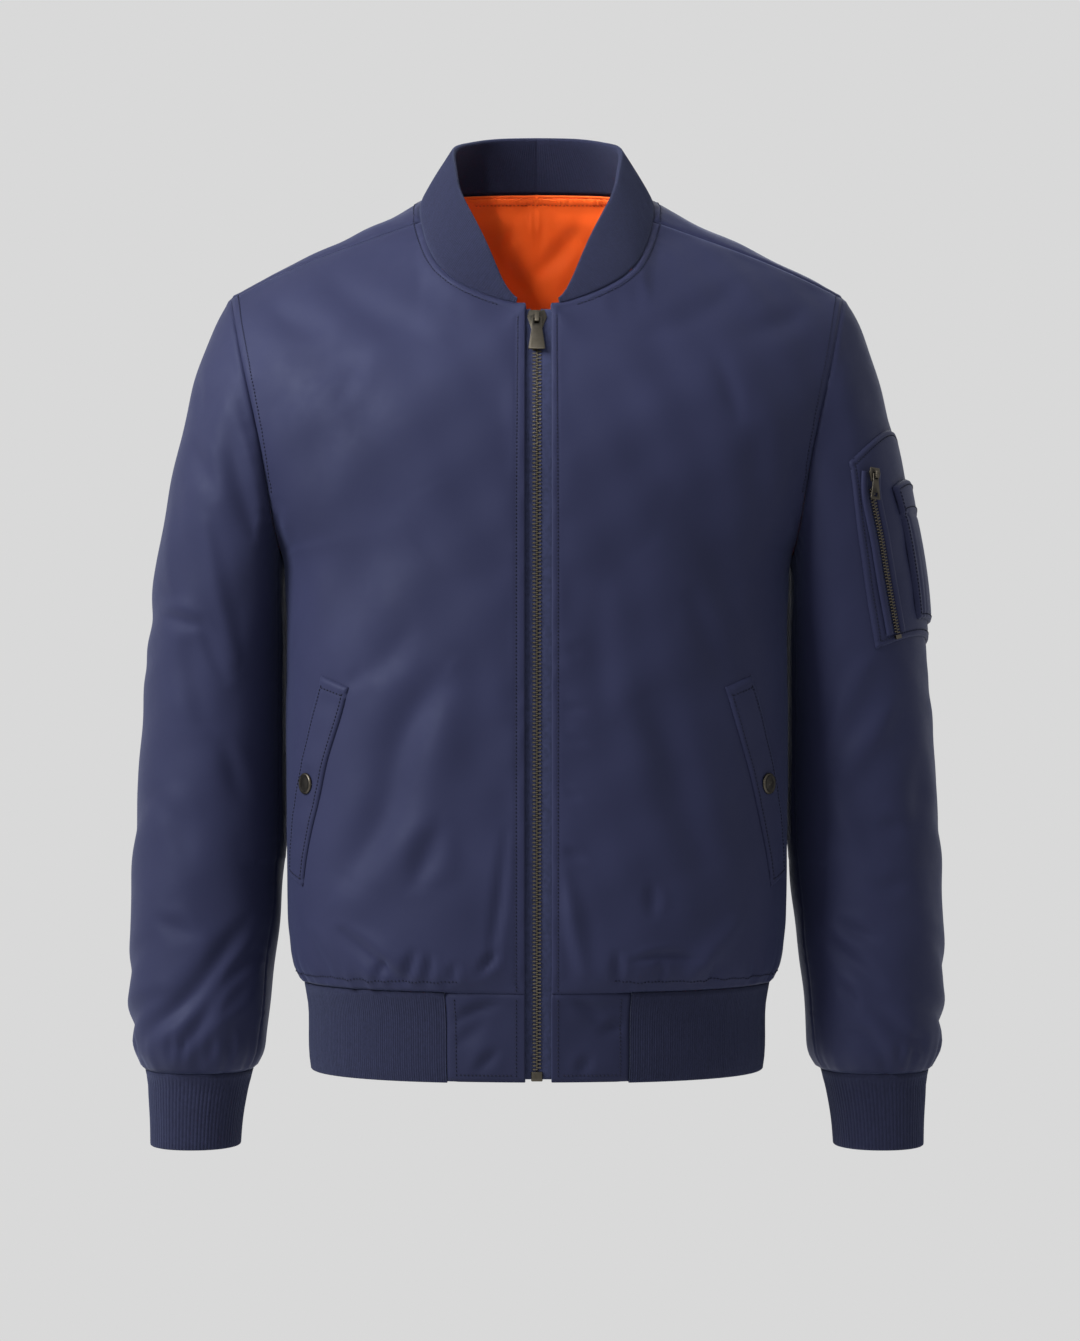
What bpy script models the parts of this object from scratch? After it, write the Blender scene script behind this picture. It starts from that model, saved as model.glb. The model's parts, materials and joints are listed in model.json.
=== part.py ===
"""Bomber jacket: nylon shell, knit collar, hem band and cuffs, zip front.

Metres, +Z up.  The front faces -Y, the wearer's left is +X, and the origin is
at the middle of the neck at the height of the shoulder's neck points.
"""
import bpy
import bmesh
from mathutils import Matrix, Vector
import math
import numpy as np


# ------------------------------------------------------------------ tables
def spline(t, values, at, closed=False):
    """Smooth (cubic, curvature-continuous) curve through the rows of a table.

    t: increasing row positions; values: one row of numbers per position;
    at: where to read it.  closed: the last row joins the first one again.
    """
    t = np.asarray(t, float)
    v = np.asarray(values, float)
    flat = v.ndim == 1
    if flat:
        v = v[:, None]
    at = np.atleast_1d(np.asarray(at, float))
    n = len(t)
    h = np.diff(t)
    a = np.zeros((n, n))
    r = np.zeros((n, v.shape[1]))
    for i in range(1, n - 1):
        a[i, i - 1], a[i, i], a[i, i + 1] = h[i - 1], 2 * (h[i - 1] + h[i]), h[i]
        r[i] = 6 * ((v[i + 1] - v[i]) / h[i] - (v[i] - v[i - 1]) / h[i - 1])
    if closed:
        a[0, 0], a[0, -1] = 1, -1
        a[-1, 0], a[-1, 1] = 2 * h[0], h[0]
        a[-1, -2], a[-1, -1] = h[-1], 2 * h[-1]
        r[-1] = 6 * ((v[1] - v[0]) / h[0] - (v[-1] - v[-2]) / h[-1])
    else:
        a[0, 0] = a[-1, -1] = 1
    m = np.linalg.solve(a, r)
    if closed:
        span = t[-1] - t[0]
        at = t[0] + np.mod(at - t[0], span)
    at = np.clip(at, t[0], t[-1])
    i = np.clip(np.searchsorted(t, at, side="right") - 1, 0, n - 2)
    d = (at - t[i])[:, None]
    e = (t[i + 1] - at)[:, None]
    w = h[i][:, None]
    out = (m[i] * e ** 3 + m[i + 1] * d ** 3) / (6 * w) \
        + (v[i] / w - m[i] * w / 6) * e + (v[i + 1] / w - m[i + 1] * w / 6) * d
    return out[:, 0] if flat else out


class Table:
    """Rows with named columns; the first column places the rows."""

    def __init__(self, columns, rows, closed=False):
        self.names = columns.split()
        self.rows = np.array(rows, float)
        self.closed = closed
        if closed:
            last = self.rows[0].copy()
            last[0] = self.rows[-1][0] + 1
            self.rows = np.vstack([self.rows, last])

    def at(self, columns, where):
        pick = [self.names.index(c) for c in columns.split()]
        out = spline(self.rows[:, 0], self.rows[:, pick], where, self.closed)
        return out[:, 0] if len(pick) == 1 else out


# ------------------------------------------------------------------ sizes, metres
SHELL = 0.0024        # wall of the nylon shell with its thin wadding and backing
RIB = 0.0034          # doubled knit of the hem band and the cuffs
COLLAR = 0.0046       # doubled knit of the collar
SEAM = 0.0003         # each piece stops this far short of a seam line

HEM_SEAM_Z = -0.591   # where the shell is sewn to the knit band
HEM_Z = -0.6565       # lower edge of the jacket
ARMPIT_Z = -0.268
CHEST_Z = -0.255      # height at the centre of the row that ends in the armpit
NECK_FRONT_Z = -0.081
NECK_BACK_Z = 0.0225
EDGE_RIGHT = 0.0088   # zip centre to the folded front edge, wearer's right
EDGE_LEFT = 0.0110    # and wearer's left
PATCH = 0.0700        # the shell-cloth ends of the hem band reach this far
SECTION = 2.35        # squareness of the torso's round sections
RIDGE_BULGE = 0.0030  # the shoulder line bows up this much

# Torso sections at each height.  Above the armpit the half width is that of
# the section carried on past the armhole into the sleeve head.
# The zip keeps the front edge straighter, at a depth of its own.
TORSO = Table("z half_width front_depth edge_depth back_depth side_y", [
    (-0.591, 0.1780, 0.1240, 0.1270, 0.1130, 0.000),
    (-0.583, 0.1832, 0.1300, 0.1290, 0.1190, 0.000),
    (-0.572, 0.1870, 0.1343, 0.1312, 0.1240, 0.000),
    (-0.552, 0.1895, 0.1367, 0.1338, 0.1275, 0.000),
    (-0.510, 0.1908, 0.1375, 0.1362, 0.1290, 0.000),
    (-0.450, 0.1915, 0.1368, 0.1366, 0.1290, 0.001),
    (-0.360, 0.1915, 0.1362, 0.1362, 0.1298, 0.002),
    (-0.300, 0.1922, 0.1358, 0.1358, 0.1320, 0.003),
    (-0.268, 0.1940, 0.1350, 0.1350, 0.1332, 0.004),
    (-0.243, 0.2080, 0.1330, 0.1330, 0.1340, 0.004),
    (-0.210, 0.2270, 0.1300, 0.1300, 0.1345, 0.004),
    (-0.170, 0.2420, 0.1238, 0.1238, 0.1340, 0.003),
    (-0.125, 0.2520, 0.1100, 0.1100, 0.1310, 0.002),
    (-0.081, 0.2580, 0.0930, 0.0930, 0.1240, 0.001),
    (-0.040, 0.2600, 0.0785, 0.0785, 0.1110, 0.000),
    (0.000, 0.2600, 0.0660, 0.0660, 0.0930, 0.000),
    (0.030, 0.2600, 0.0580, 0.0580, 0.0760, 0.000),
])
EDGE_STIFF = 0.045    # the zip's stiffness dies away over this width

# Knit band below the shell.
HEM = Table("z half_width front_depth edge_depth back_depth", [
    (-0.6565, 0.1725, 0.1175, 0.1190, 0.1068),
    (-0.651, 0.1733, 0.1181, 0.1197, 0.1075),
    (-0.630, 0.1742, 0.1190, 0.1222, 0.1085),
    (-0.604, 0.1752, 0.1205, 0.1254, 0.1098),
    (-0.591, 0.1780, 0.1240, 0.1270, 0.1130),
])

# Armhole seam, wearer's left, round from the armpit by the front to the
# shoulder point and down the back.
ARMHOLE = Table("at x y z", [
    (0, 0.1945, 0.004, -0.268),    # armpit
    (1, 0.1985, -0.046, -0.243),
    (2, 0.2070, -0.064, -0.187),
    (3, 0.2228, -0.049, -0.118),
    (4, 0.2345, 0.004, -0.068),    # shoulder point
    (5, 0.2280, 0.056, -0.112),
    (6, 0.2120, 0.078, -0.182),
    (7, 0.1992, 0.056, -0.242),
], closed=True)

# Neck seam and the collar's top edge, wearer's left, from the front edge
# round to the centre back.
NECK = Table("at x y z top_x top_y top_z", [
    (0.0, 0.0110, -0.0885, -0.0815, 0.0110, -0.0885, -0.0800),
    (0.2, 0.0170, -0.0880, -0.0810, 0.0165, -0.0878, -0.0785),
    (1.0, 0.0556, -0.0800, -0.0661, 0.0365, -0.0750, -0.0402),
    (2.0, 0.0794, -0.0560, -0.0415, 0.0574, -0.0420, 0.0040),
    (3.0, 0.0868, -0.0300, -0.0205, 0.0636, -0.0160, 0.0285),
    (4.0, 0.0900, -0.0020, 0.0000, 0.0652, 0.0110, 0.0462),
    (5.0, 0.0835, 0.0380, 0.0135, 0.0545, 0.0340, 0.0542),
    (6.0, 0.0540, 0.0690, 0.0205, 0.0345, 0.0515, 0.0594),
    (7.0, 0.0000, 0.0800, 0.0225, 0.0000, 0.0590, 0.0612),
])
COLLAR_START = 0.2
SHOULDER_SEAM_NECK = 3.40      # where the shoulder seam leaves the neck seam
SHOULDER_SEAM_ARM = 3.88       # and where it meets the armhole
BUST_ARM = 1.55                # armhole point level with the front neck
BLADE_ARM = 6.45               # armhole point level with the back neck

# Sleeve sections from the armhole to the cuff seam, wearer's left: the outer
# and inner ends of each section, its centre from front to back, half depth.
SLEEVE = Table("at outer_x outer_z inner_x inner_z centre_y half_depth", [
    (0.0, 0.2345, -0.0680, 0.1945, -0.2680, 0.0060, 0.0710),
    (0.5, 0.2490, -0.0935, 0.1950, -0.2830, 0.0080, 0.0745),
    (1.1, 0.2625, -0.1300, 0.1948, -0.2990, 0.0110, 0.0770),
    (2.0, 0.2745, -0.1780, 0.1946, -0.3170, 0.0150, 0.0780),
    (3.0, 0.2855, -0.2320, 0.1942, -0.3400, 0.0200, 0.0775),
    (4.1, 0.2950, -0.2900, 0.1940, -0.3730, 0.0250, 0.0760),
    (5.4, 0.3025, -0.3600, 0.1935, -0.4170, 0.0290, 0.0740),
    (6.7, 0.3073, -0.4300, 0.1932, -0.4660, 0.0280, 0.0720),
    (8.0, 0.3112, -0.5000, 0.1957, -0.5160, 0.0230, 0.0700),
    (9.1, 0.3127, -0.5600, 0.2009, -0.5670, 0.0160, 0.0670),
    (10.0, 0.3118, -0.6060, 0.2052, -0.6080, 0.0090, 0.0625),
    (10.5, 0.3098, -0.6330, 0.2080, -0.6340, 0.0050, 0.0575),
    (10.8, 0.3065, -0.6490, 0.2108, -0.6495, 0.0030, 0.0515),
    (11.0, 0.3000, -0.6595, 0.2172, -0.6595, 0.0020, 0.0440),
])
SLEEVE_END = 11.0
SLEEVE_SECTION = 2.15          # squareness of the sleeve's sections
HEAD_FADE = 3.0                # the armhole's own shape fades out by this section

CUFF = Table("at outer_x outer_z inner_x inner_z centre_y half_depth", [
    (0.0, 0.3000, -0.6595, 0.2172, -0.6595, 0.0020, 0.0440),
    (0.2, 0.2987, -0.6645, 0.2188, -0.6645, 0.0015, 0.0420),
    (1.0, 0.2972, -0.6760, 0.2218, -0.6760, 0.0000, 0.0400),
    (2.0, 0.2958, -0.6950, 0.2250, -0.6950, -0.0030, 0.0387),
    (3.0, 0.2950, -0.7150, 0.2266, -0.7150, -0.0060, 0.0382),
])
CUFF_END = 3.0


def ease(t):
    t = np.clip(t, 0, 1)
    return t * t * (3 - 2 * t)


# ------------------------------------------------------------------ torso surface
NECK_X = NECK.at("x", 4.0)[0]
TIP_X, TIP_Z = ARMHOLE.at("x", 4.0)[0], ARMHOLE.at("z", 4.0)[0]


def ridge_z(x, rise):
    """Height of the shoulder line; inside the neck it rises as the neck does."""
    across = np.clip((x - NECK_X) / (TIP_X - NECK_X), 0, 1.2)
    out = TIP_Z * across + RIDGE_BULGE * np.sin(np.pi * np.clip(across, 0, 1) ** 1.35)
    neck = rise * (1 - (np.clip(x, 0, NECK_X) / NECK_X) ** 1.5)
    return np.where(x < NECK_X, neck, out)


def torso_y(x, z, front):
    """Depth of the torso's surface at a width and a height."""
    half, fore, edge, aft, mid = TORSO.at(
        "half_width front_depth edge_depth back_depth side_y", z).T
    fore = fore + (edge - fore) * np.exp(-(x / EDGE_STIFF) ** 2)
    flank = np.clip(1 - (np.abs(x) / half) ** SECTION, 0, 1) ** (1 / SECTION)
    drop = ridge_z(np.abs(x), 0.070 if front else 0.142) - z
    over = np.sin(np.pi / 2 * np.clip(drop / (0.150 if front else 0.120), 0, 1) ** 0.6)
    return mid - fore * flank * over if front else mid + aft * flank * over


def torso_row(left, right, shares, front, bow=0.0):
    """One row of a panel from its inner to its outer end, on the surface."""
    t = np.linspace(0, 1, 241)
    half = TORSO.at("half_width", right[2])[0]
    turn = math.asin(min(1.0, right[0] / half))
    w = np.sin(turn * t) / math.sin(turn)
    x = left[0] + (right[0] - left[0]) * w
    z = left[2] + (right[2] - left[2]) * w + bow * np.sin(np.pi * w ** 1.35)
    y = torso_y(x, z, front)
    y = y + (left[1] - y[0]) * (1 - w) ** 2 + (right[1] - y[-1]) * w ** 2
    p = np.stack([x, y, z], 1)
    run = np.concatenate([[0], np.cumsum(np.linalg.norm(np.diff(p, axis=0), axis=1))])
    run /= run[-1]
    return np.stack([np.interp(shares, run, p[:, k]) for k in range(3)], 1)


def span(a, b, n, bend=1.0):
    """n steps from a to b, closer together near a when bend is over 1."""
    return a + (b - a) * np.linspace(0, 1, n + 1) ** bend


class Counts:
    """How finely each piece is divided."""

    def __init__(self, cols, flank, chest, yoke, over, back_flank, back_chest,
                 sleeve, band, neck):
        self.cols = cols                  # across half a panel
        self.flank = flank                # rows from the hem seam to the armpit
        self.chest = chest                # rows from there to the front neck
        self.yoke = yoke                  # rows along the neck to the shoulder seam
        self.over = over                  # rows from that seam to the shoulder line
        self.back_chest = back_flank      # the same on the back
        self.back_yoke = back_chest
        self.sleeve = sleeve              # rows down the sleeve
        self.band = band                  # rows of the knit band and cuffs
        self.neck = neck                  # rows up the collar


def shares_of(counts):
    """Where the columns fall across half a front: one ends the hem patch."""
    return np.linspace(0, 1, counts.cols + 1)


def flank_rows(counts):
    return span(HEM_SEAM_Z, ARMPIT_Z, counts.flank, 1.35)


def front_grid(counts, edge):
    """Half front, from the hem seam to the shoulder line; rows then columns."""
    u = shares_of(counts)
    rows = []
    sides = flank_rows(counts)
    for z in sides:
        share = (z - HEM_SEAM_Z) / (ARMPIT_Z - HEM_SEAM_Z)
        mid = HEM_SEAM_Z + (CHEST_Z - HEM_SEAM_Z) * share
        left = (edge, torso_y(np.array([edge]), np.array([mid]), True)[0], mid)
        half, side = TORSO.at("half_width side_y", z)[0]
        if z == sides[-1]:
            right = ARMHOLE.at("x y z", 0)[0]
        else:
            right = (half, side, z)
        rows.append(torso_row(left, right, u, True))
    arm = span(0, BUST_ARM, counts.chest)[1:]
    mids = span(CHEST_Z, NECK_FRONT_Z, counts.chest)[1:]
    neck0 = neck_point(0.0, edge)
    for a, mid in zip(arm, mids):
        left = (edge, torso_y(np.array([edge]), np.array([mid]), True)[0], mid)
        if mid == mids[-1]:
            left = neck0
        rows.append(torso_row(left, ARMHOLE.at("x y z", a)[0], u, True))
    for k, a in zip(neck_front_stops(counts)[1:], span(BUST_ARM, SHOULDER_SEAM_ARM, counts.yoke)[1:]):
        bow = RIDGE_BULGE * ease((a - BUST_ARM) / (4 - BUST_ARM))
        rows.append(torso_row(neck_point(k, edge), ARMHOLE.at("x y z", a)[0], u, True, bow))
    seam_row = len(rows) - 1
    for k, a in zip(span(SHOULDER_SEAM_NECK, 4, counts.over)[1:],
                    span(SHOULDER_SEAM_ARM, 4, counts.over)[1:]):
        bow = RIDGE_BULGE * ease((a - BUST_ARM) / (4 - BUST_ARM))
        rows.append(torso_row(neck_point(k, edge), ARMHOLE.at("x y z", a)[0], u, True, bow))
    return np.array(rows), seam_row


def neck_front_stops(counts):
    first = COLLAR_START
    return np.concatenate([[0.0], span(first, SHOULDER_SEAM_NECK, counts.yoke - 1)])


def neck_point(k, edge=EDGE_LEFT):
    p = NECK.at("x y z", k)[0]
    p[0] += (edge - EDGE_LEFT) * max(0.0, 1 - k / 0.6)
    return p


def back_grid(counts):
    """Half back, from the hem seam to the shoulder line; centre back first."""
    u = shares_of(counts)
    rows = []
    sides = flank_rows(counts)
    for z in sides:
        share = (z - HEM_SEAM_Z) / (ARMPIT_Z - HEM_SEAM_Z)
        mid = HEM_SEAM_Z + (CHEST_Z - HEM_SEAM_Z) * share
        left = (0.0, torso_y(np.zeros(1), np.array([mid]), False)[0], mid)
        half, side = TORSO.at("half_width side_y", z)[0]
        right = ARMHOLE.at("x y z", 0)[0] if z == sides[-1] else (half, side, z)
        rows.append(torso_row(left, right, u, False))
    neck = NECK.at("x y z", 7)[0]
    for a, mid in zip(span(8, BLADE_ARM, counts.back_chest)[1:],
                      span(CHEST_Z, NECK_BACK_Z, counts.back_chest)[1:]):
        left = (0.0, torso_y(np.zeros(1), np.array([mid]), False)[0], mid)
        fit = (mid - CHEST_Z) / (NECK_BACK_Z - CHEST_Z)
        left = (0.0, left[1] + (neck[1] - torso_y(np.zeros(1), neck[2:], False)[0]) * fit ** 3, mid)
        rows.append(torso_row(left, ARMHOLE.at("x y z", a)[0], u, False))
    return np.array(rows + list(yoke_rows(rows[-1], u, counts)))


def yoke_rows(low, u, counts):
    """Rows of the back's shoulder, spread between four curves: the row below,
    the neck seam, the armhole and the shoulder line."""
    top = torso_row(NECK.at("x y z", 4)[0], ARMHOLE.at("x y z", 4)[0], u, True, RIDGE_BULGE)
    s = np.linspace(0, 1, counts.back_yoke + 1)[1:, None, None]
    neck = NECK.at("x y z", span(7, 4, counts.back_yoke)[1:])[:, None, :]
    arm = ARMHOLE.at("x y z", span(BLADE_ARM, 4, counts.back_yoke)[1:])[:, None, :]
    w = u[None, :, None]
    across = (1 - s) * low + s * top
    along = (1 - w) * neck + w * arm
    corners = (1 - s) * ((1 - w) * low[0] + w * low[-1]) + s * ((1 - w) * top[0] + w * top[-1])
    return across + along - corners


def hem_rows(row, front, n):
    """The knit band's rows below one row of the hem seam."""
    out = [row]
    top = HEM.at("half_width front_depth edge_depth back_depth", HEM_SEAM_Z)[0]
    near = np.exp(-(row[:, 0] / EDGE_STIFF) ** 2) if front else 0 * row[:, 0]
    for z in span(HEM_SEAM_Z, HEM_Z, n)[1:]:
        wide, fore, edge, aft = HEM.at(
            "half_width front_depth edge_depth back_depth", z)[0] / top
        deep = fore + (edge - fore) * near if front else aft
        out.append(np.stack([row[:, 0] * (wide + (1 - wide) * near), row[:, 1] * deep,
                             np.full(len(row), z)], 1))
    return np.array(out)


# ------------------------------------------------------------------ sleeve surface
def tube_point(table, squareness, at, angle):
    """Point of a sleeve or cuff; the angle runs from the inside (0) by the
    front (a quarter turn) to the outside (half a turn) and round the back."""
    at, angle = np.broadcast_arrays(np.asarray(at, float), np.asarray(angle, float))
    s = table.at("outer_x outer_z inner_x inner_z centre_y half_depth", at.ravel())
    a = angle.ravel()
    c, d = np.cos(a), np.sin(a)
    c = np.sign(c) * np.abs(c) ** (2 / squareness)
    d = np.sign(d) * np.abs(d) ** (2 / squareness)
    x = (s[:, 0] + s[:, 2]) / 2 - (s[:, 0] - s[:, 2]) / 2 * c
    z = (s[:, 1] + s[:, 3]) / 2 - (s[:, 1] - s[:, 3]) / 2 * c
    y = s[:, 4] - s[:, 5] * d
    return np.stack([x, y, z], 1).reshape(at.shape + (3,))


def sleeve_point(at, ring):
    """Point of the left sleeve; ring is the armhole position, 0 to 8."""
    at, ring = np.broadcast_arrays(np.asarray(at, float), np.asarray(ring, float))
    p = tube_point(SLEEVE, SLEEVE_SECTION, at, ring * np.pi / 4)
    start = tube_point(SLEEVE, SLEEVE_SECTION, np.zeros_like(ring), ring * np.pi / 4)
    own = ARMHOLE.at("x y z", ring.ravel()).reshape(ring.shape + (3,))
    fade = (1 - ease(at / HEAD_FADE))[..., None]
    return p + (own - start) * fade


def ring_stops(counts):
    """Armhole positions of all the rows that end on it, front then back."""
    front = np.concatenate([span(0, BUST_ARM, counts.chest),
                            span(BUST_ARM, SHOULDER_SEAM_ARM, counts.yoke)[1:],
                            span(SHOULDER_SEAM_ARM, 4, counts.over)[1:]])
    back = np.concatenate([span(8, BLADE_ARM, counts.back_chest),
                           span(BLADE_ARM, 4, counts.back_yoke)[1:]])
    return np.concatenate([front, back[::-1][1:-1]])


def sleeve_stops(counts):
    t = np.linspace(0, 1, counts.sleeve + 1)
    return SLEEVE_END * (t + 0.035 * np.sin(2 * np.pi * t))


def sleeve_grid(counts):
    """Left sleeve: rows down from the armhole, columns round it (closed)."""
    ring = ring_stops(counts)
    at = sleeve_stops(counts)
    grid = sleeve_point(at[:, None], ring[None, :])
    last = tube_point(SLEEVE, SLEEVE_SECTION, SLEEVE_END, ring * np.pi / 4)
    grid[-1] = last
    return grid


def cuff_grid(counts):
    ring = ring_stops(counts)
    at = span(0, CUFF_END, counts.band)
    grid = tube_point(CUFF, SLEEVE_SECTION, at[:, None], ring[None, :] * np.pi / 4)
    grid[0] = tube_point(SLEEVE, SLEEVE_SECTION, SLEEVE_END, ring * np.pi / 4)
    return grid


# ------------------------------------------------------------------ collar surface
def collar_stops(counts):
    """Neck positions of all the rows that end on the neck seam."""
    front = neck_front_stops(counts)[1:]
    over = span(SHOULDER_SEAM_NECK, 4, counts.over)[1:]
    back = span(7, 4, counts.back_yoke)[::-1][1:]
    return np.concatenate([front, over, back])


def collar_grid(counts, edge):
    """Half collar: rows up from the neck seam, columns to the centre back."""
    stops = collar_stops(counts)
    low = np.array([neck_point(k, edge) if k < 4 else NECK.at("x y z", k)[0] for k in stops])
    top = NECK.at("top_x top_y top_z", stops)
    top[:, 0] += (edge - EDGE_LEFT) * np.maximum(0, 1 - stops / 0.6)
    rise = top - low
    along = np.gradient(low, axis=0)
    along[-1] = (-1, 0, 0)
    out = np.cross(along, rise)
    out /= np.linalg.norm(out, axis=1)[:, None]
    height = np.linalg.norm(rise, axis=1)
    rows = []
    for t in np.linspace(0, 1, counts.neck + 1):
        swell = 0.02 * height * math.sin(math.pi * t ** 0.8)
        rows.append(low + rise * t + out * swell[:, None])
    return np.array(rows)


# ------------------------------------------------------------------ cloth walls
INNER = [0, 3, 2, 1]    # a face turned over, split along the same diagonal


class Sheet:
    """The outer surface of one piece: points and four-sided faces."""

    def __init__(self, name, wall, grids):
        self.name, self.wall = name, wall
        points, faces, base = [], [], 0
        for grid, closed, flip in grids:
            r, c = grid.shape[:2]
            idx = base + np.arange(r * c).reshape(r, c)
            if closed:
                idx = np.hstack([idx, idx[:, :1]])
            quad = np.stack([idx[:-1, :-1], idx[:-1, 1:], idx[1:, 1:], idx[1:, :-1]], -1)
            quad = quad.reshape(-1, 4)
            faces.append(quad[:, INNER] if flip else quad)
            points.append(grid.reshape(-1, 3))
            base += r * c
        points = np.vstack(points)
        faces = np.vstack(faces)
        key = np.round(points, 6) + 0.0
        self.key, first, back = np.unique(key, axis=0, return_index=True, return_inverse=True)
        self.p = points[first]
        self.f = back.ravel()[faces]
        self.slot = back.ravel()
        self.n = vertex_normals(self.p, self.f)
        self.rim = boundary(self.f, len(self.p))


def vertex_normals(p, f):
    n = np.cross(p[f[:, 2]] - p[f[:, 0]], p[f[:, 3]] - p[f[:, 1]])
    out = np.zeros_like(p)
    for k in range(4):
        for a in range(3):
            out[:, a] += np.bincount(f[:, k], n[:, a], len(p))
    return out / np.maximum(np.linalg.norm(out, axis=1), 1e-12)[:, None]


def boundary(f, count):
    """Directed edges that only one face has."""
    a = f.ravel()
    b = np.roll(f, -1, axis=1).ravel()
    own = a.astype(np.int64) * count + b
    other = b.astype(np.int64) * count + a
    lone = ~np.isin(own, other) & (a != b)
    return np.stack([a[lone], b[lone]], 1)


def unit(v):
    return v / np.maximum(np.linalg.norm(v, axis=-1), 1e-12)[..., None]


class Garment:
    """All the pieces' surfaces, which share their points along the seams."""

    def __init__(self, sheets, leans):
        self.sheets = {s.name: s for s in sheets}
        share, edges = {}, {}
        for s in sheets:
            for v in np.unique(s.rim):
                share.setdefault(tuple(s.key[v]), []).append(s.n[v])
            for a, b in s.rim:
                pair = frozenset((tuple(s.key[a]), tuple(s.key[b])))
                edges[pair] = edges.get(pair, 0) + 1
        for k, lean in leans:
            k = tuple(np.round(k, 6) + 0.0)
            if k in share:
                share[k].append(lean)
        for s in sheets:
            s.move = np.zeros_like(s.p)
            into, out = {}, {}
            for a, b in s.rim:
                n = unit(sum(share[tuple(s.key[a])]))
                s.n[a] = n
            for a, b in s.rim:
                if edges[frozenset((tuple(s.key[a]), tuple(s.key[b])))] < 2:
                    continue
                t = unit(s.p[b] - s.p[a])
                for v in (a, b):
                    d = np.cross(s.n[v], t)
                    if np.linalg.norm(d) < 0.5:
                        m = s.inward(a, b)
                        d = m - t * np.dot(m, t)
                    d = unit(d)
                    into.setdefault(v, []).append(d)
            for v, ds in into.items():
                if len(ds) == 1:
                    s.move[v] = SEAM * ds[0]
                else:
                    c = max(-0.5, float(np.dot(ds[0], ds[1])))
                    s.move[v] = SEAM * (ds[0] + ds[1]) / (1 + c)

    def wall(self, name):
        """Points and faces of the closed wall of one piece."""
        s = self.sheets[name]
        outer = s.p + s.move
        inner = outer - s.n * s.wall
        n = len(outer)
        return np.vstack([outer, inner]), np.vstack([s.f, s.f[:, INNER] + n, rim_faces(s)])


def rim_faces(s):
    """Faces that close a wall's edge; two walls that meet at a seam split
    them along the same diagonal, and so do mirrored pieces."""
    a, b = s.rim[:, 0], s.rim[:, 1]
    n = len(s.p)
    key = s.key * np.array([1, 1, 1])
    key[:, 0] = np.abs(key[:, 0])
    rank = np.empty(n, int)
    rank[np.lexsort((key[:, 2], key[:, 1], key[:, 0]))] = np.arange(n)
    swap = (rank[b] < rank[a])[:, None]
    return np.where(swap, np.stack([b, a, a + n, b + n], 1), np.stack([a, a + n, b + n, b], 1))


def _inward(self, a, b):
    """Direction from one edge towards the middle of its face."""
    has = np.any(self.f == a, axis=1) & np.any(self.f == b, axis=1)
    return self.p[self.f[has][0]].mean(axis=0) - (self.p[a] + self.p[b]) / 2


Sheet.inward = _inward


def flip_x(grid):
    return grid * np.array([-1.0, 1.0, 1.0])


def ring_leans(counts):
    """Outward directions in the plane of each armhole."""
    ring = ARMHOLE.at("x y z", ring_stops(counts))
    mid = ring.mean(axis=0)
    axis = unit(np.cross(ring[len(ring) // 4] - mid, ring[0] - mid))
    out = ring - mid
    out = unit(out - np.outer(out @ axis, axis)) * 0.8
    both = [(p, d) for p, d in zip(ring, out)]
    return both + [(flip_x(p), flip_x(d)) for p, d in zip(ring, out)]


def build_garment(counts):
    """Every main piece of cloth, with shared points along its seams."""
    sheets = []
    fronts, cut = {}, 0
    for side, edge in (("right", EDGE_RIGHT), ("left", EDGE_LEFT)):
        grid, cut = front_grid(counts, edge)
        fronts[side] = grid
    back = back_grid(counts)
    patch = int(np.argmin(np.abs(fronts["left"][0][:, 0] - PATCH)))
    sleeve, cuff = sleeve_grid(counts), cuff_grid(counts)
    backs, ribs, collars = [], [], []
    for side, sign in (("right", -1), ("left", 1)):
        turn = flip_x if sign < 0 else (lambda g: g)
        left = sign > 0
        front = fronts[side]
        low = hem_rows(front[0], True, counts.band)
        sheets.append(Sheet("front_" + side, SHELL, [(turn(front[:cut + 1]), False, not left)]))
        sheets.append(Sheet("hem_patch_" + side, SHELL,
                            [(turn(low[:, :patch + 1]), False, left)]))
        ribs.append((turn(low[:, patch:]), False, left))
        ribs.append((turn(hem_rows(back[0], False, counts.band)), False, not left))
        backs.append((turn(back), False, left))
        backs.append((turn(front[cut:]), False, not left))
        sheets.append(Sheet("sleeve_" + side, SHELL, [(turn(sleeve), True, left)]))
        sheets.append(Sheet("cuff_" + side, RIB, [(turn(cuff), True, left)]))
        collars.append((turn(collar_grid(counts, EDGE_RIGHT if sign < 0 else EDGE_LEFT)),
                        False, not left))
    sheets.append(Sheet("back", SHELL, backs))
    sheets.append(Sheet("hem_rib", RIB, ribs))
    sheets.append(Sheet("collar", COLLAR, collars))
    return Garment(sheets, ring_leans(counts))


# ------------------------------------------------------------------ pieces that lie on the cloth
# Hand-pocket welt, wearer's left, from its top to its bottom end.
WELT = Table("at inner_x inner_z outer_x outer_z", [
    (0, 0.1390, -0.3668, 0.1597, -0.3580),
    (1, 0.1462, -0.3930, 0.1680, -0.3870),
    (2, 0.1543, -0.4195, 0.1743, -0.4140),
    (3, 0.1613, -0.4482, 0.1801, -0.4420),
    (4, 0.1670, -0.4720, 0.1838, -0.4690),
    (5, 0.1716, -0.4960, 0.1850, -0.4910),
    (6, 0.1746, -0.5158, 0.1853, -0.5077),
])
SNAP = (0.1701, -0.4386)       # width and height of a snap's centre

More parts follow.
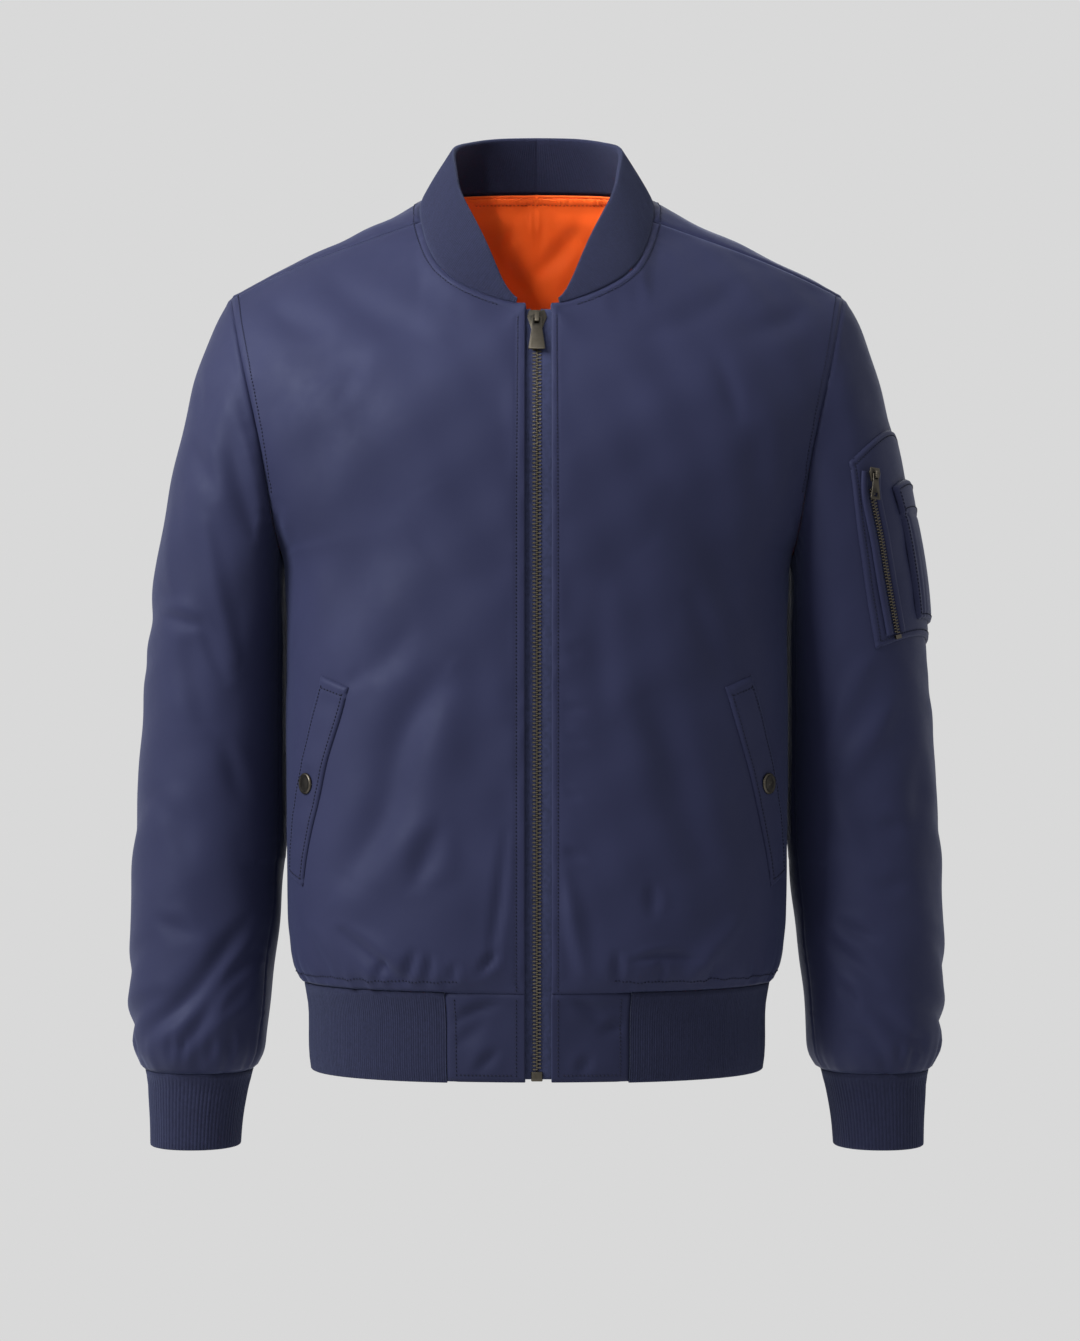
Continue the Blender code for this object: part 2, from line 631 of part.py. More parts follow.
# Sleeve pocket: its front and outer edges, in sleeve sections and armhole
# positions, from the top down.
POCKET = Table("at front_at front_ring outer_at outer_ring", [
    (0, 1.00, 2.44, 2.20, 4.25),
    (1, 2.10, 2.17, 3.05, 4.25),
    (2, 3.30, 2.12, 3.98, 4.25),
    (3, 4.42, 2.20, 4.98, 4.25),
])
PEN = Table("at front_at front_ring outer_at outer_ring", [
    (0, 2.33, 2.98, 2.66, 4.05),
    (1, 3.05, 3.05, 3.35, 4.05),
    (2, 3.80, 3.08, 4.05, 4.05),
    (3, 4.42, 3.10, 4.66, 4.00),
])
# Sleeve zip: the middle of its chain, from the slider to the bottom stop.
SLEEVE_ZIP = Table("at section ring", [
    (0, 1.62, 2.66),
    (1, 2.10, 2.50),
    (2, 3.20, 2.47),
    (3, 4.38, 2.56),
])


def welt_grid(rows, cols, lift, pad=0.0):
    """Points of the left welt, lifted off the front's surface; also normals."""
    r = WELT.at("inner_x inner_z outer_x outer_z", np.linspace(0, 6, rows + 1))
    t = np.linspace(0, 1, cols + 1)[None, :]
    x = r[:, :1] + (r[:, 2:3] - r[:, :1]) * t
    z = r[:, 1:2] + (r[:, 3:4] - r[:, 1:2]) * t
    p = front_surface(x, z)
    n = front_normal(x, z)
    return p + n * lift, n


def front_surface(x, z):
    x, z = np.broadcast_arrays(x, z)
    return np.stack([x, torso_y(x.ravel(), z.ravel(), True).reshape(x.shape), z], -1)


def front_normal(x, z, step=0.0008):
    a = front_surface(x + step, z) - front_surface(x - step, z)
    b = front_surface(x, z + step) - front_surface(x, z - step)
    return unit(np.cross(a, b))


def sleeve_normal(at, ring, step=0.02):
    a = sleeve_point(at + step, ring) - sleeve_point(at - step, ring)
    b = sleeve_point(at, ring + step) - sleeve_point(at, ring - step)
    return unit(np.cross(a, b))


def pocket_grid(table, rows, cols, lift):
    """Points of a pocket on the left sleeve, lifted off it; also normals."""
    r = table.at("front_at front_ring outer_at outer_ring", np.linspace(0, 3, rows + 1))
    t = np.linspace(0, 1, cols + 1)[None, :]
    at = r[:, :1] + (r[:, 2:3] - r[:, :1]) * t
    ring = r[:, 1:2] + (r[:, 3:4] - r[:, 1:2]) * t
    n = sleeve_normal(at, ring)
    return sleeve_point(at, ring) + n * lift, n


def zip_edge_y(z):
    """Depth of the front edges' outer face at a height, band included."""
    z = np.atleast_1d(np.asarray(z, float))
    up = torso_y(np.full(len(z), 0.010), np.maximum(z, HEM_SEAM_Z), True)
    low = HEM.at("edge_depth", np.minimum(z, HEM_SEAM_Z))
    top = HEM.at("edge_depth", HEM_SEAM_Z)[0]
    seam = torso_y(np.array([0.010]), np.array([HEM_SEAM_Z]), True)[0]
    return np.where(z < HEM_SEAM_Z, seam * low / top, up)


# ------------------------------------------------------------------ hardware sizes
LINING = 0.0010            # lining cloth
TAPE = 0.0010              # zip tape thickness
TAPE_BACK = 0.0033         # its front face lies this far behind the front edges
TAPE_IN = 0.0037           # inner edge of each tape from the zip's centre
TAPE_WIDTH = 0.0140
CHAIN_HALF = 0.0033        # half width of the closed chain
CHAIN_THICK = 0.0024
ZIP_TOP = -0.0850          # upper end of the tapes
SLIDER_Z = -0.0952         # middle of the slider
SLIDER = (0.0146, 0.0150)  # width and length of its plates
PLATE = 0.0014             # thickness of the plates
CHANNEL = 0.0018           # half the space between them
BOX_TOP, BOX_END = -0.6488, -0.6560
PULL_LENGTH = 0.0262
SNAP_RADIUS, SNAP_THICK = 0.0078, 0.0022
SMALL = 0.72               # the sleeve zip's slider and pull against the front's

RES = Counts(cols=12, flank=8, chest=4, yoke=5, over=1, back_flank=5, back_chest=5,
             sleeve=16, band=3, neck=3)

NYLON = ((0.030, 0.034, 0.075), 0.42, 0.0)
KNIT = ((0.022, 0.024, 0.052), 0.85, 0.0)
ORANGE = ((0.80, 0.13, 0.02), 0.50, 0.0)
TAPE_LOOK = ((0.012, 0.013, 0.030), 0.80, 0.0)
BRASS = ((0.060, 0.048, 0.034), 0.38, 1.0)


def clear_scene():
    for obj in list(bpy.data.objects):
        bpy.data.objects.remove(obj, do_unlink=True)


def collection(name):
    c = bpy.data.collections.new(name)
    bpy.context.scene.collection.children.link(c)
    return c


def material(name, look):
    color, rough, metal = look
    m = bpy.data.materials.new(name)
    m.use_nodes = True
    bsdf = m.node_tree.nodes["Principled BSDF"]
    bsdf.inputs["Base Color"].default_value = (*color, 1)
    bsdf.inputs["Roughness"].default_value = rough
    bsdf.inputs["Metallic"].default_value = metal
    return m


def place(obj, look, parent=None):
    for c in list(obj.users_collection):
        c.objects.unlink(obj)
    PARTS.objects.link(obj)
    obj.data.materials.clear()
    obj.data.materials.append(material(obj.name, look))
    if parent is not None:
        obj.parent = parent
    return obj


def mesh_object(name, points, faces, look):
    me = bpy.data.meshes.new(name)
    me.from_pydata([tuple(map(float, p)) for p in points], [],
                   [tuple(int(i) for i in f) for f in faces])
    me.validate()
    me.shade_smooth()
    me.set_sharp_from_angle(angle=math.radians(40))
    return place(bpy.data.objects.new(name, me), look)


def slab(name, grid, normals, thick, look):
    """A piece lying on cloth: grid is its under side, normals point outward."""
    s = Sheet(name, thick, [(grid + normals * thick, False, False)])
    order = np.empty(len(s.p), int)
    order[s.slot] = np.arange(len(s.slot))
    s.n = normals.reshape(-1, 3)[order]
    centre = np.cross(s.p[s.f[:, 2]] - s.p[s.f[:, 0]], s.p[s.f[:, 3]] - s.p[s.f[:, 1]])
    if np.sum(centre * s.n[s.f[:, 0]]) < 0:
        s.f = s.f[:, INNER]
        s.rim = boundary(s.f, len(s.p))
    n = len(s.p)
    points = np.vstack([s.p, s.p - s.n * thick])
    return mesh_object(name, points, np.vstack([s.f, s.f[:, INNER] + n, rim_faces(s)]), look)


def box(name, size, centre):
    bpy.ops.mesh.primitive_cube_add(size=1, location=centre)
    obj = bpy.context.object
    obj.name = name
    obj.scale = size
    bpy.ops.object.transform_apply(location=False, rotation=False, scale=True)
    return obj


def extrusion(name, outlines, depth):
    """A flat outline (with holes) of the X and Z plane, extruded along Y."""
    cu = bpy.data.curves.new(name, "CURVE")
    cu.dimensions = "2D"
    cu.fill_mode = "BOTH"
    cu.extrude = depth / 2
    for pts in outlines:
        sp = cu.splines.new("POLY")
        sp.points.add(len(pts) - 1)
        for p, (x, z) in zip(sp.points, pts):
            p.co = (x, z, 0, 1)
        sp.use_cyclic_u = True
    tmp = bpy.data.objects.new(name + "_outline", cu)
    bpy.context.scene.collection.objects.link(tmp)
    me = bpy.data.meshes.new_from_object(tmp.evaluated_get(bpy.context.evaluated_depsgraph_get()))
    bpy.data.objects.remove(tmp, do_unlink=True)
    bm = bmesh.new()
    bm.from_mesh(me)
    bmesh.ops.remove_doubles(bm, verts=bm.verts, dist=0.000001)
    bmesh.ops.rotate(bm, verts=bm.verts, matrix=Matrix.Rotation(math.pi / 2, 3, "X"))
    bmesh.ops.recalc_face_normals(bm, faces=bm.faces)
    bm.to_mesh(me)
    bm.free()
    obj = bpy.data.objects.new(name, me)
    bpy.context.scene.collection.objects.link(obj)
    return obj


def join_solids(first, others):
    """Boolean union, applied, of overlapping solids into one body."""
    for k, other in enumerate(others):
        mod = first.modifiers.new("join%d" % k, "BOOLEAN")
        mod.operation, mod.object, mod.solver = "UNION", other, "EXACT"
    me = bpy.data.meshes.new_from_object(first.evaluated_get(bpy.context.evaluated_depsgraph_get()))
    first.modifiers.clear()
    first.data = me
    for other in others:
        bpy.data.objects.remove(other, do_unlink=True)
    return first


def ring_outline(wide, low, high):
    return [(-wide / 2, low), (wide / 2, low), (wide / 2, high), (-wide / 2, high)]


def slider_solid(name, scale, channel):
    """Zip slider, its front towards -Y, its chain along Z through the origin.

    With a channel it has a back plate and a post between the plates; without,
    its one plate sits on a block."""
    wide, tall = SLIDER[0] * scale, SLIDER[1] * scale
    t, gap = PLATE * scale, CHANNEL * scale
    cut = 0.22 * wide
    plate = [(-wide / 2 + cut, -tall / 2), (wide / 2 - cut, -tall / 2), (wide / 2, tall * 0.12),
             (wide / 2 - cut * 0.5, tall / 2), (-wide / 2 + cut * 0.5, tall / 2),
             (-wide / 2, tall * 0.12)]
    front = extrusion(name, [plate], t)
    front.location.y = -gap - t / 2
    parts = []
    if channel:
        rear = extrusion(name + "_rear", [plate], t)
        rear.location.y = gap + t / 2
        parts = [rear, box(name + "_post", (0.0028 * scale, 2 * gap + t, 0.0050 * scale),
                           (0, 0, tall / 2 - 0.0030 * scale))]
    else:
        parts = [box(name + "_block", (wide * 0.55, gap * 0.9, tall * 0.86),
                     (0, -gap * 0.62, 0))]
    bridge = [(-0.0037, 0.0), (0.0037, 0.0), (0.0037, 0.0036), (-0.0037, 0.0036)]
    hole = [(-0.0025, 0.0), (0.0025, 0.0), (0.0025, 0.0026), (-0.0025, 0.0026)]
    legs = [[(a * scale, b * scale) for a, b in half] for half in (
        [(-0.0037, -0.0004), (-0.0025, -0.0004), (-0.0025, 0.0026), (0.0025, 0.0026),
         (0.0025, -0.0004), (0.0037, -0.0004), (0.0037, 0.0036), (-0.0037, 0.0036)],)]
    bail = extrusion(name + "_bail", legs, 0.0030 * scale)
    bail.rotation_euler = (math.pi / 2, 0, math.pi / 2)
    bail.rotation_mode = "XYZ"
    bail.matrix_world = Matrix.Translation((0, -gap - t, 0)) @ Matrix((
        (0, 1, 0, 0), (0, 0, -1, 0), (1, 0, 0, 0), (0, 0, 0, 1)))
    bpy.context.view_layer.update()
    for o in parts + [front, bail]:
        o.data.transform(o.matrix_basis)
        o.matrix_world = Matrix()
    bpy.context.view_layer.update()
    return join_solids(front, parts + [bail])


def pull_solid(name, scale, slot):
    """Pull tab hanging from its hinge bar, whose axis is X through the origin."""
    s = scale
    outer = [(-0.0037 * s, 0.0007 * s), (0.0037 * s, 0.0007 * s), (0.0037 * s, -0.0070 * s),
             (0.0062 * s, -PULL_LENGTH * s + 0.0007), (0.0054 * s, -PULL_LENGTH * s),
             (-0.0054 * s, -PULL_LENGTH * s), (-0.0062 * s, -PULL_LENGTH * s + 0.0007),
             (-0.0037 * s, -0.0070 * s)]
    eye = ring_outline(0.0044 * s, -0.0049 * s, -0.0007 * s)
    outlines = [outer, eye]
    if slot:
        outlines.append(ring_outline(0.0050 * s, -PULL_LENGTH * s + 0.0020, -PULL_LENGTH * s + 0.0068 * s))
    return extrusion(name, outlines, 0.0012 * s)


def strip(name, centre, across, outward, half, thick, look):
    """A flat strip along a path: half widths each side, centred thickness."""
    n = len(centre)
    pts = []
    for c, a, o, h in zip(centre, across, outward, half):
        pts += [c - a * h[0] + o * thick / 2, c + a * h[1] + o * thick / 2,
                c + a * h[1] - o * thick / 2, c - a * h[0] - o * thick / 2]
    faces = [(0, 1, 2, 3), tuple(4 * (n - 1) + k for k in (3, 2, 1, 0))]
    for i in range(n - 1):
        for k in range(4):
            a, b = 4 * i + k, 4 * i + (k + 1) % 4
            faces.append((a, a + 4, b + 4, b))
    if np.dot(np.cross(across[0], outward[0]), centre[1] - centre[0]) < 0:
        faces = [f[::-1] for f in faces]
    return mesh_object(name, pts, faces, look)


# ------------------------------------------------------------------ building
clear_scene()
PARTS = collection("bomber_jacket")

garment = build_garment(RES)
for piece in garment.sheets:
    points, faces = garment.wall(piece)
    look = KNIT if piece in ("collar", "hem_rib", "cuff_right", "cuff_left") else NYLON
    mesh_object(piece, points, faces, look)

# Upper back lining: inside the back's wall, from the neck seam down.
whole = garment.sheets["back"]
normal_at = {tuple(k): n for k, n in zip(whole.key, whole.n)}
first_row, last_row, cols = RES.flank + 3, RES.flank + RES.back_chest + RES.back_yoke, 8
half = back_grid(RES)[first_row:last_row, :cols + 1]
normal = np.array([[normal_at[tuple(np.round(p, 6) + 0.0)] for p in row] for row in half])
under = half - normal * (SHELL + 0.0008)
for k in range(RES.back_chest - 3, len(half)):
    under[k, 0] += unit(half[k, 1] - half[k, 0]) * 0.004
under[RES.back_chest - 3, 0] = under[RES.back_chest - 3, 0] * (0, 1, 1) - np.array([0, 0, 0.004])
lining = Sheet("lining_back", LINING, [(under, False, True), (flip_x(under), False, False)])
lining.n[lining.slot] = np.vstack([normal.reshape(-1, 3), flip_x(normal).reshape(-1, 3)])
n = len(lining.p)
mesh_object("lining_back", np.vstack([lining.p, lining.p - lining.n * LINING]),
            np.vstack([lining.f, lining.f[:, INNER] + n, rim_faces(lining)]), ORANGE)

# Front zip: tapes behind the front edges, chain between them, bottom box.
rows = front_grid(RES, EDGE_LEFT)[0][:RES.flank + RES.chest + 1, :2]
low = hem_rows(front_grid(RES, EDGE_LEFT)[0][0], True, RES.band)[1:, :2]
edge = np.vstack([rows[::-1], low])[:, 0]
edge_along = unit(np.gradient(edge, axis=0))
edge_out = np.stack([0 * edge[:, 0], edge_along[:, 2], -edge_along[:, 1]], 1)
edge_out[:, 0] = 0
edge_out = unit(edge_out * np.sign(-edge_out[:, 1])[:, None])
own = [z for z in edge[:, 2] if BOX_TOP + 0.002 < z < ZIP_TOP - 0.002]
stops = np.array([ZIP_TOP] + own + [BOX_TOP + 0.0004, BOX_TOP, -0.6555])
line = np.stack([0 * stops, np.interp(-stops, -edge[:, 2], edge[:, 1]), stops], 1)
forward = unit(np.stack([np.interp(-stops, -edge[:, 2], edge_out[:, k]) for k in range(3)], 1))
along = unit(np.stack([0 * stops, -forward[:, 2], forward[:, 1]], 1))
wide = np.tile((1.0, 0.0, 0.0), (len(stops), 1))
tape_mid = line - forward * (TAPE_BACK + TAPE / 2)
inner = np.where(stops > BOX_TOP + 0.0002, TAPE_IN, 0.0046)
reach = np.full(len(stops), TAPE_IN + TAPE_WIDTH)
strip("zip_tape_left", tape_mid, wide, forward, np.stack([-inner, reach], 1), TAPE, TAPE_LOOK)
strip("zip_tape_right", tape_mid, wide, forward, np.stack([reach, -inner], 1), TAPE, TAPE_LOOK)
chain_stops = np.array([SLIDER_Z + 0.0005] + [z for z in own if z < SLIDER_Z - 0.002] + [BOX_TOP + 0.0004])
chain = np.stack([0 * chain_stops, np.interp(-chain_stops, -stops, tape_mid[:, 1]), chain_stops], 1)
chain_out = np.stack([np.interp(-chain_stops, -stops, forward[:, k]) for k in range(3)], 1)
half_chain = np.full((len(chain_stops), 2), CHAIN_HALF)
strip("zip_chain", chain, wide[:len(chain_stops)], unit(chain_out), half_chain, CHAIN_THICK, BRASS)

bottom = box("zip_box", (0.0084, 0.0036, BOX_TOP - BOX_END),
             (0, np.interp(0.652, -stops, tape_mid[:, 1]), (BOX_TOP + BOX_END) / 2))
bev = bottom.modifiers.new("edges", "BEVEL")
bev.width, bev.segments = 0.0006, 2
place(bottom, BRASS)


def chain_at(z):
    return np.array([0, np.interp(-z, -stops, tape_mid[:, 1]), z])


def frame_at(z):
    """Origin and upward direction of the slider on the chain at a height."""
    return chain_at(z), unit(chain_at(z) - chain_at(z - SLIDER[1] / 2))


def turn_of(across, outward, up):
    m = Matrix((across, -Vector(outward), up)).transposed().to_4x4()
    return m


at, up = frame_at(SLIDER_Z)
out = np.cross((1.0, 0, 0), up)
out *= math.copysign(1, -out[1])
turn = turn_of(Vector((1, 0, 0)), out, Vector(up))
slider = slider_solid("zip_slider", 1.0, True)
slider.matrix_world = Matrix.Translation(at) @ turn
slider.name = "zip_slider"
place(slider, BRASS)
axis_out = CHANNEL + PLATE + 0.0013
hinge = Vector(at) + Vector(out) * axis_out
front_hinge = bpy.data.objects.new("front_pull_axis", None)
front_hinge.matrix_world = Matrix.Translation(hinge) @ turn
PARTS.objects.link(front_hinge)
pull = pull_solid("zip_pull", 1.0, False)
place(pull, BRASS, front_hinge)

# Welts and snaps on the fronts.
grid, normals = welt_grid(8, 2, 0.0010)
slab("pocket_welt_left", grid, normals, 0.0016, NYLON)
slab("pocket_welt_right", flip_x(grid), flip_x(normals), 0.0016, NYLON)
seat = front_surface(np.array([[SNAP[0]]]), np.array([[SNAP[1]]]))[0, 0]
facing = front_normal(np.array([[SNAP[0]]]), np.array([[SNAP[1]]]))[0, 0]
for side_name, sign in (("left", 1), ("right", -1)):
    me = bpy.data.meshes.new("snap_" + side_name)
    profile = [(0.0, 0.0), (SNAP_RADIUS, 0.0), (SNAP_RADIUS, 0.0014), (SNAP_RADIUS - 0.0007, SNAP_THICK),
               (SNAP_RADIUS - 0.0022, SNAP_THICK), (SNAP_RADIUS - 0.0030, SNAP_THICK - 0.0005),
               (0.0, SNAP_THICK - 0.0004)]
    me.from_pydata([(r, 0, h) for r, h in reversed(profile)], [(k, k + 1) for k in range(len(profile) - 1)], [])
    snap = bpy.data.objects.new("snap_" + side_name, me)
    bpy.context.scene.collection.objects.link(snap)
    screw = snap.modifiers.new("turn", "SCREW")
    screw.steps = screw.render_steps = 24
    screw.use_merge_vertices, screw.merge_threshold = True, 0.00001
    n = facing * np.array([sign, 1, 1])
    p = seat * np.array([sign, 1, 1]) + n * 0.0034
    snap.matrix_world = Matrix.Translation(p) @ Vector(n).to_track_quat("Z", "Y").to_matrix().to_4x4()
    place(snap, BRASS)

# Sleeve pocket, pen pocket and sleeve zip.
grid, normals = pocket_grid(POCKET, 6, 7, 0.0012)
slab("sleeve_pocket", grid, normals, 0.0014, NYLON)
grid, normals = pocket_grid(PEN, 5, 5, 0.0034)
slab("pen_pocket", grid, normals, 0.0022, NYLON)
ends = SLEEVE_ZIP.at("section ring", np.linspace(0.0, 3, 10))
mid = sleeve_point(ends[:, 0], ends[:, 1])
nrm = sleeve_normal(ends[:, 0], ends[:, 1])
along_s = unit(np.gradient(mid, axis=0))
across_s = unit(np.cross(along_s, nrm))
lift = 0.0034
strip("sleeve_zip_tape", mid + nrm * lift, across_s, nrm, np.full((10, 2), 0.0075), 0.0008, TAPE_LOOK)
keep = slice(2, 10)
strip("sleeve_zip_chain", (mid + nrm * (lift + 0.0017))[keep], across_s[keep], nrm[keep],
      np.full((8, 2), 0.0024), 0.0018, BRASS)
end = mid[-1] + nrm[-1] * (lift + 0.0018) + along_s[-1] * 0.0026
turn_s = Matrix((Vector(across_s[-1]), Vector(nrm[-1]), Vector(-along_s[-1]))).transposed().to_4x4()
stop = box("sleeve_zip_stop", (0.0050, 0.0024, 0.0030), (0, 0, 0))
stop.matrix_world = Matrix.Translation(end) @ turn_s
place(stop, BRASS)
where = mid[0] + (mid[1] - mid[0]) * 0.35 + nrm[0] * (lift + 0.0016 + 0.0010)
up_s = -along_s[0]
out_s = nrm[0]
acr = unit(np.cross(up_s, -out_s))
turn_s = turn_of(Vector(acr), out_s, Vector(up_s))
slider = slider_solid("sleeve_zip_slider", SMALL, False)
slider.matrix_world = Matrix.Translation(where) @ turn_s
slider.name = "sleeve_zip_slider"
place(slider, BRASS)
hinge = Vector(where) + Vector(out_s) * (axis_out * SMALL)
sleeve_hinge = bpy.data.objects.new("sleeve_pull_axis", None)
sleeve_hinge.matrix_world = Matrix.Translation(hinge) @ turn_s
PARTS.objects.link(sleeve_hinge)
pull = pull_solid("sleeve_zip_pull", SMALL, True)
place(pull, BRASS, sleeve_hinge)
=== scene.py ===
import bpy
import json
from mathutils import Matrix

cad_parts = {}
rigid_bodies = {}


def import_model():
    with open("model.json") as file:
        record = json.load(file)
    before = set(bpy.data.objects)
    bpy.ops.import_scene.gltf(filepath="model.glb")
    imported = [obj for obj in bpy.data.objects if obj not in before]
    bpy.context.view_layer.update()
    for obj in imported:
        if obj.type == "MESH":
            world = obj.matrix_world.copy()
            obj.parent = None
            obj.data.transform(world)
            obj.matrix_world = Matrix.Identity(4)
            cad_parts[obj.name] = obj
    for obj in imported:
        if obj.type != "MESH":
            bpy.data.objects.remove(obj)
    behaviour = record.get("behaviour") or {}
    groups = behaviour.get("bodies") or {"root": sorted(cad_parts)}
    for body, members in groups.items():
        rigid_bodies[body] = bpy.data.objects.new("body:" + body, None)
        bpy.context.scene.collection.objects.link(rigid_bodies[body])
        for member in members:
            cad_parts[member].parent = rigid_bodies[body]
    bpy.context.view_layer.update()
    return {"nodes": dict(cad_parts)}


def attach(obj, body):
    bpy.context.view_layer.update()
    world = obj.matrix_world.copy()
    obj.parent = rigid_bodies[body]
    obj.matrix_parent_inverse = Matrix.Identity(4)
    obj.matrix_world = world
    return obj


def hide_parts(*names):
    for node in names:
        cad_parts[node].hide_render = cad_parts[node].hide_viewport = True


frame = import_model()

import json
import bpy
from mathutils import Matrix, Vector
from mathutils.kdtree import KDTree

import math
import numpy as np


# ------------------------------------------------------------------ tables
def spline(t, values, at, closed=False):
    """Smooth (cubic, curvature-continuous) curve through the rows of a table.

    t: increasing row positions; values: one row of numbers per position;
    at: where to read it.  closed: the last row joins the first one again.
    """
    t = np.asarray(t, float)
    v = np.asarray(values, float)
    flat = v.ndim == 1
    if flat:
        v = v[:, None]
    at = np.atleast_1d(np.asarray(at, float))
    n = len(t)
    h = np.diff(t)
    a = np.zeros((n, n))
    r = np.zeros((n, v.shape[1]))
    for i in range(1, n - 1):
        a[i, i - 1], a[i, i], a[i, i + 1] = h[i - 1], 2 * (h[i - 1] + h[i]), h[i]
        r[i] = 6 * ((v[i + 1] - v[i]) / h[i] - (v[i] - v[i - 1]) / h[i - 1])
    if closed:
        a[0, 0], a[0, -1] = 1, -1
        a[-1, 0], a[-1, 1] = 2 * h[0], h[0]
        a[-1, -2], a[-1, -1] = h[-1], 2 * h[-1]
        r[-1] = 6 * ((v[1] - v[0]) / h[0] - (v[-1] - v[-2]) / h[-1])
    else:
        a[0, 0] = a[-1, -1] = 1
    m = np.linalg.solve(a, r)
    if closed:
        span = t[-1] - t[0]
        at = t[0] + np.mod(at - t[0], span)
    at = np.clip(at, t[0], t[-1])
    i = np.clip(np.searchsorted(t, at, side="right") - 1, 0, n - 2)
    d = (at - t[i])[:, None]
    e = (t[i + 1] - at)[:, None]
    w = h[i][:, None]
    out = (m[i] * e ** 3 + m[i + 1] * d ** 3) / (6 * w) \
        + (v[i] / w - m[i] * w / 6) * e + (v[i + 1] / w - m[i + 1] * w / 6) * d
    return out[:, 0] if flat else out


class Table:
    """Rows with named columns; the first column places the rows."""

    def __init__(self, columns, rows, closed=False):
        self.names = columns.split()
        self.rows = np.array(rows, float)
        self.closed = closed
        if closed:
            last = self.rows[0].copy()
            last[0] = self.rows[-1][0] + 1
            self.rows = np.vstack([self.rows, last])

    def at(self, columns, where):
        pick = [self.names.index(c) for c in columns.split()]
        out = spline(self.rows[:, 0], self.rows[:, pick], where, self.closed)
        return out[:, 0] if len(pick) == 1 else out


# ------------------------------------------------------------------ sizes, metres
SHELL = 0.0024        # wall of the nylon shell with its thin wadding and backing
RIB = 0.0034          # doubled knit of the hem band and the cuffs
COLLAR = 0.0046       # doubled knit of the collar
SEAM = 0.0003         # each solid stops this far short of a seam line

HEM_SEAM_Z = -0.591   # where the shell is sewn to the knit band
HEM_Z = -0.6565       # lower edge of the jacket
ARMPIT_Z = -0.268
CHEST_Z = -0.255      # height at the centre of the row that ends in the armpit
NECK_FRONT_Z = -0.081
NECK_BACK_Z = 0.0225
EDGE_RIGHT = 0.0088   # zip centre to the folded front edge, wearer's right
EDGE_LEFT = 0.0110    # and wearer's left
PATCH = 0.0700        # the shell-cloth ends of the hem band reach this far
SECTION = 2.35        # squareness of the torso's round sections
RIDGE_BULGE = 0.0030  # the shoulder line bows up this much

# Torso sections at each height.  Above the armpit the half width is that of
# the section carried on past the armhole into the sleeve head.
# The zip keeps the front edge straighter, at a depth of its own.
TORSO = Table("z half_width front_depth edge_depth back_depth side_y", [
    (-0.591, 0.1780, 0.1240, 0.1270, 0.1130, 0.000),
    (-0.583, 0.1832, 0.1300, 0.1290, 0.1190, 0.000),
    (-0.572, 0.1870, 0.1343, 0.1312, 0.1240, 0.000),
    (-0.552, 0.1895, 0.1367, 0.1338, 0.1275, 0.000),
    (-0.510, 0.1908, 0.1375, 0.1362, 0.1290, 0.000),
    (-0.450, 0.1915, 0.1368, 0.1366, 0.1290, 0.001),
    (-0.360, 0.1915, 0.1362, 0.1362, 0.1298, 0.002),
    (-0.300, 0.1922, 0.1358, 0.1358, 0.1320, 0.003),
    (-0.282, 0.1930, 0.1354, 0.1354, 0.1327, 0.004),
    (-0.268, 0.1943, 0.1350, 0.1350, 0.1332, 0.004),
    (-0.2655, 0.1957, 0.1348, 0.1348, 0.1333, 0.004),
    (-0.258, 0.1999, 0.1343, 0.1343, 0.1336, 0.004),
    (-0.243, 0.2080, 0.1330, 0.1330, 0.1340, 0.004),
    (-0.210, 0.2270, 0.1300, 0.1300, 0.1345, 0.004),
    (-0.170, 0.2420, 0.1238, 0.1238, 0.1340, 0.003),
    (-0.125, 0.2520, 0.1100, 0.1100, 0.1310, 0.002),
    (-0.081, 0.2580, 0.0930, 0.0930, 0.1240, 0.001),
    (-0.040, 0.2600, 0.0785, 0.0785, 0.1110, 0.000),
    (0.000, 0.2600, 0.0660, 0.0660, 0.0930, 0.000),
    (0.030, 0.2600, 0.0580, 0.0580, 0.0760, 0.000),
])
EDGE_STIFF = 0.045    # the zip's stiffness dies away over this width

# Knit band below the shell.
HEM = Table("z half_width front_depth edge_depth back_depth", [
    (-0.6565, 0.1725, 0.1175, 0.1190, 0.1068),
    (-0.651, 0.1733, 0.1181, 0.1197, 0.1075),
    (-0.630, 0.1742, 0.1190, 0.1222, 0.1085),
    (-0.604, 0.1752, 0.1205, 0.1254, 0.1098),
    (-0.591, 0.1780, 0.1240, 0.1270, 0.1130),
])

# Armhole seam, wearer's left, round from the armpit by the front to the
# shoulder point and down the back.
ARMHOLE = Table("at x y z", [
    (0, 0.1945, 0.004, -0.268),    # armpit
    (1, 0.1985, -0.046, -0.243),
    (2, 0.2070, -0.064, -0.187),
    (3, 0.2228, -0.049, -0.118),
    (4, 0.2345, 0.004, -0.068),    # shoulder point
    (5, 0.2280, 0.056, -0.112),
    (6, 0.2120, 0.078, -0.182),
    (7, 0.1992, 0.056, -0.242),
], closed=True)

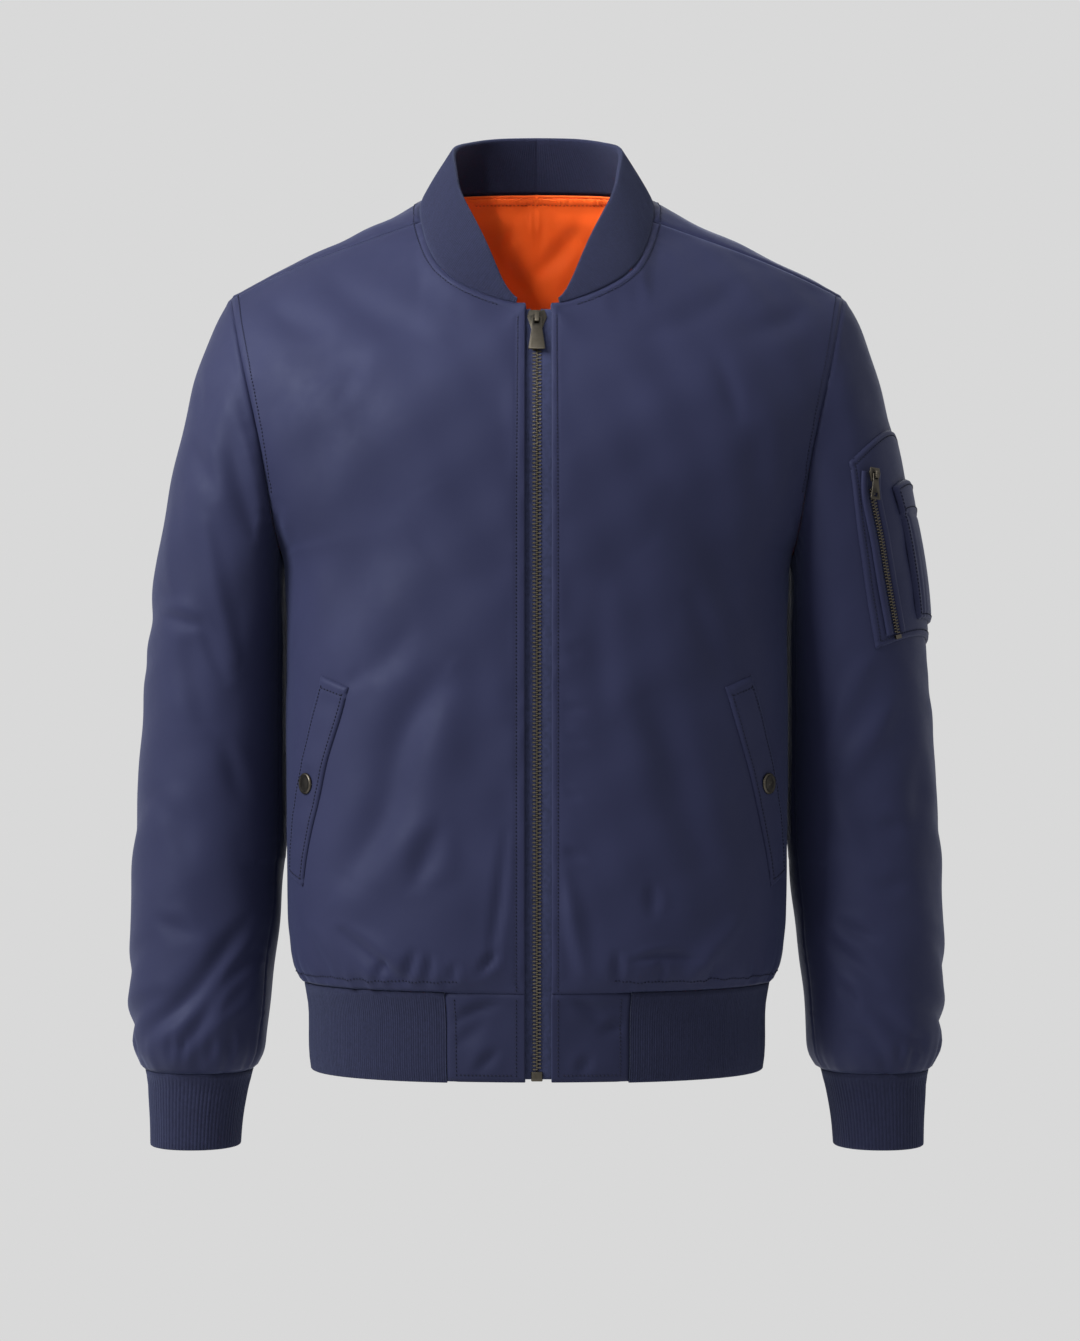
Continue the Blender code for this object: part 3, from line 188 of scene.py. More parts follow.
# Neck seam and the collar's top edge, wearer's left, from the front edge
# round to the centre back.
NECK = Table("at x y z top_x top_y top_z", [
    (0.0, 0.0110, -0.0885, -0.0815, 0.0110, -0.0885, -0.0800),
    (0.2, 0.0170, -0.0880, -0.0810, 0.0165, -0.0878, -0.0785),
    (1.0, 0.0556, -0.0800, -0.0661, 0.0365, -0.0750, -0.0402),
    (2.0, 0.0794, -0.0560, -0.0415, 0.0574, -0.0420, 0.0040),
    (3.0, 0.0868, -0.0300, -0.0205, 0.0636, -0.0160, 0.0285),
    (4.0, 0.0900, -0.0020, 0.0000, 0.0652, 0.0110, 0.0462),
    (5.0, 0.0835, 0.0380, 0.0135, 0.0545, 0.0340, 0.0542),
    (6.0, 0.0540, 0.0690, 0.0205, 0.0345, 0.0515, 0.0594),
    (7.0, 0.0000, 0.0800, 0.0225, 0.0000, 0.0590, 0.0612),
])
COLLAR_START = 0.2
SHOULDER_SEAM_NECK = 3.40      # where the shoulder seam leaves the neck seam
SHOULDER_SEAM_ARM = 3.88       # and where it meets the armhole
BUST_ARM = 1.55                # armhole point level with the front neck
BLADE_ARM = 6.45               # armhole point level with the back neck

# Sleeve sections from the armhole to the cuff seam, wearer's left: the outer
# and inner ends of each section, its centre from front to back, half depth.
SLEEVE = Table("at outer_x outer_z inner_x inner_z centre_y half_depth", [
    (0.0, 0.2345, -0.0680, 0.1945, -0.2680, 0.0060, 0.0710),
    (0.5, 0.2490, -0.0935, 0.1950, -0.2830, 0.0080, 0.0745),
    (1.1, 0.2625, -0.1300, 0.1948, -0.2990, 0.0110, 0.0770),
    (2.0, 0.2745, -0.1780, 0.1946, -0.3170, 0.0150, 0.0780),
    (3.0, 0.2855, -0.2320, 0.1942, -0.3400, 0.0200, 0.0775),
    (4.1, 0.2950, -0.2900, 0.1940, -0.3730, 0.0250, 0.0760),
    (5.4, 0.3025, -0.3600, 0.1935, -0.4170, 0.0290, 0.0740),
    (6.7, 0.3073, -0.4300, 0.1932, -0.4660, 0.0280, 0.0720),
    (8.0, 0.3112, -0.5000, 0.1957, -0.5160, 0.0230, 0.0700),
    (9.1, 0.3127, -0.5600, 0.2009, -0.5670, 0.0160, 0.0670),
    (10.0, 0.3118, -0.6060, 0.2052, -0.6080, 0.0090, 0.0625),
    (10.5, 0.3098, -0.6330, 0.2080, -0.6340, 0.0050, 0.0575),
    (10.8, 0.3065, -0.6490, 0.2108, -0.6495, 0.0030, 0.0515),
    (11.0, 0.3000, -0.6595, 0.2172, -0.6595, 0.0020, 0.0440),
])
SLEEVE_END = 11.0
SLEEVE_SECTION = 2.15          # squareness of the sleeve's sections
HEAD_FADE = 3.0                # the armhole's own shape fades out by this section

CUFF = Table("at outer_x outer_z inner_x inner_z centre_y half_depth", [
    (0.0, 0.3000, -0.6595, 0.2172, -0.6595, 0.0020, 0.0440),
    (0.2, 0.2987, -0.6645, 0.2188, -0.6645, 0.0015, 0.0420),
    (1.0, 0.2972, -0.6760, 0.2218, -0.6760, 0.0000, 0.0400),
    (2.0, 0.2958, -0.6950, 0.2250, -0.6950, -0.0030, 0.0387),
    (3.0, 0.2950, -0.7150, 0.2266, -0.7150, -0.0060, 0.0382),
])
CUFF_END = 3.0


def ease(t):
    t = np.clip(t, 0, 1)
    return t * t * (3 - 2 * t)


# ------------------------------------------------------------------ torso surface
NECK_X = NECK.at("x", 4.0)[0]
TIP_X, TIP_Z = ARMHOLE.at("x", 4.0)[0], ARMHOLE.at("z", 4.0)[0]


def ridge_z(x, rise):
    """Height of the shoulder line; inside the neck it rises as the neck does."""
    across = np.clip((x - NECK_X) / (TIP_X - NECK_X), 0, 1.2)
    out = TIP_Z * across + RIDGE_BULGE * np.sin(np.pi * np.clip(across, 0, 1) ** 1.35)
    neck = rise * (1 - (np.clip(x, 0, NECK_X) / NECK_X) ** 1.5)
    return np.where(x < NECK_X, neck, out)


def torso_y(x, z, front):
    """Depth of the torso's surface at a width and a height."""
    half, fore, edge, aft, mid = TORSO.at(
        "half_width front_depth edge_depth back_depth side_y", z).T
    fore = fore + (edge - fore) * np.exp(-(x / EDGE_STIFF) ** 2)
    flank = np.clip(1 - (np.abs(x) / half) ** SECTION, 0, 1) ** (1 / SECTION)
    drop = ridge_z(np.abs(x), 0.070 if front else 0.142) - z
    over = np.sin(np.pi / 2 * np.clip(drop / (0.150 if front else 0.120), 0, 1) ** 0.6)
    return mid - fore * flank * over if front else mid + aft * flank * over


def torso_row(left, right, shares, front, bow=0.0):
    """One row of a panel from its inner to its outer end, on the surface."""
    t = np.linspace(0, 1, 241)
    half = TORSO.at("half_width", right[2])[0]
    turn = math.asin(min(1.0, right[0] / half))
    w = np.sin(turn * t) / math.sin(turn)
    x = left[0] + (right[0] - left[0]) * w
    z = left[2] + (right[2] - left[2]) * w + bow * np.sin(np.pi * w ** 1.35)
    y = torso_y(x, z, front)
    y = y + (left[1] - y[0]) * (1 - w) ** 2 + (right[1] - y[-1]) * w ** 7
    p = np.stack([x, y, z], 1)
    run = np.concatenate([[0], np.cumsum(np.linalg.norm(np.diff(p, axis=0), axis=1))])
    run /= run[-1]
    return np.stack([np.interp(shares, run, p[:, k]) for k in range(3)], 1)


def span(a, b, n, bend=1.0):
    """n steps from a to b, closer together near a when bend is over 1."""
    return a + (b - a) * np.linspace(0, 1, n + 1) ** bend


class Counts:
    """How finely each piece is divided."""

    def __init__(self, cols, flank, chest, yoke, over, back_flank, back_chest,
                 sleeve, band, neck):
        self.cols = cols                  # across half a panel
        self.flank = flank                # rows from the hem seam to the armpit
        self.chest = chest                # rows from there to the front neck
        self.yoke = yoke                  # rows along the neck to the shoulder seam
        self.over = over                  # rows from that seam to the shoulder line
        self.back_chest = back_flank      # the same on the back
        self.back_yoke = back_chest
        self.sleeve = sleeve              # rows down the sleeve
        self.band = band                  # rows of the knit band and cuffs
        self.neck = neck                  # rows up the collar


def shares_of(counts):
    """Where the columns fall across half a panel, closer at both edges."""
    near = np.array([0, .0045, .009, .0135, .018, .0225, .027, .0315, .038, .046])
    return np.concatenate([near, np.linspace(.056, .982, counts.cols - 14), [.9865, .9905, .994, .997, 1.0]])


def flank_rows(counts):
    return span(HEM_SEAM_Z, ARMPIT_Z, counts.flank, 1.35)


def front_grid(counts, edge):
    """Half front, from the hem seam to the shoulder line; rows then columns."""
    u = shares_of(counts)
    rows = []
    sides = flank_rows(counts)
    for z in sides:
        share = (z - HEM_SEAM_Z) / (ARMPIT_Z - HEM_SEAM_Z)
        mid = HEM_SEAM_Z + (CHEST_Z - HEM_SEAM_Z) * share
        left = (edge, torso_y(np.array([edge]), np.array([mid]), True)[0], mid)
        half, side = TORSO.at("half_width side_y", z)[0]
        if z == sides[-1]:
            right = ARMHOLE.at("x y z", 0)[0]
        else:
            right = (half, side, z)
        rows.append(torso_row(left, right, u, True))
    arm = span(0, BUST_ARM, counts.chest)[1:]
    mids = span(CHEST_Z, NECK_FRONT_Z, counts.chest)[1:]
    neck0 = neck_point(0.0, edge)
    for a, mid in zip(arm, mids):
        left = (edge, torso_y(np.array([edge]), np.array([mid]), True)[0], mid)
        if mid == mids[-1]:
            left = neck0
        rows.append(torso_row(left, ARMHOLE.at("x y z", a)[0], u, True))
    for k, a in zip(neck_front_stops(counts)[1:], span(BUST_ARM, SHOULDER_SEAM_ARM, counts.yoke)[1:]):
        bow = RIDGE_BULGE * ease((a - BUST_ARM) / (4 - BUST_ARM))
        rows.append(torso_row(neck_point(k, edge), ARMHOLE.at("x y z", a)[0], u, True, bow))
    seam_row = len(rows) - 1
    for k, a in zip(span(SHOULDER_SEAM_NECK, 4, counts.over)[1:],
                    span(SHOULDER_SEAM_ARM, 4, counts.over)[1:]):
        bow = RIDGE_BULGE * ease((a - BUST_ARM) / (4 - BUST_ARM))
        rows.append(torso_row(neck_point(k, edge), ARMHOLE.at("x y z", a)[0], u, True, bow))
    return np.array(rows), seam_row


def neck_front_stops(counts):
    first = COLLAR_START
    return np.concatenate([[0.0], span(first, SHOULDER_SEAM_NECK, counts.yoke - 1)])


def neck_point(k, edge=EDGE_LEFT):
    p = NECK.at("x y z", k)[0]
    p[0] += (edge - EDGE_LEFT) * max(0.0, 1 - k / 0.6)
    return p


def back_grid(counts):
    """Half back, from the hem seam to the shoulder line; centre back first."""
    u = shares_of(counts)
    rows = []
    sides = flank_rows(counts)
    for z in sides:
        share = (z - HEM_SEAM_Z) / (ARMPIT_Z - HEM_SEAM_Z)
        mid = HEM_SEAM_Z + (CHEST_Z - HEM_SEAM_Z) * share
        left = (0.0, torso_y(np.zeros(1), np.array([mid]), False)[0], mid)
        half, side = TORSO.at("half_width side_y", z)[0]
        right = ARMHOLE.at("x y z", 0)[0] if z == sides[-1] else (half, side, z)
        rows.append(torso_row(left, right, u, False))
    neck = NECK.at("x y z", 7)[0]
    for a, mid in zip(span(8, BLADE_ARM, counts.back_chest)[1:],
                      span(CHEST_Z, NECK_BACK_Z, counts.back_chest)[1:]):
        left = (0.0, torso_y(np.zeros(1), np.array([mid]), False)[0], mid)
        fit = (mid - CHEST_Z) / (NECK_BACK_Z - CHEST_Z)
        left = (0.0, left[1] + (neck[1] - torso_y(np.zeros(1), neck[2:], False)[0]) * fit ** 3, mid)
        rows.append(torso_row(left, ARMHOLE.at("x y z", a)[0], u, False))
    return np.array(rows + list(yoke_rows(rows[-1], u, counts)))


def yoke_rows(low, u, counts):
    """Rows of the back's shoulder, spread between four curves: the row below,
    the neck seam, the armhole and the shoulder line."""
    top = torso_row(NECK.at("x y z", 4)[0], ARMHOLE.at("x y z", 4)[0], u, True, RIDGE_BULGE)
    s = np.linspace(0, 1, counts.back_yoke + 1)[1:, None, None]
    neck = NECK.at("x y z", span(7, 4, counts.back_yoke)[1:])[:, None, :]
    arm = ARMHOLE.at("x y z", span(BLADE_ARM, 4, counts.back_yoke)[1:])[:, None, :]
    w = u[None, :, None]
    across = (1 - s) * low + s * top
    along = (1 - w) * neck + w * arm
    corners = (1 - s) * ((1 - w) * low[0] + w * low[-1]) + s * ((1 - w) * top[0] + w * top[-1])
    return across + along - corners


def hem_rows(row, front, n):
    """The knit band's rows below one row of the hem seam."""
    out = [row]
    top = HEM.at("half_width front_depth edge_depth back_depth", HEM_SEAM_Z)[0]
    near = np.exp(-(row[:, 0] / EDGE_STIFF) ** 2) if front else 0 * row[:, 0]
    for z in span(HEM_SEAM_Z, HEM_Z, n)[1:]:
        wide, fore, edge, aft = HEM.at(
            "half_width front_depth edge_depth back_depth", z)[0] / top
        deep = fore + (edge - fore) * near if front else aft
        out.append(np.stack([row[:, 0] * (wide + (1 - wide) * near), row[:, 1] * deep,
                             np.full(len(row), z)], 1))
    return np.array(out)


# ------------------------------------------------------------------ sleeve surface
def tube_point(table, squareness, at, angle):
    """Point of a sleeve or cuff; the angle runs from the inside (0) by the
    front (a quarter turn) to the outside (half a turn) and round the back."""
    at, angle = np.broadcast_arrays(np.asarray(at, float), np.asarray(angle, float))
    s = table.at("outer_x outer_z inner_x inner_z centre_y half_depth", at.ravel())
    a = angle.ravel()
    c, d = np.cos(a), np.sin(a)
    c = np.sign(c) * np.abs(c) ** (2 / squareness)
    d = np.sign(d) * np.abs(d) ** (2 / squareness)
    x = (s[:, 0] + s[:, 2]) / 2 - (s[:, 0] - s[:, 2]) / 2 * c
    z = (s[:, 1] + s[:, 3]) / 2 - (s[:, 1] - s[:, 3]) / 2 * c
    y = s[:, 4] - s[:, 5] * d
    return np.stack([x, y, z], 1).reshape(at.shape + (3,))


def sleeve_point(at, ring):
    """Point of the left sleeve; ring is the armhole position, 0 to 8."""
    at, ring = np.broadcast_arrays(np.asarray(at, float), np.asarray(ring, float))
    p = tube_point(SLEEVE, SLEEVE_SECTION, at, ring * np.pi / 4)
    start = tube_point(SLEEVE, SLEEVE_SECTION, np.zeros_like(ring), ring * np.pi / 4)
    own = ARMHOLE.at("x y z", ring.ravel()).reshape(ring.shape + (3,))
    fade = (1 - ease(at / HEAD_FADE))[..., None]
    return p + (own - start) * fade


def ring_stops(counts):
    """Armhole positions of all the rows that end on it, front then back."""
    front = np.concatenate([span(0, BUST_ARM, counts.chest),
                            span(BUST_ARM, SHOULDER_SEAM_ARM, counts.yoke)[1:],
                            span(SHOULDER_SEAM_ARM, 4, counts.over)[1:]])
    back = np.concatenate([span(8, BLADE_ARM, counts.back_chest),
                           span(BLADE_ARM, 4, counts.back_yoke)[1:]])
    return np.concatenate([front, back[::-1][1:-1]])


def sleeve_stops(counts):
    t = np.linspace(0, 1, counts.sleeve + 1)
    return SLEEVE_END * (t + 0.035 * np.sin(2 * np.pi * t))


def sleeve_grid(counts):
    """Left sleeve: rows down from the armhole, columns round it (closed)."""
    ring = ring_stops(counts)
    at = sleeve_stops(counts)
    grid = sleeve_point(at[:, None], ring[None, :])
    last = tube_point(SLEEVE, SLEEVE_SECTION, SLEEVE_END, ring * np.pi / 4)
    grid[-1] = last
    return grid


def cuff_grid(counts):
    ring = ring_stops(counts)
    at = span(0, CUFF_END, counts.band)
    grid = tube_point(CUFF, SLEEVE_SECTION, at[:, None], ring[None, :] * np.pi / 4)
    grid[0] = tube_point(SLEEVE, SLEEVE_SECTION, SLEEVE_END, ring * np.pi / 4)
    return grid


# ------------------------------------------------------------------ collar surface
def collar_stops(counts):
    """Neck positions of all the rows that end on the neck seam."""
    front = neck_front_stops(counts)[1:]
    over = span(SHOULDER_SEAM_NECK, 4, counts.over)[1:]
    back = span(7, 4, counts.back_yoke)[::-1][1:]
    return np.concatenate([front, over, back])


def collar_grid(counts, edge):
    """Half collar: rows up from the neck seam, columns to the centre back."""
    stops = collar_stops(counts)
    low = np.array([neck_point(k, edge) if k < 4 else NECK.at("x y z", k)[0] for k in stops])
    top = NECK.at("top_x top_y top_z", stops)
    top[:, 0] += (edge - EDGE_LEFT) * np.maximum(0, 1 - stops / 0.6)
    rise = top - low
    along = np.gradient(low, axis=0)
    along[-1] = (-1, 0, 0)
    out = np.cross(along, rise)
    out /= np.linalg.norm(out, axis=1)[:, None]
    height = np.linalg.norm(rise, axis=1)
    rows = []
    for t in np.linspace(0, 1, counts.neck + 1):
        swell = 0.02 * height * math.sin(math.pi * t ** 0.8)
        rows.append(low + rise * t + out * swell[:, None])
    return np.array(rows)


# ------------------------------------------------------------------ cloth walls
INNER = [0, 3, 2, 1]    # a face turned over, split along the same diagonal


class Sheet:
    """The outer surface of one piece: points and four-sided faces."""

    def __init__(self, name, wall, grids):
        self.name, self.wall = name, wall
        points, faces, base = [], [], 0
        for grid, closed, flip in grids:
            r, c = grid.shape[:2]
            idx = base + np.arange(r * c).reshape(r, c)
            if closed:
                idx = np.hstack([idx, idx[:, :1]])
            quad = np.stack([idx[:-1, :-1], idx[:-1, 1:], idx[1:, 1:], idx[1:, :-1]], -1)
            quad = quad.reshape(-1, 4)
            faces.append(quad[:, INNER] if flip else quad)
            points.append(grid.reshape(-1, 3))
            base += r * c
        points = np.vstack(points)
        faces = np.vstack(faces)
        key = np.round(points, 6) + 0.0
        self.key, first, back = np.unique(key, axis=0, return_index=True, return_inverse=True)
        self.p = points[first]
        self.f = back.ravel()[faces]
        self.slot = back.ravel()
        self.n = vertex_normals(self.p, self.f)
        self.rim = boundary(self.f, len(self.p))


def vertex_normals(p, f):
    n = np.cross(p[f[:, 2]] - p[f[:, 0]], p[f[:, 3]] - p[f[:, 1]])
    out = np.zeros_like(p)
    for k in range(4):
        for a in range(3):
            out[:, a] += np.bincount(f[:, k], n[:, a], len(p))
    return out / np.maximum(np.linalg.norm(out, axis=1), 1e-12)[:, None]


def boundary(f, count):
    """Directed edges that only one face has."""
    a = f.ravel()
    b = np.roll(f, -1, axis=1).ravel()
    own = a.astype(np.int64) * count + b
    other = b.astype(np.int64) * count + a
    lone = ~np.isin(own, other) & (a != b)
    return np.stack([a[lone], b[lone]], 1)


def unit(v):
    return v / np.maximum(np.linalg.norm(v, axis=-1), 1e-12)[..., None]


class Garment:
    """All the pieces' surfaces, which share their points along the seams."""

    def __init__(self, sheets, leans):
        self.sheets = {s.name: s for s in sheets}
        share, edges = {}, {}
        for s in sheets:
            for v in np.unique(s.rim):
                share.setdefault(tuple(s.key[v]), []).append(s.n[v])
            for a, b in s.rim:
                pair = frozenset((tuple(s.key[a]), tuple(s.key[b])))
                edges[pair] = edges.get(pair, 0) + 1
        for k, lean in leans:
            k = tuple(np.round(k, 6) + 0.0)
            if k in share:
                share[k].append(lean)
        for s in sheets:
            s.move = np.zeros_like(s.p)
            into, out = {}, {}
            for a, b in s.rim:
                n = unit(sum(share[tuple(s.key[a])]))
                s.n[a] = n
            for a, b in s.rim:
                if edges[frozenset((tuple(s.key[a]), tuple(s.key[b])))] < 2:
                    continue
                t = unit(s.p[b] - s.p[a])
                for v in (a, b):
                    d = np.cross(s.n[v], t)
                    if np.linalg.norm(d) < 0.5:
                        m = s.inward(a, b)
                        d = m - t * np.dot(m, t)
                    d = unit(d)
                    into.setdefault(v, []).append(d)
            for v, ds in into.items():
                if len(ds) == 1:
                    s.move[v] = SEAM * ds[0]
                else:
                    c = max(-0.5, float(np.dot(ds[0], ds[1])))
                    s.move[v] = SEAM * (ds[0] + ds[1]) / (1 + c)

    def wall(self, name):
        """Points and faces of the closed wall of one piece."""
        s = self.sheets[name]
        outer = s.p + s.move
        inner = outer - s.n * s.wall
        n = len(outer)
        return np.vstack([outer, inner]), np.vstack([s.f, s.f[:, INNER] + n, rim_faces(s)])


def rim_faces(s):
    """Faces that close a wall's edge; two walls that meet at a seam split
    them along the same diagonal, and so do mirrored pieces."""
    a, b = s.rim[:, 0], s.rim[:, 1]
    n = len(s.p)
    key = s.key * np.array([1, 1, 1])
    key[:, 0] = np.abs(key[:, 0])
    rank = np.empty(n, int)
    rank[np.lexsort((key[:, 2], key[:, 1], key[:, 0]))] = np.arange(n)
    swap = (rank[b] < rank[a])[:, None]
    return np.where(swap, np.stack([b, a, a + n, b + n], 1), np.stack([a, a + n, b + n, b], 1))


def _inward(self, a, b):
    """Direction from one edge towards the middle of its face."""
    has = np.any(self.f == a, axis=1) & np.any(self.f == b, axis=1)
    return self.p[self.f[has][0]].mean(axis=0) - (self.p[a] + self.p[b]) / 2


Sheet.inward = _inward


def flip_x(grid):
    return grid * np.array([-1.0, 1.0, 1.0])


def ring_leans(counts):
    """Outward directions in the plane of each armhole."""
    ring = ARMHOLE.at("x y z", ring_stops(counts))
    mid = ring.mean(axis=0)
    axis = unit(np.cross(ring[len(ring) // 4] - mid, ring[0] - mid))
    out = ring - mid
    out = unit(out - np.outer(out @ axis, axis)) * 0.8
    both = [(p, d) for p, d in zip(ring, out)]
    return both + [(flip_x(p), flip_x(d)) for p, d in zip(ring, out)]


def build_garment(counts):
    """Every main piece of cloth, with shared points along its seams."""
    sheets = []
    fronts, cut = {}, 0
    for side, edge in (("right", EDGE_RIGHT), ("left", EDGE_LEFT)):
        grid, cut = front_grid(counts, edge)
        fronts[side] = grid
    back = back_grid(counts)
    patch = int(np.argmin(np.abs(fronts["left"][0][:, 0] - PATCH)))
    sleeve, cuff = sleeve_grid(counts), cuff_grid(counts)
    backs, ribs, collars = [], [], []
    for side, sign in (("right", -1), ("left", 1)):
        turn = flip_x if sign < 0 else (lambda g: g)
        left = sign > 0
        front = fronts[side]
        low = hem_rows(front[0], True, counts.band)
        sheets.append(Sheet("front_" + side, SHELL, [(turn(front[:cut + 1]), False, not left)]))
        sheets.append(Sheet("hem_patch_" + side, SHELL,
                            [(turn(low[:, :patch + 1]), False, left)]))
        ribs.append((turn(low[:, patch:]), False, left))
        ribs.append((turn(hem_rows(back[0], False, counts.band)), False, not left))
        backs.append((turn(back), False, left))
        backs.append((turn(front[cut:]), False, not left))
        sheets.append(Sheet("sleeve_" + side, SHELL, [(turn(sleeve), True, left)]))
        sheets.append(Sheet("cuff_" + side, RIB, [(turn(cuff), True, left)]))
        collars.append((turn(collar_grid(counts, EDGE_RIGHT if sign < 0 else EDGE_LEFT)),
                        False, not left))
    sheets.append(Sheet("back", SHELL, backs))
    sheets.append(Sheet("hem_rib", RIB, ribs))
    sheets.append(Sheet("collar", COLLAR, collars))
    return Garment(sheets, ring_leans(counts))


# ------------------------------------------------------------------ pieces that lie on the cloth
# Hand-pocket welt, wearer's left, from its top to its bottom end.
WELT = Table("at inner_x inner_z outer_x outer_z", [
    (0, 0.1390, -0.3668, 0.1597, -0.3580),
    (1, 0.1462, -0.3930, 0.1680, -0.3870),
    (2, 0.1543, -0.4195, 0.1743, -0.4140),
    (3, 0.1613, -0.4482, 0.1801, -0.4420),
    (4, 0.1670, -0.4720, 0.1838, -0.4690),
    (5, 0.1716, -0.4960, 0.1850, -0.4910),
    (6, 0.1746, -0.5158, 0.1853, -0.5077),
])
SNAP = (0.1701, -0.4386)       # width and height of a snap's centre

# Sleeve pocket: its front and outer edges, in sleeve sections and armhole
# positions, from the top down.
POCKET = Table("at front_at front_ring outer_at outer_ring", [
    (0, 1.00, 2.44, 2.20, 4.25),
    (1, 2.10, 2.17, 3.05, 4.25),
    (2, 3.30, 2.12, 3.98, 4.25),
    (3, 4.42, 2.20, 4.98, 4.25),
])
PEN = Table("at front_at front_ring outer_at outer_ring", [
    (0, 2.33, 2.98, 2.66, 4.05),
    (1, 3.05, 3.05, 3.35, 4.05),
    (2, 3.80, 3.08, 4.05, 4.05),
    (3, 4.42, 3.10, 4.66, 4.00),
])
# Sleeve zip: the middle of its chain, from the slider to the bottom stop.
SLEEVE_ZIP = Table("at section ring", [
    (0, 1.62, 2.66),
    (1, 2.10, 2.50),
    (2, 3.20, 2.47),
    (3, 4.38, 2.56),
])


def welt_grid(rows, cols, lift, pad=0.0):
    """Points of the left welt, lifted off the front's surface; also normals."""
    r = WELT.at("inner_x inner_z outer_x outer_z", np.linspace(0, 6, rows + 1))
    t = np.linspace(0, 1, cols + 1)[None, :]
    x = r[:, :1] + (r[:, 2:3] - r[:, :1]) * t
    z = r[:, 1:2] + (r[:, 3:4] - r[:, 1:2]) * t
    p = front_surface(x, z)
    n = front_normal(x, z)
    return p + n * lift, n


def front_surface(x, z):
    x, z = np.broadcast_arrays(x, z)
    return np.stack([x, torso_y(x.ravel(), z.ravel(), True).reshape(x.shape), z], -1)


def front_normal(x, z, step=0.0008):
    a = front_surface(x + step, z) - front_surface(x - step, z)
    b = front_surface(x, z + step) - front_surface(x, z - step)
    return unit(np.cross(a, b))


def sleeve_normal(at, ring, step=0.02):
    a = sleeve_point(at + step, ring) - sleeve_point(at - step, ring)
    b = sleeve_point(at, ring + step) - sleeve_point(at, ring - step)
    return unit(np.cross(a, b))


def pocket_grid(table, rows, cols, lift):
    """Points of a pocket on the left sleeve, lifted off it; also normals."""
    r = table.at("front_at front_ring outer_at outer_ring", np.linspace(0, 3, rows + 1))
    t = np.linspace(0, 1, cols + 1)[None, :]
    at = r[:, :1] + (r[:, 2:3] - r[:, :1]) * t
    ring = r[:, 1:2] + (r[:, 3:4] - r[:, 1:2]) * t
    n = sleeve_normal(at, ring)
    return sleeve_point(at, ring) + n * lift, n


def zip_edge_y(z):
    """Depth of the front edges' outer face at a height, band included."""
    z = np.atleast_1d(np.asarray(z, float))
    up = torso_y(np.full(len(z), 0.010), np.maximum(z, HEM_SEAM_Z), True)
    low = HEM.at("edge_depth", np.minimum(z, HEM_SEAM_Z))
    top = HEM.at("edge_depth", HEM_SEAM_Z)[0]
    seam = torso_y(np.array([0.010]), np.array([HEM_SEAM_Z]), True)[0]
    return np.where(z < HEM_SEAM_Z, seam * low / top, up)


# ================================================================== looks
ROOT = "jacket"
rng = np.random.default_rng(7)


# ------------------------------------------------------------------ materials
def material(name, color, roughness, metallic=0.0, sheen=0.0, sheen_rough=0.5, sheen_tint=(1, 1, 1),
             specular=0.5, coat=0.0):
    m = bpy.data.materials.new(name)
    m.use_nodes = True
    m.diffuse_color = (*color, 1)
    nt = m.node_tree
    b = nt.nodes["Principled BSDF"]
    b.inputs["Base Color"].default_value = (*color, 1)
    b.inputs["Roughness"].default_value = roughness
    b.inputs["Metallic"].default_value = metallic
    b.inputs["Sheen Weight"].default_value = sheen
    b.inputs["Sheen Roughness"].default_value = sheen_rough
    b.inputs["Sheen Tint"].default_value = (*sheen_tint, 1)
    b.inputs["Specular IOR Level"].default_value = specular
    b.inputs["Coat Weight"].default_value = coat
    return m, nt, b


def coords(nt, scale=(1, 1, 1), turn=(0, 0, 0)):
    tc = nt.nodes.new("ShaderNodeTexCoord")
    mp = nt.nodes.new("ShaderNodeMapping")
    mp.inputs["Scale"].default_value = scale
    mp.inputs["Rotation"].default_value = turn
    nt.links.new(tc.outputs["Object"], mp.inputs["Vector"])
    return mp.outputs["Vector"]


def noise(nt, where, scale, detail=3.0, rough=0.5, distort=0.0):
    n = nt.nodes.new("ShaderNodeTexNoise")
    n.inputs["Scale"].default_value = scale
    n.inputs["Detail"].default_value = detail
    n.inputs["Roughness"].default_value = rough
    n.inputs["Distortion"].default_value = distort
    nt.links.new(where, n.inputs["Vector"])
    return n.outputs["Fac"]


def waves(nt, where, scale, direction="DIAGONAL", distort=0.0, profile="SIN"):
    n = nt.nodes.new("ShaderNodeTexWave")
    n.wave_type = "BANDS"
    n.bands_direction = direction
    n.wave_profile = profile
    n.inputs["Scale"].default_value = scale
    n.inputs["Distortion"].default_value = distort
    n.inputs["Detail"].default_value = 1.0
    nt.links.new(where, n.inputs["Vector"])
    return n.outputs["Fac"]


def bump(nt, height, strength, distance, before=None):
    n = nt.nodes.new("ShaderNodeBump")
    n.inputs["Strength"].default_value = strength
    n.inputs["Distance"].default_value = distance
    nt.links.new(height, n.inputs["Height"])
    if before is not None:
        nt.links.new(before, n.inputs["Normal"])
    return n.outputs["Normal"]


def remap(nt, value, low, high, to_low, to_high):
    n = nt.nodes.new("ShaderNodeMapRange")
    for key, v in (("From Min", low), ("From Max", high), ("To Min", to_low), ("To Max", to_high)):
        n.inputs[key].default_value = v
    nt.links.new(value, n.inputs["Value"])
    return n.outputs["Result"]


def tint(nt, value, dark, light, low=0.3, high=0.7):
    n = nt.nodes.new("ShaderNodeValToRGB")
    n.color_ramp.elements[0].position = low
    n.color_ramp.elements[0].color = (*dark, 1)
    n.color_ramp.elements[1].position = high
    n.color_ramp.elements[1].color = (*light, 1)
    nt.links.new(value, n.inputs["Fac"])
    return n.outputs["Color"]


def shade(color, k):
    return tuple(c * k for c in color)


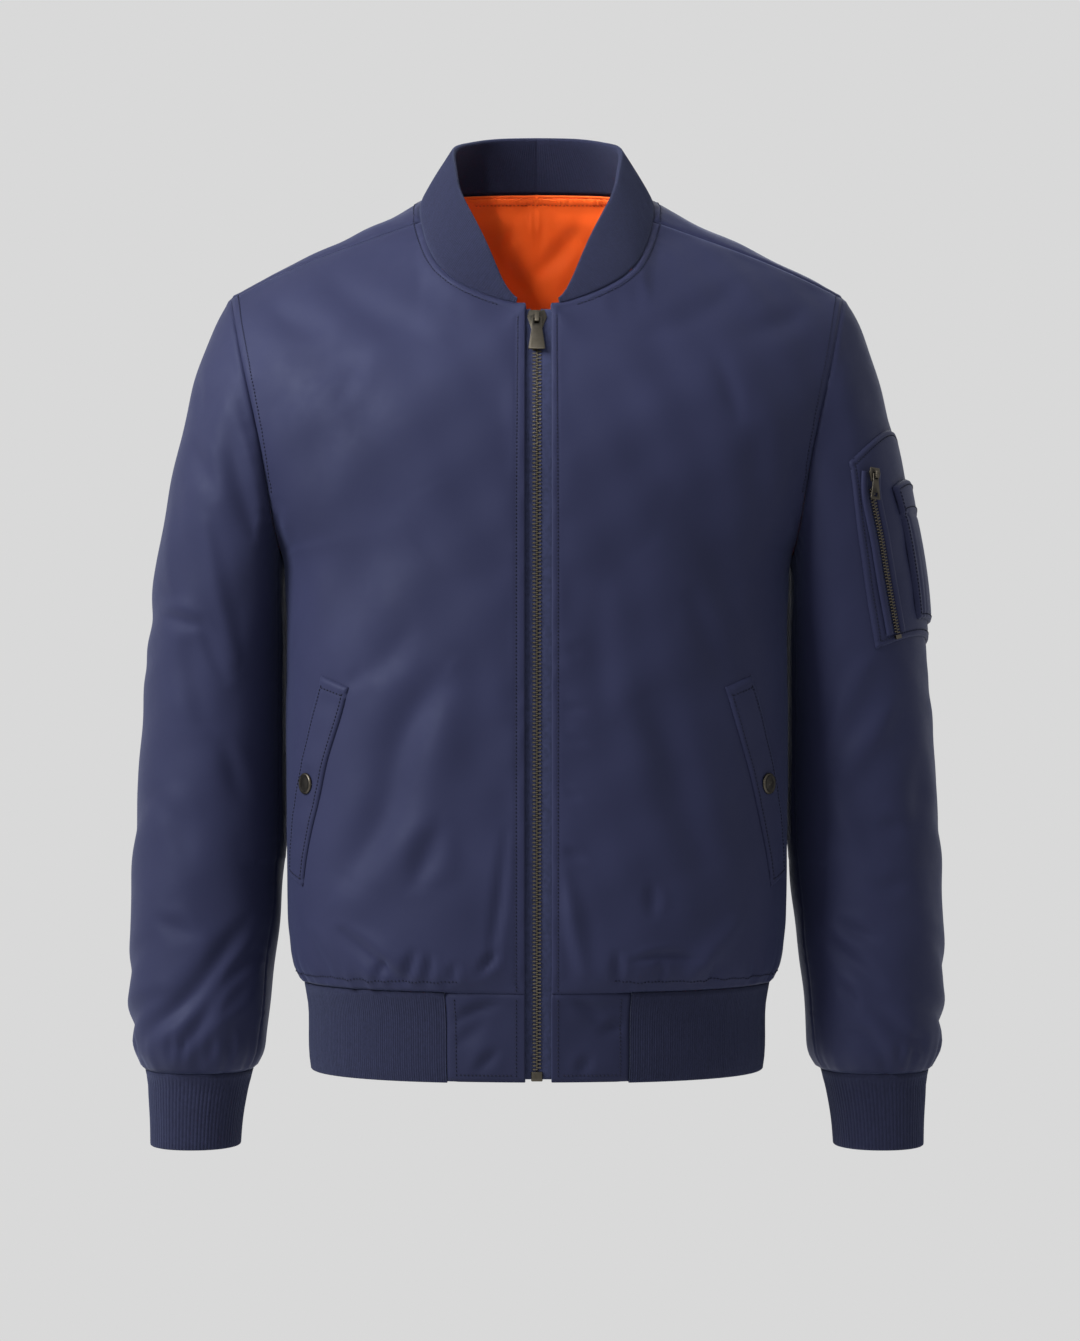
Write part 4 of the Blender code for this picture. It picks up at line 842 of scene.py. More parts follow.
def satin(name, color, roughness=0.60, sheen=0.08, sheen_tint=(0.45, 0.55, 1.0), gloss=0.15):
    """Nylon satin: a fine twill, tiny slack wrinkles and slightly uneven dye."""
    m, nt, b = material(name, color, roughness, 0.0, sheen, 0.45, sheen_tint, gloss)
    b.inputs["Specular Tint"].default_value = (0.62, 0.70, 1.0, 1)
    at = coords(nt)
    nt.links.new(tint(nt, noise(nt, at, 9.0, 3, 0.6), shade(color, 0.92), shade(color, 1.08)),
                 b.inputs["Base Color"])
    nt.links.new(remap(nt, noise(nt, at, 55.0, 3, 0.6), 0.3, 0.7, roughness - 0.05, roughness + 0.06),
                 b.inputs["Roughness"])
    slack = bump(nt, noise(nt, at, 26.0, 3, 0.5, 0.5), 0.12, 0.0016)
    crinkle = bump(nt, noise(nt, at, 170.0, 3, 0.6), 0.10, 0.0004, slack)
    twill = bump(nt, waves(nt, coords(nt, (1, 1, 1.3)), 1150.0), 0.16, 0.00010, crinkle)
    nt.links.new(twill, b.inputs["Normal"])
    return m


def knit(name, color):
    """Rib knit: loops along the ribs and a short soft nap."""
    m, nt, b = material(name, color, 0.92, 0.0, 0.10, 0.6, (0.5, 0.6, 1.0), 0.12)
    at = coords(nt)
    nt.links.new(tint(nt, noise(nt, at, 420.0, 3, 0.7), shade(color, 0.72), shade(color, 1.25), 0.25, 0.75),
                 b.inputs["Base Color"])
    loops = bump(nt, waves(nt, coords(nt), 520.0, "Z", 2.0), 0.45, 0.0003)
    nap = bump(nt, noise(nt, at, 900.0, 3, 0.7), 0.5, 0.0004, loops)
    soft = bump(nt, noise(nt, at, 60.0, 2, 0.5), 0.25, 0.0010, nap)
    nt.links.new(soft, b.inputs["Normal"])
    return m


def tape_cloth(name, color):
    m, nt, b = material(name, color, 0.8, 0.0, 0.08, 0.5, (0.5, 0.6, 1.0), 0.15)
    at = coords(nt)
    nt.links.new(tint(nt, noise(nt, at, 300.0, 2), shade(color, 0.8), shade(color, 1.2)), b.inputs["Base Color"])
    a = bump(nt, waves(nt, at, 420.0, "Z"), 0.5, 0.00025)
    c = bump(nt, waves(nt, at, 520.0, "X"), 0.4, 0.0002, a)
    nt.links.new(c, b.inputs["Normal"])
    return m


def metal(name, color, worn, roughness=0.36):
    """Darkened brass, rubbed brighter along its edges."""
    m, nt, b = material(name, color, roughness, 1.0)
    at = coords(nt)
    geo = nt.nodes.new("ShaderNodeNewGeometry")
    edge = remap(nt, geo.outputs["Pointiness"], 0.52, 0.60, 0.0, 1.0)
    patina = tint(nt, noise(nt, at, 260.0, 4, 0.65), shade(color, 0.70), shade(color, 1.25))
    mix = nt.nodes.new("ShaderNodeMix")
    mix.data_type = "RGBA"
    nt.links.new(edge, mix.inputs["Factor"])
    nt.links.new(patina, mix.inputs["A"])
    mix.inputs["B"].default_value = (*worn, 1)
    nt.links.new(mix.outputs["Result"], b.inputs["Base Color"])
    nt.links.new(remap(nt, noise(nt, at, 500.0, 3), 0.3, 0.7, roughness - 0.08, roughness + 0.14),
                 b.inputs["Roughness"])
    nt.links.new(bump(nt, noise(nt, at, 900.0, 3), 0.18, 0.0001), b.inputs["Normal"])
    return m


NAVY = (0.0153, 0.0168, 0.0412)
M_SHELL = satin("nylon_satin_navy", NAVY)
# The shell satin again at 0.8 of its colour: painted shade on the hem patches, which are the same cloth as the shell.
M_SHELL_PAINTED_SHADE = satin("nylon_satin_navy_painted_shade", tuple(0.80 * v for v in NAVY))
M_LINING = satin("nylon_lining_orange", (0.90, 0.120, 0.018), 0.42, 0.20, (1.0, 0.55, 0.25), 0.35)
M_LINING.node_tree.nodes["Principled BSDF"].inputs["Specular Tint"].default_value = (1.0, 0.62, 0.35, 1)
M_KNIT = knit("rib_knit_navy", (0.0100, 0.0112, 0.0286))
M_TAPE = tape_cloth("zip_tape_navy", (0.0200, 0.0240, 0.0580))
M_METAL = metal("dark_brass", (0.040, 0.037, 0.032), (0.135, 0.118, 0.090))
M_TEETH = metal("dark_brass_teeth", (0.044, 0.041, 0.036), (0.112, 0.098, 0.074), 0.36)
# Navy thread painted near black, well below the shell's navy: painted shade of the holes and dimples between the
# stitches.
M_THREAD_PAINTED_SHADE, _nt, _b = material("thread_navy_painted_shade", (0.0036, 0.0040, 0.0095), 0.75, 0.0, 0.05, 0.5, (0.5, 0.6, 1.0), 0.1)
_nt.links.new(bump(_nt, waves(_nt, coords(_nt), 900.0, "DIAGONAL"), 0.4, 0.0001), _b.inputs["Normal"])
M_THREAD_ORANGE, _ont, _ob = material("thread_orange", (0.42, 0.045, 0.008), 0.7, 0.0, 0.1, 0.5, (1.0, 0.5, 0.2), 0.15)
_ont.links.new(bump(_ont, waves(_ont, coords(_ont), 900.0, "DIAGONAL"), 0.4, 0.0001), _ob.inputs["Normal"])
_ont.links.new(tint(_ont, noise(_ont, coords(_ont), 400.0, 2), (0.36, 0.038, 0.007), (0.48, 0.052, 0.009)),
               _ob.inputs["Base Color"])
# The thread's colour varies at random but stays dark throughout: painted shade of the stitch holes.
_nt.links.new(tint(_nt, noise(_nt, coords(_nt), 400.0, 2), (0.0068, 0.0074, 0.0170), (0.0102, 0.0112, 0.0250)),
              _b.inputs["Base Color"])


# ------------------------------------------------------------------ meshes
def make_mesh(name, points, quads, mats, index=None, smooth=True):
    me = bpy.data.meshes.new(name)
    quads = np.asarray(quads, np.int32)
    me.vertices.add(len(points))
    me.vertices.foreach_set("co", np.asarray(points, np.float32).ravel())
    me.loops.add(quads.size)
    me.loops.foreach_set("vertex_index", quads.ravel())
    me.polygons.add(len(quads))
    me.polygons.foreach_set("loop_start", np.arange(len(quads), dtype=np.int32) * quads.shape[1])
    if index is not None:
        me.polygons.foreach_set("material_index", np.asarray(index, np.int32))
    me.polygons.foreach_set("use_smooth", np.full(len(quads), smooth))
    me.update(calc_edges=True)
    me.validate()
    for m in mats:
        me.materials.append(m)
    o = bpy.data.objects.new(name, me)
    bpy.context.scene.collection.objects.link(o)
    return o


def settle(o, slot, *nodes, body=ROOT):
    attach(o, body)
    if nodes:
        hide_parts(*nodes)
    return o


# ------------------------------------------------------------------ folds and seams
def flow(line, n=26):
    """Evenly spaced points on a smooth curve through a fold's own points."""
    line = np.asarray(line, float)
    t = np.arange(len(line))
    if len(line) > 2:
        pts = spline(t, line, np.linspace(0, len(line) - 1, 60))
    else:
        pts = line[0] + (line[1] - line[0]) * np.linspace(0, 1, 60)[:, None]
    run = np.concatenate([[0], np.cumsum(np.linalg.norm(np.diff(pts, axis=0), axis=1))])
    want = np.linspace(0, run[-1], n)
    return np.stack([np.interp(want, run, pts[:, k]) for k in range(pts.shape[1])], 1), run[-1]


def near_line(p, line):
    """Distance to a polyline, share of its length there, and side (2-D only)."""
    a, b = line[:-1], line[1:]
    best = np.full(len(p), 1e9)
    share = np.zeros(len(p))
    side = np.ones(len(p))
    for i in range(len(a)):
        ab = b[i] - a[i]
        t = np.clip(((p - a[i]) @ ab) / max(ab @ ab, 1e-18), 0, 1)
        d = p - a[i] - t[:, None] * ab
        dist = np.linalg.norm(d, axis=1)
        take = dist < best
        best = np.where(take, dist, best)
        share = np.where(take, (i + t) / len(a), share)
        if p.shape[1] == 2:
            s = ab[0] * d[:, 1] - ab[1] * d[:, 0]
            side = np.where(take, np.where(s < 0, -1.0, 1.0), side)
    return best, share, side


def fold_field(uv, folds):
    """Relief of soft folds: (depth, half width, lip, points), in millimetres.
    A positive depth is a trough and a negative one a ridge."""
    out = np.zeros(len(uv))
    for depth, width, lip, pts in folds:
        line, _ = flow(np.array(pts) / 1000.0)
        w = width / 1000.0
        lo, hi = line.min(0) - 4.5 * w, line.max(0) + 4.5 * w
        has = np.all((uv > lo) & (uv < hi), axis=1)
        if not has.any():
            continue
        d, t, side = near_line(uv[has], line)
        s = d * side
        fade = np.sin(np.pi * np.clip(0.06 + 0.88 * t, 0, 1)) ** 0.75
        wide = w * (0.75 + 0.35 * np.sin(np.pi * t))
        shape = -np.exp(-(s / wide) ** 2) + abs(lip) * np.exp(-((s - math.copysign(1.75, lip) * wide) / (1.15 * wide)) ** 2) \
            + 0.18 * np.exp(-((s + math.copysign(1.9, lip) * wide) / (1.3 * wide)) ** 2)
        out[has] += depth / 1000.0 * fade * shape
    return out


def ripple(s, wave):
    """Uneven gathers along a seam."""
    a = np.sin(2 * np.pi * s / wave + 1.4 * np.sin(2 * np.pi * s / (wave * 3.7)))
    b = np.sin(2 * np.pi * s / (wave * 0.618) + 2.1)
    c = np.sin(2 * np.pi * s / (wave * 1.7) + 0.4)
    return (a * 0.55 + b * 0.25 + c * 0.35) * (0.65 + 0.35 * np.sin(2 * np.pi * s / (wave * 5.3) + 0.7))


class Relief:
    """Height of the worn cloth over its plain form, from its rim inward."""

    def __init__(self, sheet, kinds, folds, mask=None, lines=()):
        nxt = {int(a): int(b) for a, b in sheet.rim}
        todo, pts, runs, kind = set(nxt), [], [], []
        seg_a, seg_b, seg_s = [], [], []
        while todo:
            start = min(todo)
            loop, v = [], start
            while v in todo:
                todo.discard(v)
                loop.append(v)
                v = nxt[v]
            p = sheet.p[loop]
            step = np.linalg.norm(np.roll(p, -1, axis=0) - p, axis=1)
            s = np.concatenate([[0], np.cumsum(step)[:-1]])
            seg_a.append(p)
            seg_b.append(np.roll(p, -1, axis=0))
            seg_s.append(np.stack([s, step], 1))
        self.a, self.b, self.s = np.vstack(seg_a), np.vstack(seg_b), np.vstack(seg_s)
        self.kinds, self.folds, self.mask, self.lines = kinds, folds, mask, lines

    def rim(self, p):
        """Distance to the rim, place along it, and the rim point itself."""
        p = np.asarray(p, np.float64)
        best = np.empty(len(p), np.int64)
        for k in range(0, len(p), 4000):
            q = p[k:k + 4000].astype(np.float32)
            m = self.a.astype(np.float32)
            d = (q ** 2).sum(1)[:, None] - 2 * q @ m.T + (m ** 2).sum(1)[None]
            best[k:k + 4000] = d.argmin(1)
        dist = np.full(len(p), 1e9)
        along = np.zeros(len(p))
        spot = np.zeros_like(p)
        count = len(self.a)
        for shift in (-2, -1, 0, 1):
            i = (best + shift) % count
            ab = self.b[i] - self.a[i]
            t = np.clip(((p - self.a[i]) * ab).sum(1) / np.maximum((ab * ab).sum(1), 1e-18), 0, 1)
            q = self.a[i] + ab * t[:, None]
            d = np.linalg.norm(p - q, axis=1)
            take = d < dist
            dist = np.where(take, d, dist)
            along = np.where(take, self.s[i, 0] + self.s[i, 1] * t, along)
            spot = np.where(take[:, None], q, spot)
        return dist, along, spot

    def at(self, p, n):
        d, s, q = self.rim(p)
        out = swell(p)
        for plane, folds in self.folds:
            u, facing = plane(p, n)
            out = out + fold_field(u, folds) * ease((facing - 0.12) / 0.38)
        out = out * ease(d / 0.012)
        if self.mask is not None:
            out = out * self.mask(p, n)
        for where, amp, reach, wave, groove, row in self.kinds:
            on = where(q)
            pull = amp / 1000.0 * ripple(s, wave / 1000.0) * np.exp(-(d * 1000 / reach) ** 2) \
                * (1 - np.exp(-(d / 0.0022) ** 2))
            cut = -groove / 1000.0 * np.exp(-(d / 0.0013) ** 2)
            puff = 0.35 * groove / 1000.0 * np.exp(-((d - 0.0036) / 0.0019) ** 2)
            for r in row:
                cut = cut - 0.00042 * np.exp(-((d - r / 1000.0) / 0.0011) ** 2) \
                    * (0.75 + 0.25 * np.sin(2 * np.pi * s / 0.009))
            out = out + on * (pull + cut + puff)
        for line, groove, width, amp, reach, wave in self.lines:
            dist, t, _ = near_line(p, line)
            length = np.linalg.norm(np.diff(line, axis=0), axis=1).sum()
            out = out - groove / 1000.0 * np.exp(-(dist * 1000 / width) ** 2) \
                + amp / 1000.0 * ripple(t * length, wave / 1000.0) * np.exp(-(dist * 1000 / reach) ** 2) \
                * (1 - np.exp(-(dist / 0.002) ** 2))
        return out


def swell(p):
    """Slow unevenness of the filled cloth."""
    x, y, z = p.T
    return 0.00065 * (np.sin(61 * x + 23 * z + 0.6) * np.sin(49 * z + 17 * x + 1.1)
                      + 0.6 * np.sin(97 * z - 71 * x + 2.0 + 30 * y)
                      + 0.5 * np.sin(133 * x + 88 * y + 41 * z))


def facing_front(p, n):
    return p[:, [0, 2]], -n[:, 1]


def facing_back(p, n):
    return p[:, [0, 2]], n[:, 1]


def facing_left(p, n):
    return p[:, [1, 2]], n[:, 0]


def facing_right(p, n):
    return p[:, [1, 2]], -n[:, 0]


def everywhere(p, n):
    return p[:, [0, 2]], np.ones(len(p))


# Folds of each part of the cloth, in millimetres of the jacket's own frame:
# width and height on the front and back, depth and height on the sides.
RIGHT_FRONT = [
    (1.3, 3.2, .4, [(-85, -50), (-86, -76)]), (1.2, 3.0, .4, [(-76, -58), (-77, -84)]),
    (1.2, 3.2, -.4, [(-57, -72), (-59, -96)]), (0.9, 2.6, .4, [(-67, -66), (-69, -84)]),
    (2.6, 9, .5, [(-154, -62), (-131, -83), (-106, -95), (-84, -106)]),
    (2.2, 7, .5, [(-198, -80), (-184, -92), (-160, -102)]),
    (1.7, 5, .4, [(-129, -117), (-137, -136), (-148, -158)]),
    (3.4, 15, .5, [(-98, -230), (-116, -243), (-129, -272), (-154, -320)]),
    (-1.8, 3.2, .3, [(-189, -236), (-188, -264)]),
    (2.0, 6, .5, [(-186, -262), (-176, -290), (-172, -318)]),
    (2.1, 7, .5, [(-95, -327), (-112, -347), (-128, -360)]), (1.6, 4, .4, [(-131, -353), (-138, -369)]),
    (3.8, 14, .5, [(-76, -366), (-96, -397), (-108, -442), (-117, -468), (-139, -504)]),
    (2.0, 8, .5, [(-73, -471), (-81, -488), (-89, -508)]), (1.4, 10, .3, [(-46, -346), (-44, -396), (-46, -446)]),
    (1.3, 3.6, .4, [(-22, -472), (-27, -520), (-34, -568)]), (1.4, 3.2, .4, [(-29, -559), (-42, -576)]),
    (1.7, 3.4, .4, [(-90, -560), (-97, -583)]), (1.4, 3.0, .4, [(-78, -562), (-80, -582)]),
    (2.2, 5, .5, [(-143, -548), (-122, -566), (-98, -583)]), (1.9, 5, .4, [(-177, -546), (-166, -564), (-155, -583)]),
    (1.5, 3, .4, [(-112, -566), (-118, -584)]), (1.3, 2.6, .4, [(-60, -568), (-63, -584)]),
    (1.0, 2.6, .4, [(-176, -425), (-165, -431)]), (1.0, 2.6, .4, [(-182, -453), (-171, -465)]),
    (1.5, 4, .4, [(-188, -420), (-178, -433)]), (1.8, 9, .4, [(-166, -170), (-160, -200), (-164, -232)]),
]
LEFT_FRONT = [
    (1.2, 3.2, .4, [(84, -50), (87, -74)]), (1.1, 3.0, .4, [(73, -60), (76, -83)]),
    (1.1, 3.0, -.4, [(58, -72), (60, -92)]),
    (2.2, 9, -.5, [(150, -66), (128, -84), (103, -97), (86, -104)]),
    (1.8, 7, -.5, [(200, -84), (182, -95), (160, -100)]),
    (1.5, 5, .4, [(133, -122), (142, -142), (149, -166)]),
    (2.8, 14, -.5, [(104, -226), (121, -246), (134, -281), (150, -314)]),
    (-1.5, 3.0, .3, [(190, -238), (188, -262)]),
    (2.0, 7, -.5, [(115, -300), (128, -331), (141, -368)]),
    (2.6, 14, -.5, [(83, -380), (99, -416), (106, -452), (124, -492)]),
    (0.9, 3, .4, [(20, -336), (33, -342)]), (1.0, 3, .4, [(19, -380), (35, -384)]),
    (1.0, 3, .4, [(20, -402), (36, -408)]), (0.9, 3, .4, [(20, -443), (32, -448)]),
    (1.0, 3, .4, [(19, -484), (34, -492)]),
    (-2.0, 6, .3, [(18, -500), (25, -536), (34, -574)]), (1.6, 3, .4, [(59, -560), (59, -586)]),
    (-2.6, 8, .35, [(153, -536), (134, -556), (111, -582)]), (1.5, 3, .4, [(72, -566), (96, -563), (120, -567)]),
    (1.3, 4, .4, [(84, -511), (85, -533)]), (1.6, 4, .4, [(165, -567), (163, -584)]),
    (1.4, 3.2, .4, [(92, -566), (90, -585)]), (1.2, 3, .4, [(132, -568), (128, -585)]),
    (1.5, 8, .4, [(168, -176), (163, -204), (166, -236)]), (1.4, 9, .3, [(48, -290), (46, -340), (50, -380)]),
]
RIGHT_SLEEVE = [
    (4.2, 8, .5, [(-231, -174), (-224, -206), (-212, -250)]), (1.6, 4, .4, [(-262, -120), (-258, -138), (-256, -156)]),
    (-1.7, 5, .3, [(-278, -222), (-279, -256), (-276, -292)]), (2.2, 6, .5, [(-260, -186), (-250, -204), (-243, -221)]),
    (-1.8, 5, .4, [(-249, -243), (-240, -294), (-227, -345)]),
    (2.8, 5, .5, [(-284, -313), (-268, -317), (-254, -320)]), (2.2, 5, .5, [(-253, -318), (-245, -338), (-236, -360)]),
    (2.6, 8, -.5, [(-263, -326), (-260, -356), (-252, -390)]), (2.6, 7, .5, [(-236, -412), (-226, -434), (-213, -458)]),
    (2.2, 6, .4, [(-284, -543), (-270, -549), (-258, -555)]),
    (4.2, 7, .6, [(-221, -546), (-240, -572), (-261, -600), (-291, -624), (-300, -636)]),
    (3.6, 6, .6, [(-215, -568), (-230, -585), (-241, -599), (-253, -618), (-268, -638)]),
    (2.6, 5, .5, [(-219, -590), (-228, -601), (-238, -614)]),
    (1.8, 3, .4, [(-275, -628), (-276, -646)]), (1.7, 3, .4, [(-266, -632), (-267, -647)]),
    (1.5, 3, .4, [(-245, -630), (-247, -648)]), (1.4, 2.8, .4, [(-230, -628), (-231, -648)]),
    (2.0, 9, .4, [(-240, -140), (-252, -170), (-262, -206)]), (1.8, 8, .4, [(-290, -452), (-272, -470), (-262, -500)]),
]
LEFT_SLEEVE = [
    (-2.8, 9, .4, [(250, -344), (233, -376), (213, -411)]), (-2.8, 9, .4, [(268, -380), (248, -410), (226, -441)]),
    (2.0, 7, .4, [(254, -471), (264, -473), (277, -471)]), (2.0, 7, .4, [(254, -514), (264, -517), (277, -514)]),
    (2.7, 5, .5, [(229, -545), (240, -551), (254, -556)]),
    (3.2, 6, .5, [(218, -556), (235, -571), (257, -589)]), (2.2, 4, .5, [(227, -590), (236, -598), (240, -607)]),
    (2.8, 5, .5, [(254, -610), (270, -623), (281, -632), (288, -634), (293, -645)]),
    (2.7, 5, .5, [(232, -624), (246, -630), (254, -636), (259, -645)]),
    (1.7, 3, .4, [(272, -636), (273, -648)]), (1.5, 3, .4, [(284, -640), (283, -649)]),
    (1.8, 8, -.4, [(230, -440), (244, -462), (252, -488)]), (1.5, 7, .4, [(292, -420), (290, -452), (284, -476)]),
]


def softer(folds, depth, width, above=-9999.0):
    """The same folds made shallower and wider above a height."""
    return [(d * depth, w * width, lip, pts) if pts[0][1] > above else (d, w, lip, pts)
            for d, w, lip, pts in folds]


RIGHT_FRONT = softer(RIGHT_FRONT, 0.62, 1.25, -360)
LEFT_FRONT = softer(LEFT_FRONT, 0.85, 1.15, -360)
RIGHT_FRONT = [(d * 1.7, w * 1.05, lip, pts) if pts[-1][1] < -480 else (d, w, lip, pts) for d, w, lip, pts in RIGHT_FRONT]
LEFT_FRONT = [(d * 1.5, w * 1.05, lip, pts) if pts[-1][1] < -480 else (d, w, lip, pts) for d, w, lip, pts in LEFT_FRONT]
RIGHT_SLEEVE = softer(RIGHT_SLEEVE, 0.85, 1.1, -500)
BACK_FOLDS = [
    (3.0, 15, .5, [(-172, -170), (-150, -205), (-128, -256), (-120, -300)]),
    (2.6, 14, -.5, [(176, -164), (152, -210), (135, -262), (131, -318)]),
    (2.0, 10, .4, [(-60, -60), (-42, -110), (-36, -160)]), (1.8, 9, -.4, [(66, -56), (50, -100), (40, -150)]),
    (1.6, 10, .4, [(-10, -190), (0, -240), (-6, -290)]),
    (2.8, 13, .5, [(-96, -340), (-84, -400), (-92, -455), (-110, -500)]),
    (3.2, 14, -.5, [(88, -330), (80, -388), (95, -446), (118, -496)]),
    (2.2, 9, .4, [(-20, -400), (-30, -450), (-26, -505)]), (1.9, 8, .4, [(34, -430), (28, -478), (34, -520)]),
    (2.4, 6, .5, [(-160, -520), (-138, -548), (-118, -580)]), (2.3, 6, -.5, [(166, -524), (146, -552), (120, -582)]),
    (2.0, 5, .5, [(-70, -540), (-58, -562), (-50, -584)]), (2.0, 5, .4, [(60, -536), (54, -560), (44, -583)]),
    (1.7, 4, .4, [(-96, -560), (-92, -584)]), (1.6, 3.6, .4, [(-20, -562), (-23, -585)]),
    (1.6, 3.6, .4, [(14, -566), (12, -585)]), (1.5, 3.6, .4, [(92, -564), (94, -585)]),
    (1.5, 5, .4, [(-150, -420), (-128, -432), (-104, -428)]), (1.4, 5, .4, [(150, -404), (130, -414), (108, -408)]),
    (1.3, 4, .4, [(-72, 2), (-78, -18)]), (1.2, 4, .4, [(60, 6), (64, -16)]), (1.2, 4, .4, [(-30, 10), (-32, -14)]),
    (1.1, 4, .4, [(24, 10), (25, -12)]),
]
RIGHT_SLEEVE_BACK = [
    (2.6, 7, .5, [(-278, -316), (-258, -322), (-232, -316)]), (2.8, 8, .5, [(-286, -338), (-262, -352), (-238, -352)]),
    (2.2, 6, .5, [(-280, -366), (-260, -380), (-244, -384)]), (2.2, 9, .5, [(-226, -140), (-244, -180), (-262, -222)]),
    (2.4, 9, -.5, [(-216, -210), (-236, -250), (-248, -286)]), (2.6, 9, .5, [(-222, -430), (-236, -466), (-256, -498)]),
    (3.4, 7, .5, [(-222, -560), (-246, -590), (-272, -618), (-292, -632)]),
    (2.8, 6, .5, [(-218, -592), (-236, -612), (-254, -632)]), (1.8, 3.4, .4, [(-268, -628), (-270, -648)]),
    (1.6, 3.2, .4, [(-236, -632), (-238, -648)]), (1.7, 3.4, .4, [(-252, -634), (-253, -648)]),
    (2.2, 8, .4, [(-296, -520), (-276, -540), (-256, -548)]),
]
LEFT_SLEEVE_BACK = [
    (2.4, 7, -.5, [(280, -322), (260, -330), (234, -324)]), (2.9, 8, -.5, [(288, -346), (264, -360), (240, -358)]),
    (2.0, 6, -.5, [(282, -378), (262, -390), (246, -392)]), (2.0, 9, -.5, [(228, -144), (246, -186), (264, -226)]),
    (2.5, 9, .5, [(216, -204), (234, -244), (250, -284)]), (2.4, 9, -.5, [(224, -436), (240, -470), (260, -506)]),
    (3.6, 7, -.5, [(220, -556), (244, -584), (268, -614), (294, -634)]),
    (2.6, 6, -.5, [(216, -588), (232, -608), (250, -634)]), (1.7, 3.4, .4, [(272, -630), (274, -648)]),
    (1.6, 3.2, .4, [(238, -634), (240, -648)]), (2.0, 8, -.4, [(298, -512), (278, -534), (258, -540)]),
]
RIGHT_SLEEVE_SIDE = [
    (2.2, 8, .5, [(-30, -300), (10, -314), (50, -318)]), (2.0, 7, .5, [(-20, -340), (14, -352), (56, -350)]),
    (2.4, 8, .5, [(-40, -440), (0, -468), (44, -508)]), (3.0, 7, .5, [(-46, -600), (-10, -622), (26, -634)]),
    (2.4, 6, .5, [(-34, -560), (0, -584), (44, -600)]), (1.8, 3.4, .4, [(-16, -632), (-17, -648)]),
    (1.7, 3.4, .4, [(10, -634), (11, -648)]), (1.6, 3.4, .4, [(28, -630), (29, -648)]),
    (1.8, 10, .4, [(-10, -130), (16, -180), (24, -230)]),
]
LEFT_SLEEVE_SIDE = [
    (2.2, 8, -.5, [(-10, -360), (24, -372), (64, -368)]), (2.2, 8, .5, [(-34, -446), (4, -474), (48, -500)]),
    (3.0, 7, .5, [(-44, -604), (-8, -620), (28, -636)]), (2.5, 6, .5, [(-30, -556), (4, -580), (44, -604)]),
    (1.8, 3.4, .4, [(-14, -632), (-15, -648)]), (1.7, 3.4, .4, [(12, -634), (12, -648)]),
    (1.6, 3.4, .4, [(30, -632), (31, -648)]), (1.6, 8, .4, [(30, -150), (44, -190), (46, -240)]),
]
RIGHT_SLEEVE_SIDE = softer(RIGHT_SLEEVE_SIDE, 0.5, 1.3, -600)
LEFT_SLEEVE_SIDE = softer(LEFT_SLEEVE_SIDE, 0.5, 1.3, -600)
TORSO_SIDE = [
    (2.0, 8, .5, [(-60, -330), (-20, -360), (30, -380)]), (2.2, 8, .5, [(60, -400), (20, -440), (-40, -470)]),
    (2.4, 7, .5, [(-50, -540), (-10, -562), (30, -580)]), (1.8, 4, .4, [(50, -560), (46, -584)]),
    (1.6, 4, .4, [(-20, -564), (-22, -584)]),
]

# ------------------------------------------------------------------ fine surfaces
FINE = Counts(cols=86, flank=126, chest=50, yoke=34, over=5, back_flank=48, back_chest=42,
              sleeve=188, band=18, neck=3)
CLOTH = 0.0016            # what shows of the wall at its open edges
garment = build_garment(FINE)
looks = {}


def relax(s, rounds=46):
    """Even out a panel where its side turns into the armhole."""
    keep = np.zeros(len(s.p), bool)
    keep[np.unique(s.rim)] = True
    x, z = np.abs(s.p[:, 0]), s.p[:, 2]
    row = CHEST_Z + (ARMPIT_Z - CHEST_Z) * np.clip(x / 0.1945, 0, 1)
    band = np.exp(-((z - row) / 0.024) ** 2) * ease((x - 0.03) / 0.04)
    spot = np.linalg.norm(np.stack([x, s.p[:, 1], z], 1) - (0.1945, -0.012, -0.258), axis=1)
    high = NECK_FRONT_Z + (float(ARMHOLE.at("z", BUST_ARM)[0]) - NECK_FRONT_Z) * np.clip((x - 0.011) / 0.192, 0, 1)
    band = np.maximum(band, 0.9 * np.exp(-((z - high) / 0.017) ** 2) * ease((x - 0.016) / 0.02) * (s.p[:, 1] < 0))
    give = np.clip(np.maximum(band, np.exp(-(spot / 0.052) ** 2) * 1.2), 0, 1)
    give[keep] = 0
    e = np.vstack([s.f[:, [0, 1]], s.f[:, [1, 2]], s.f[:, [2, 3]], s.f[:, [3, 0]]])
    e = e[e[:, 0] != e[:, 1]]
    e = np.unique(np.sort(e, axis=1), axis=0)
    a, b = e[:, 0], e[:, 1]
    count = np.bincount(a, minlength=len(s.p)) + np.bincount(b, minlength=len(s.p))
    for _ in range(rounds):
        total = np.stack([np.bincount(a, s.p[b, k], len(s.p)) + np.bincount(b, s.p[a, k], len(s.p))
                          for k in range(3)], 1)
        s.p = s.p + (0.5 * give)[:, None] * (total / count[:, None] - s.p)
    n = vertex_normals(s.p, s.f)
    s.n[~keep] = n[~keep]


for panel in ("front_left", "front_right", "back"):
    relax(garment.sheets[panel])


def at_hem(q):
    return (q[:, 2] < HEM_SEAM_Z + 0.003).astype(float)


def at_edge(q):
    return (np.abs(q[:, 0]) < 0.0130).astype(float) * (q[:, 1] < 0) * (q[:, 2] > HEM_SEAM_Z + 0.003)


def at_neck(q):
    r = np.linalg.norm(q[:, :2] - (0, -0.004), axis=1)
    return (r < 0.0975).astype(float) * (q[:, 2] > -0.0835) * (np.abs(q[:, 0]) < 0.0925) * (1 - at_edge(q))


def at_shoulder(q):
    """The shoulder seam, forward of the ridge."""
    return ((np.abs(q[:, 0]) > 0.088) & (q[:, 2] > -0.070) & (q[:, 1] < 0.003)
            & (np.abs(q[:, 0]) < TIP_X - 0.001)).astype(float)


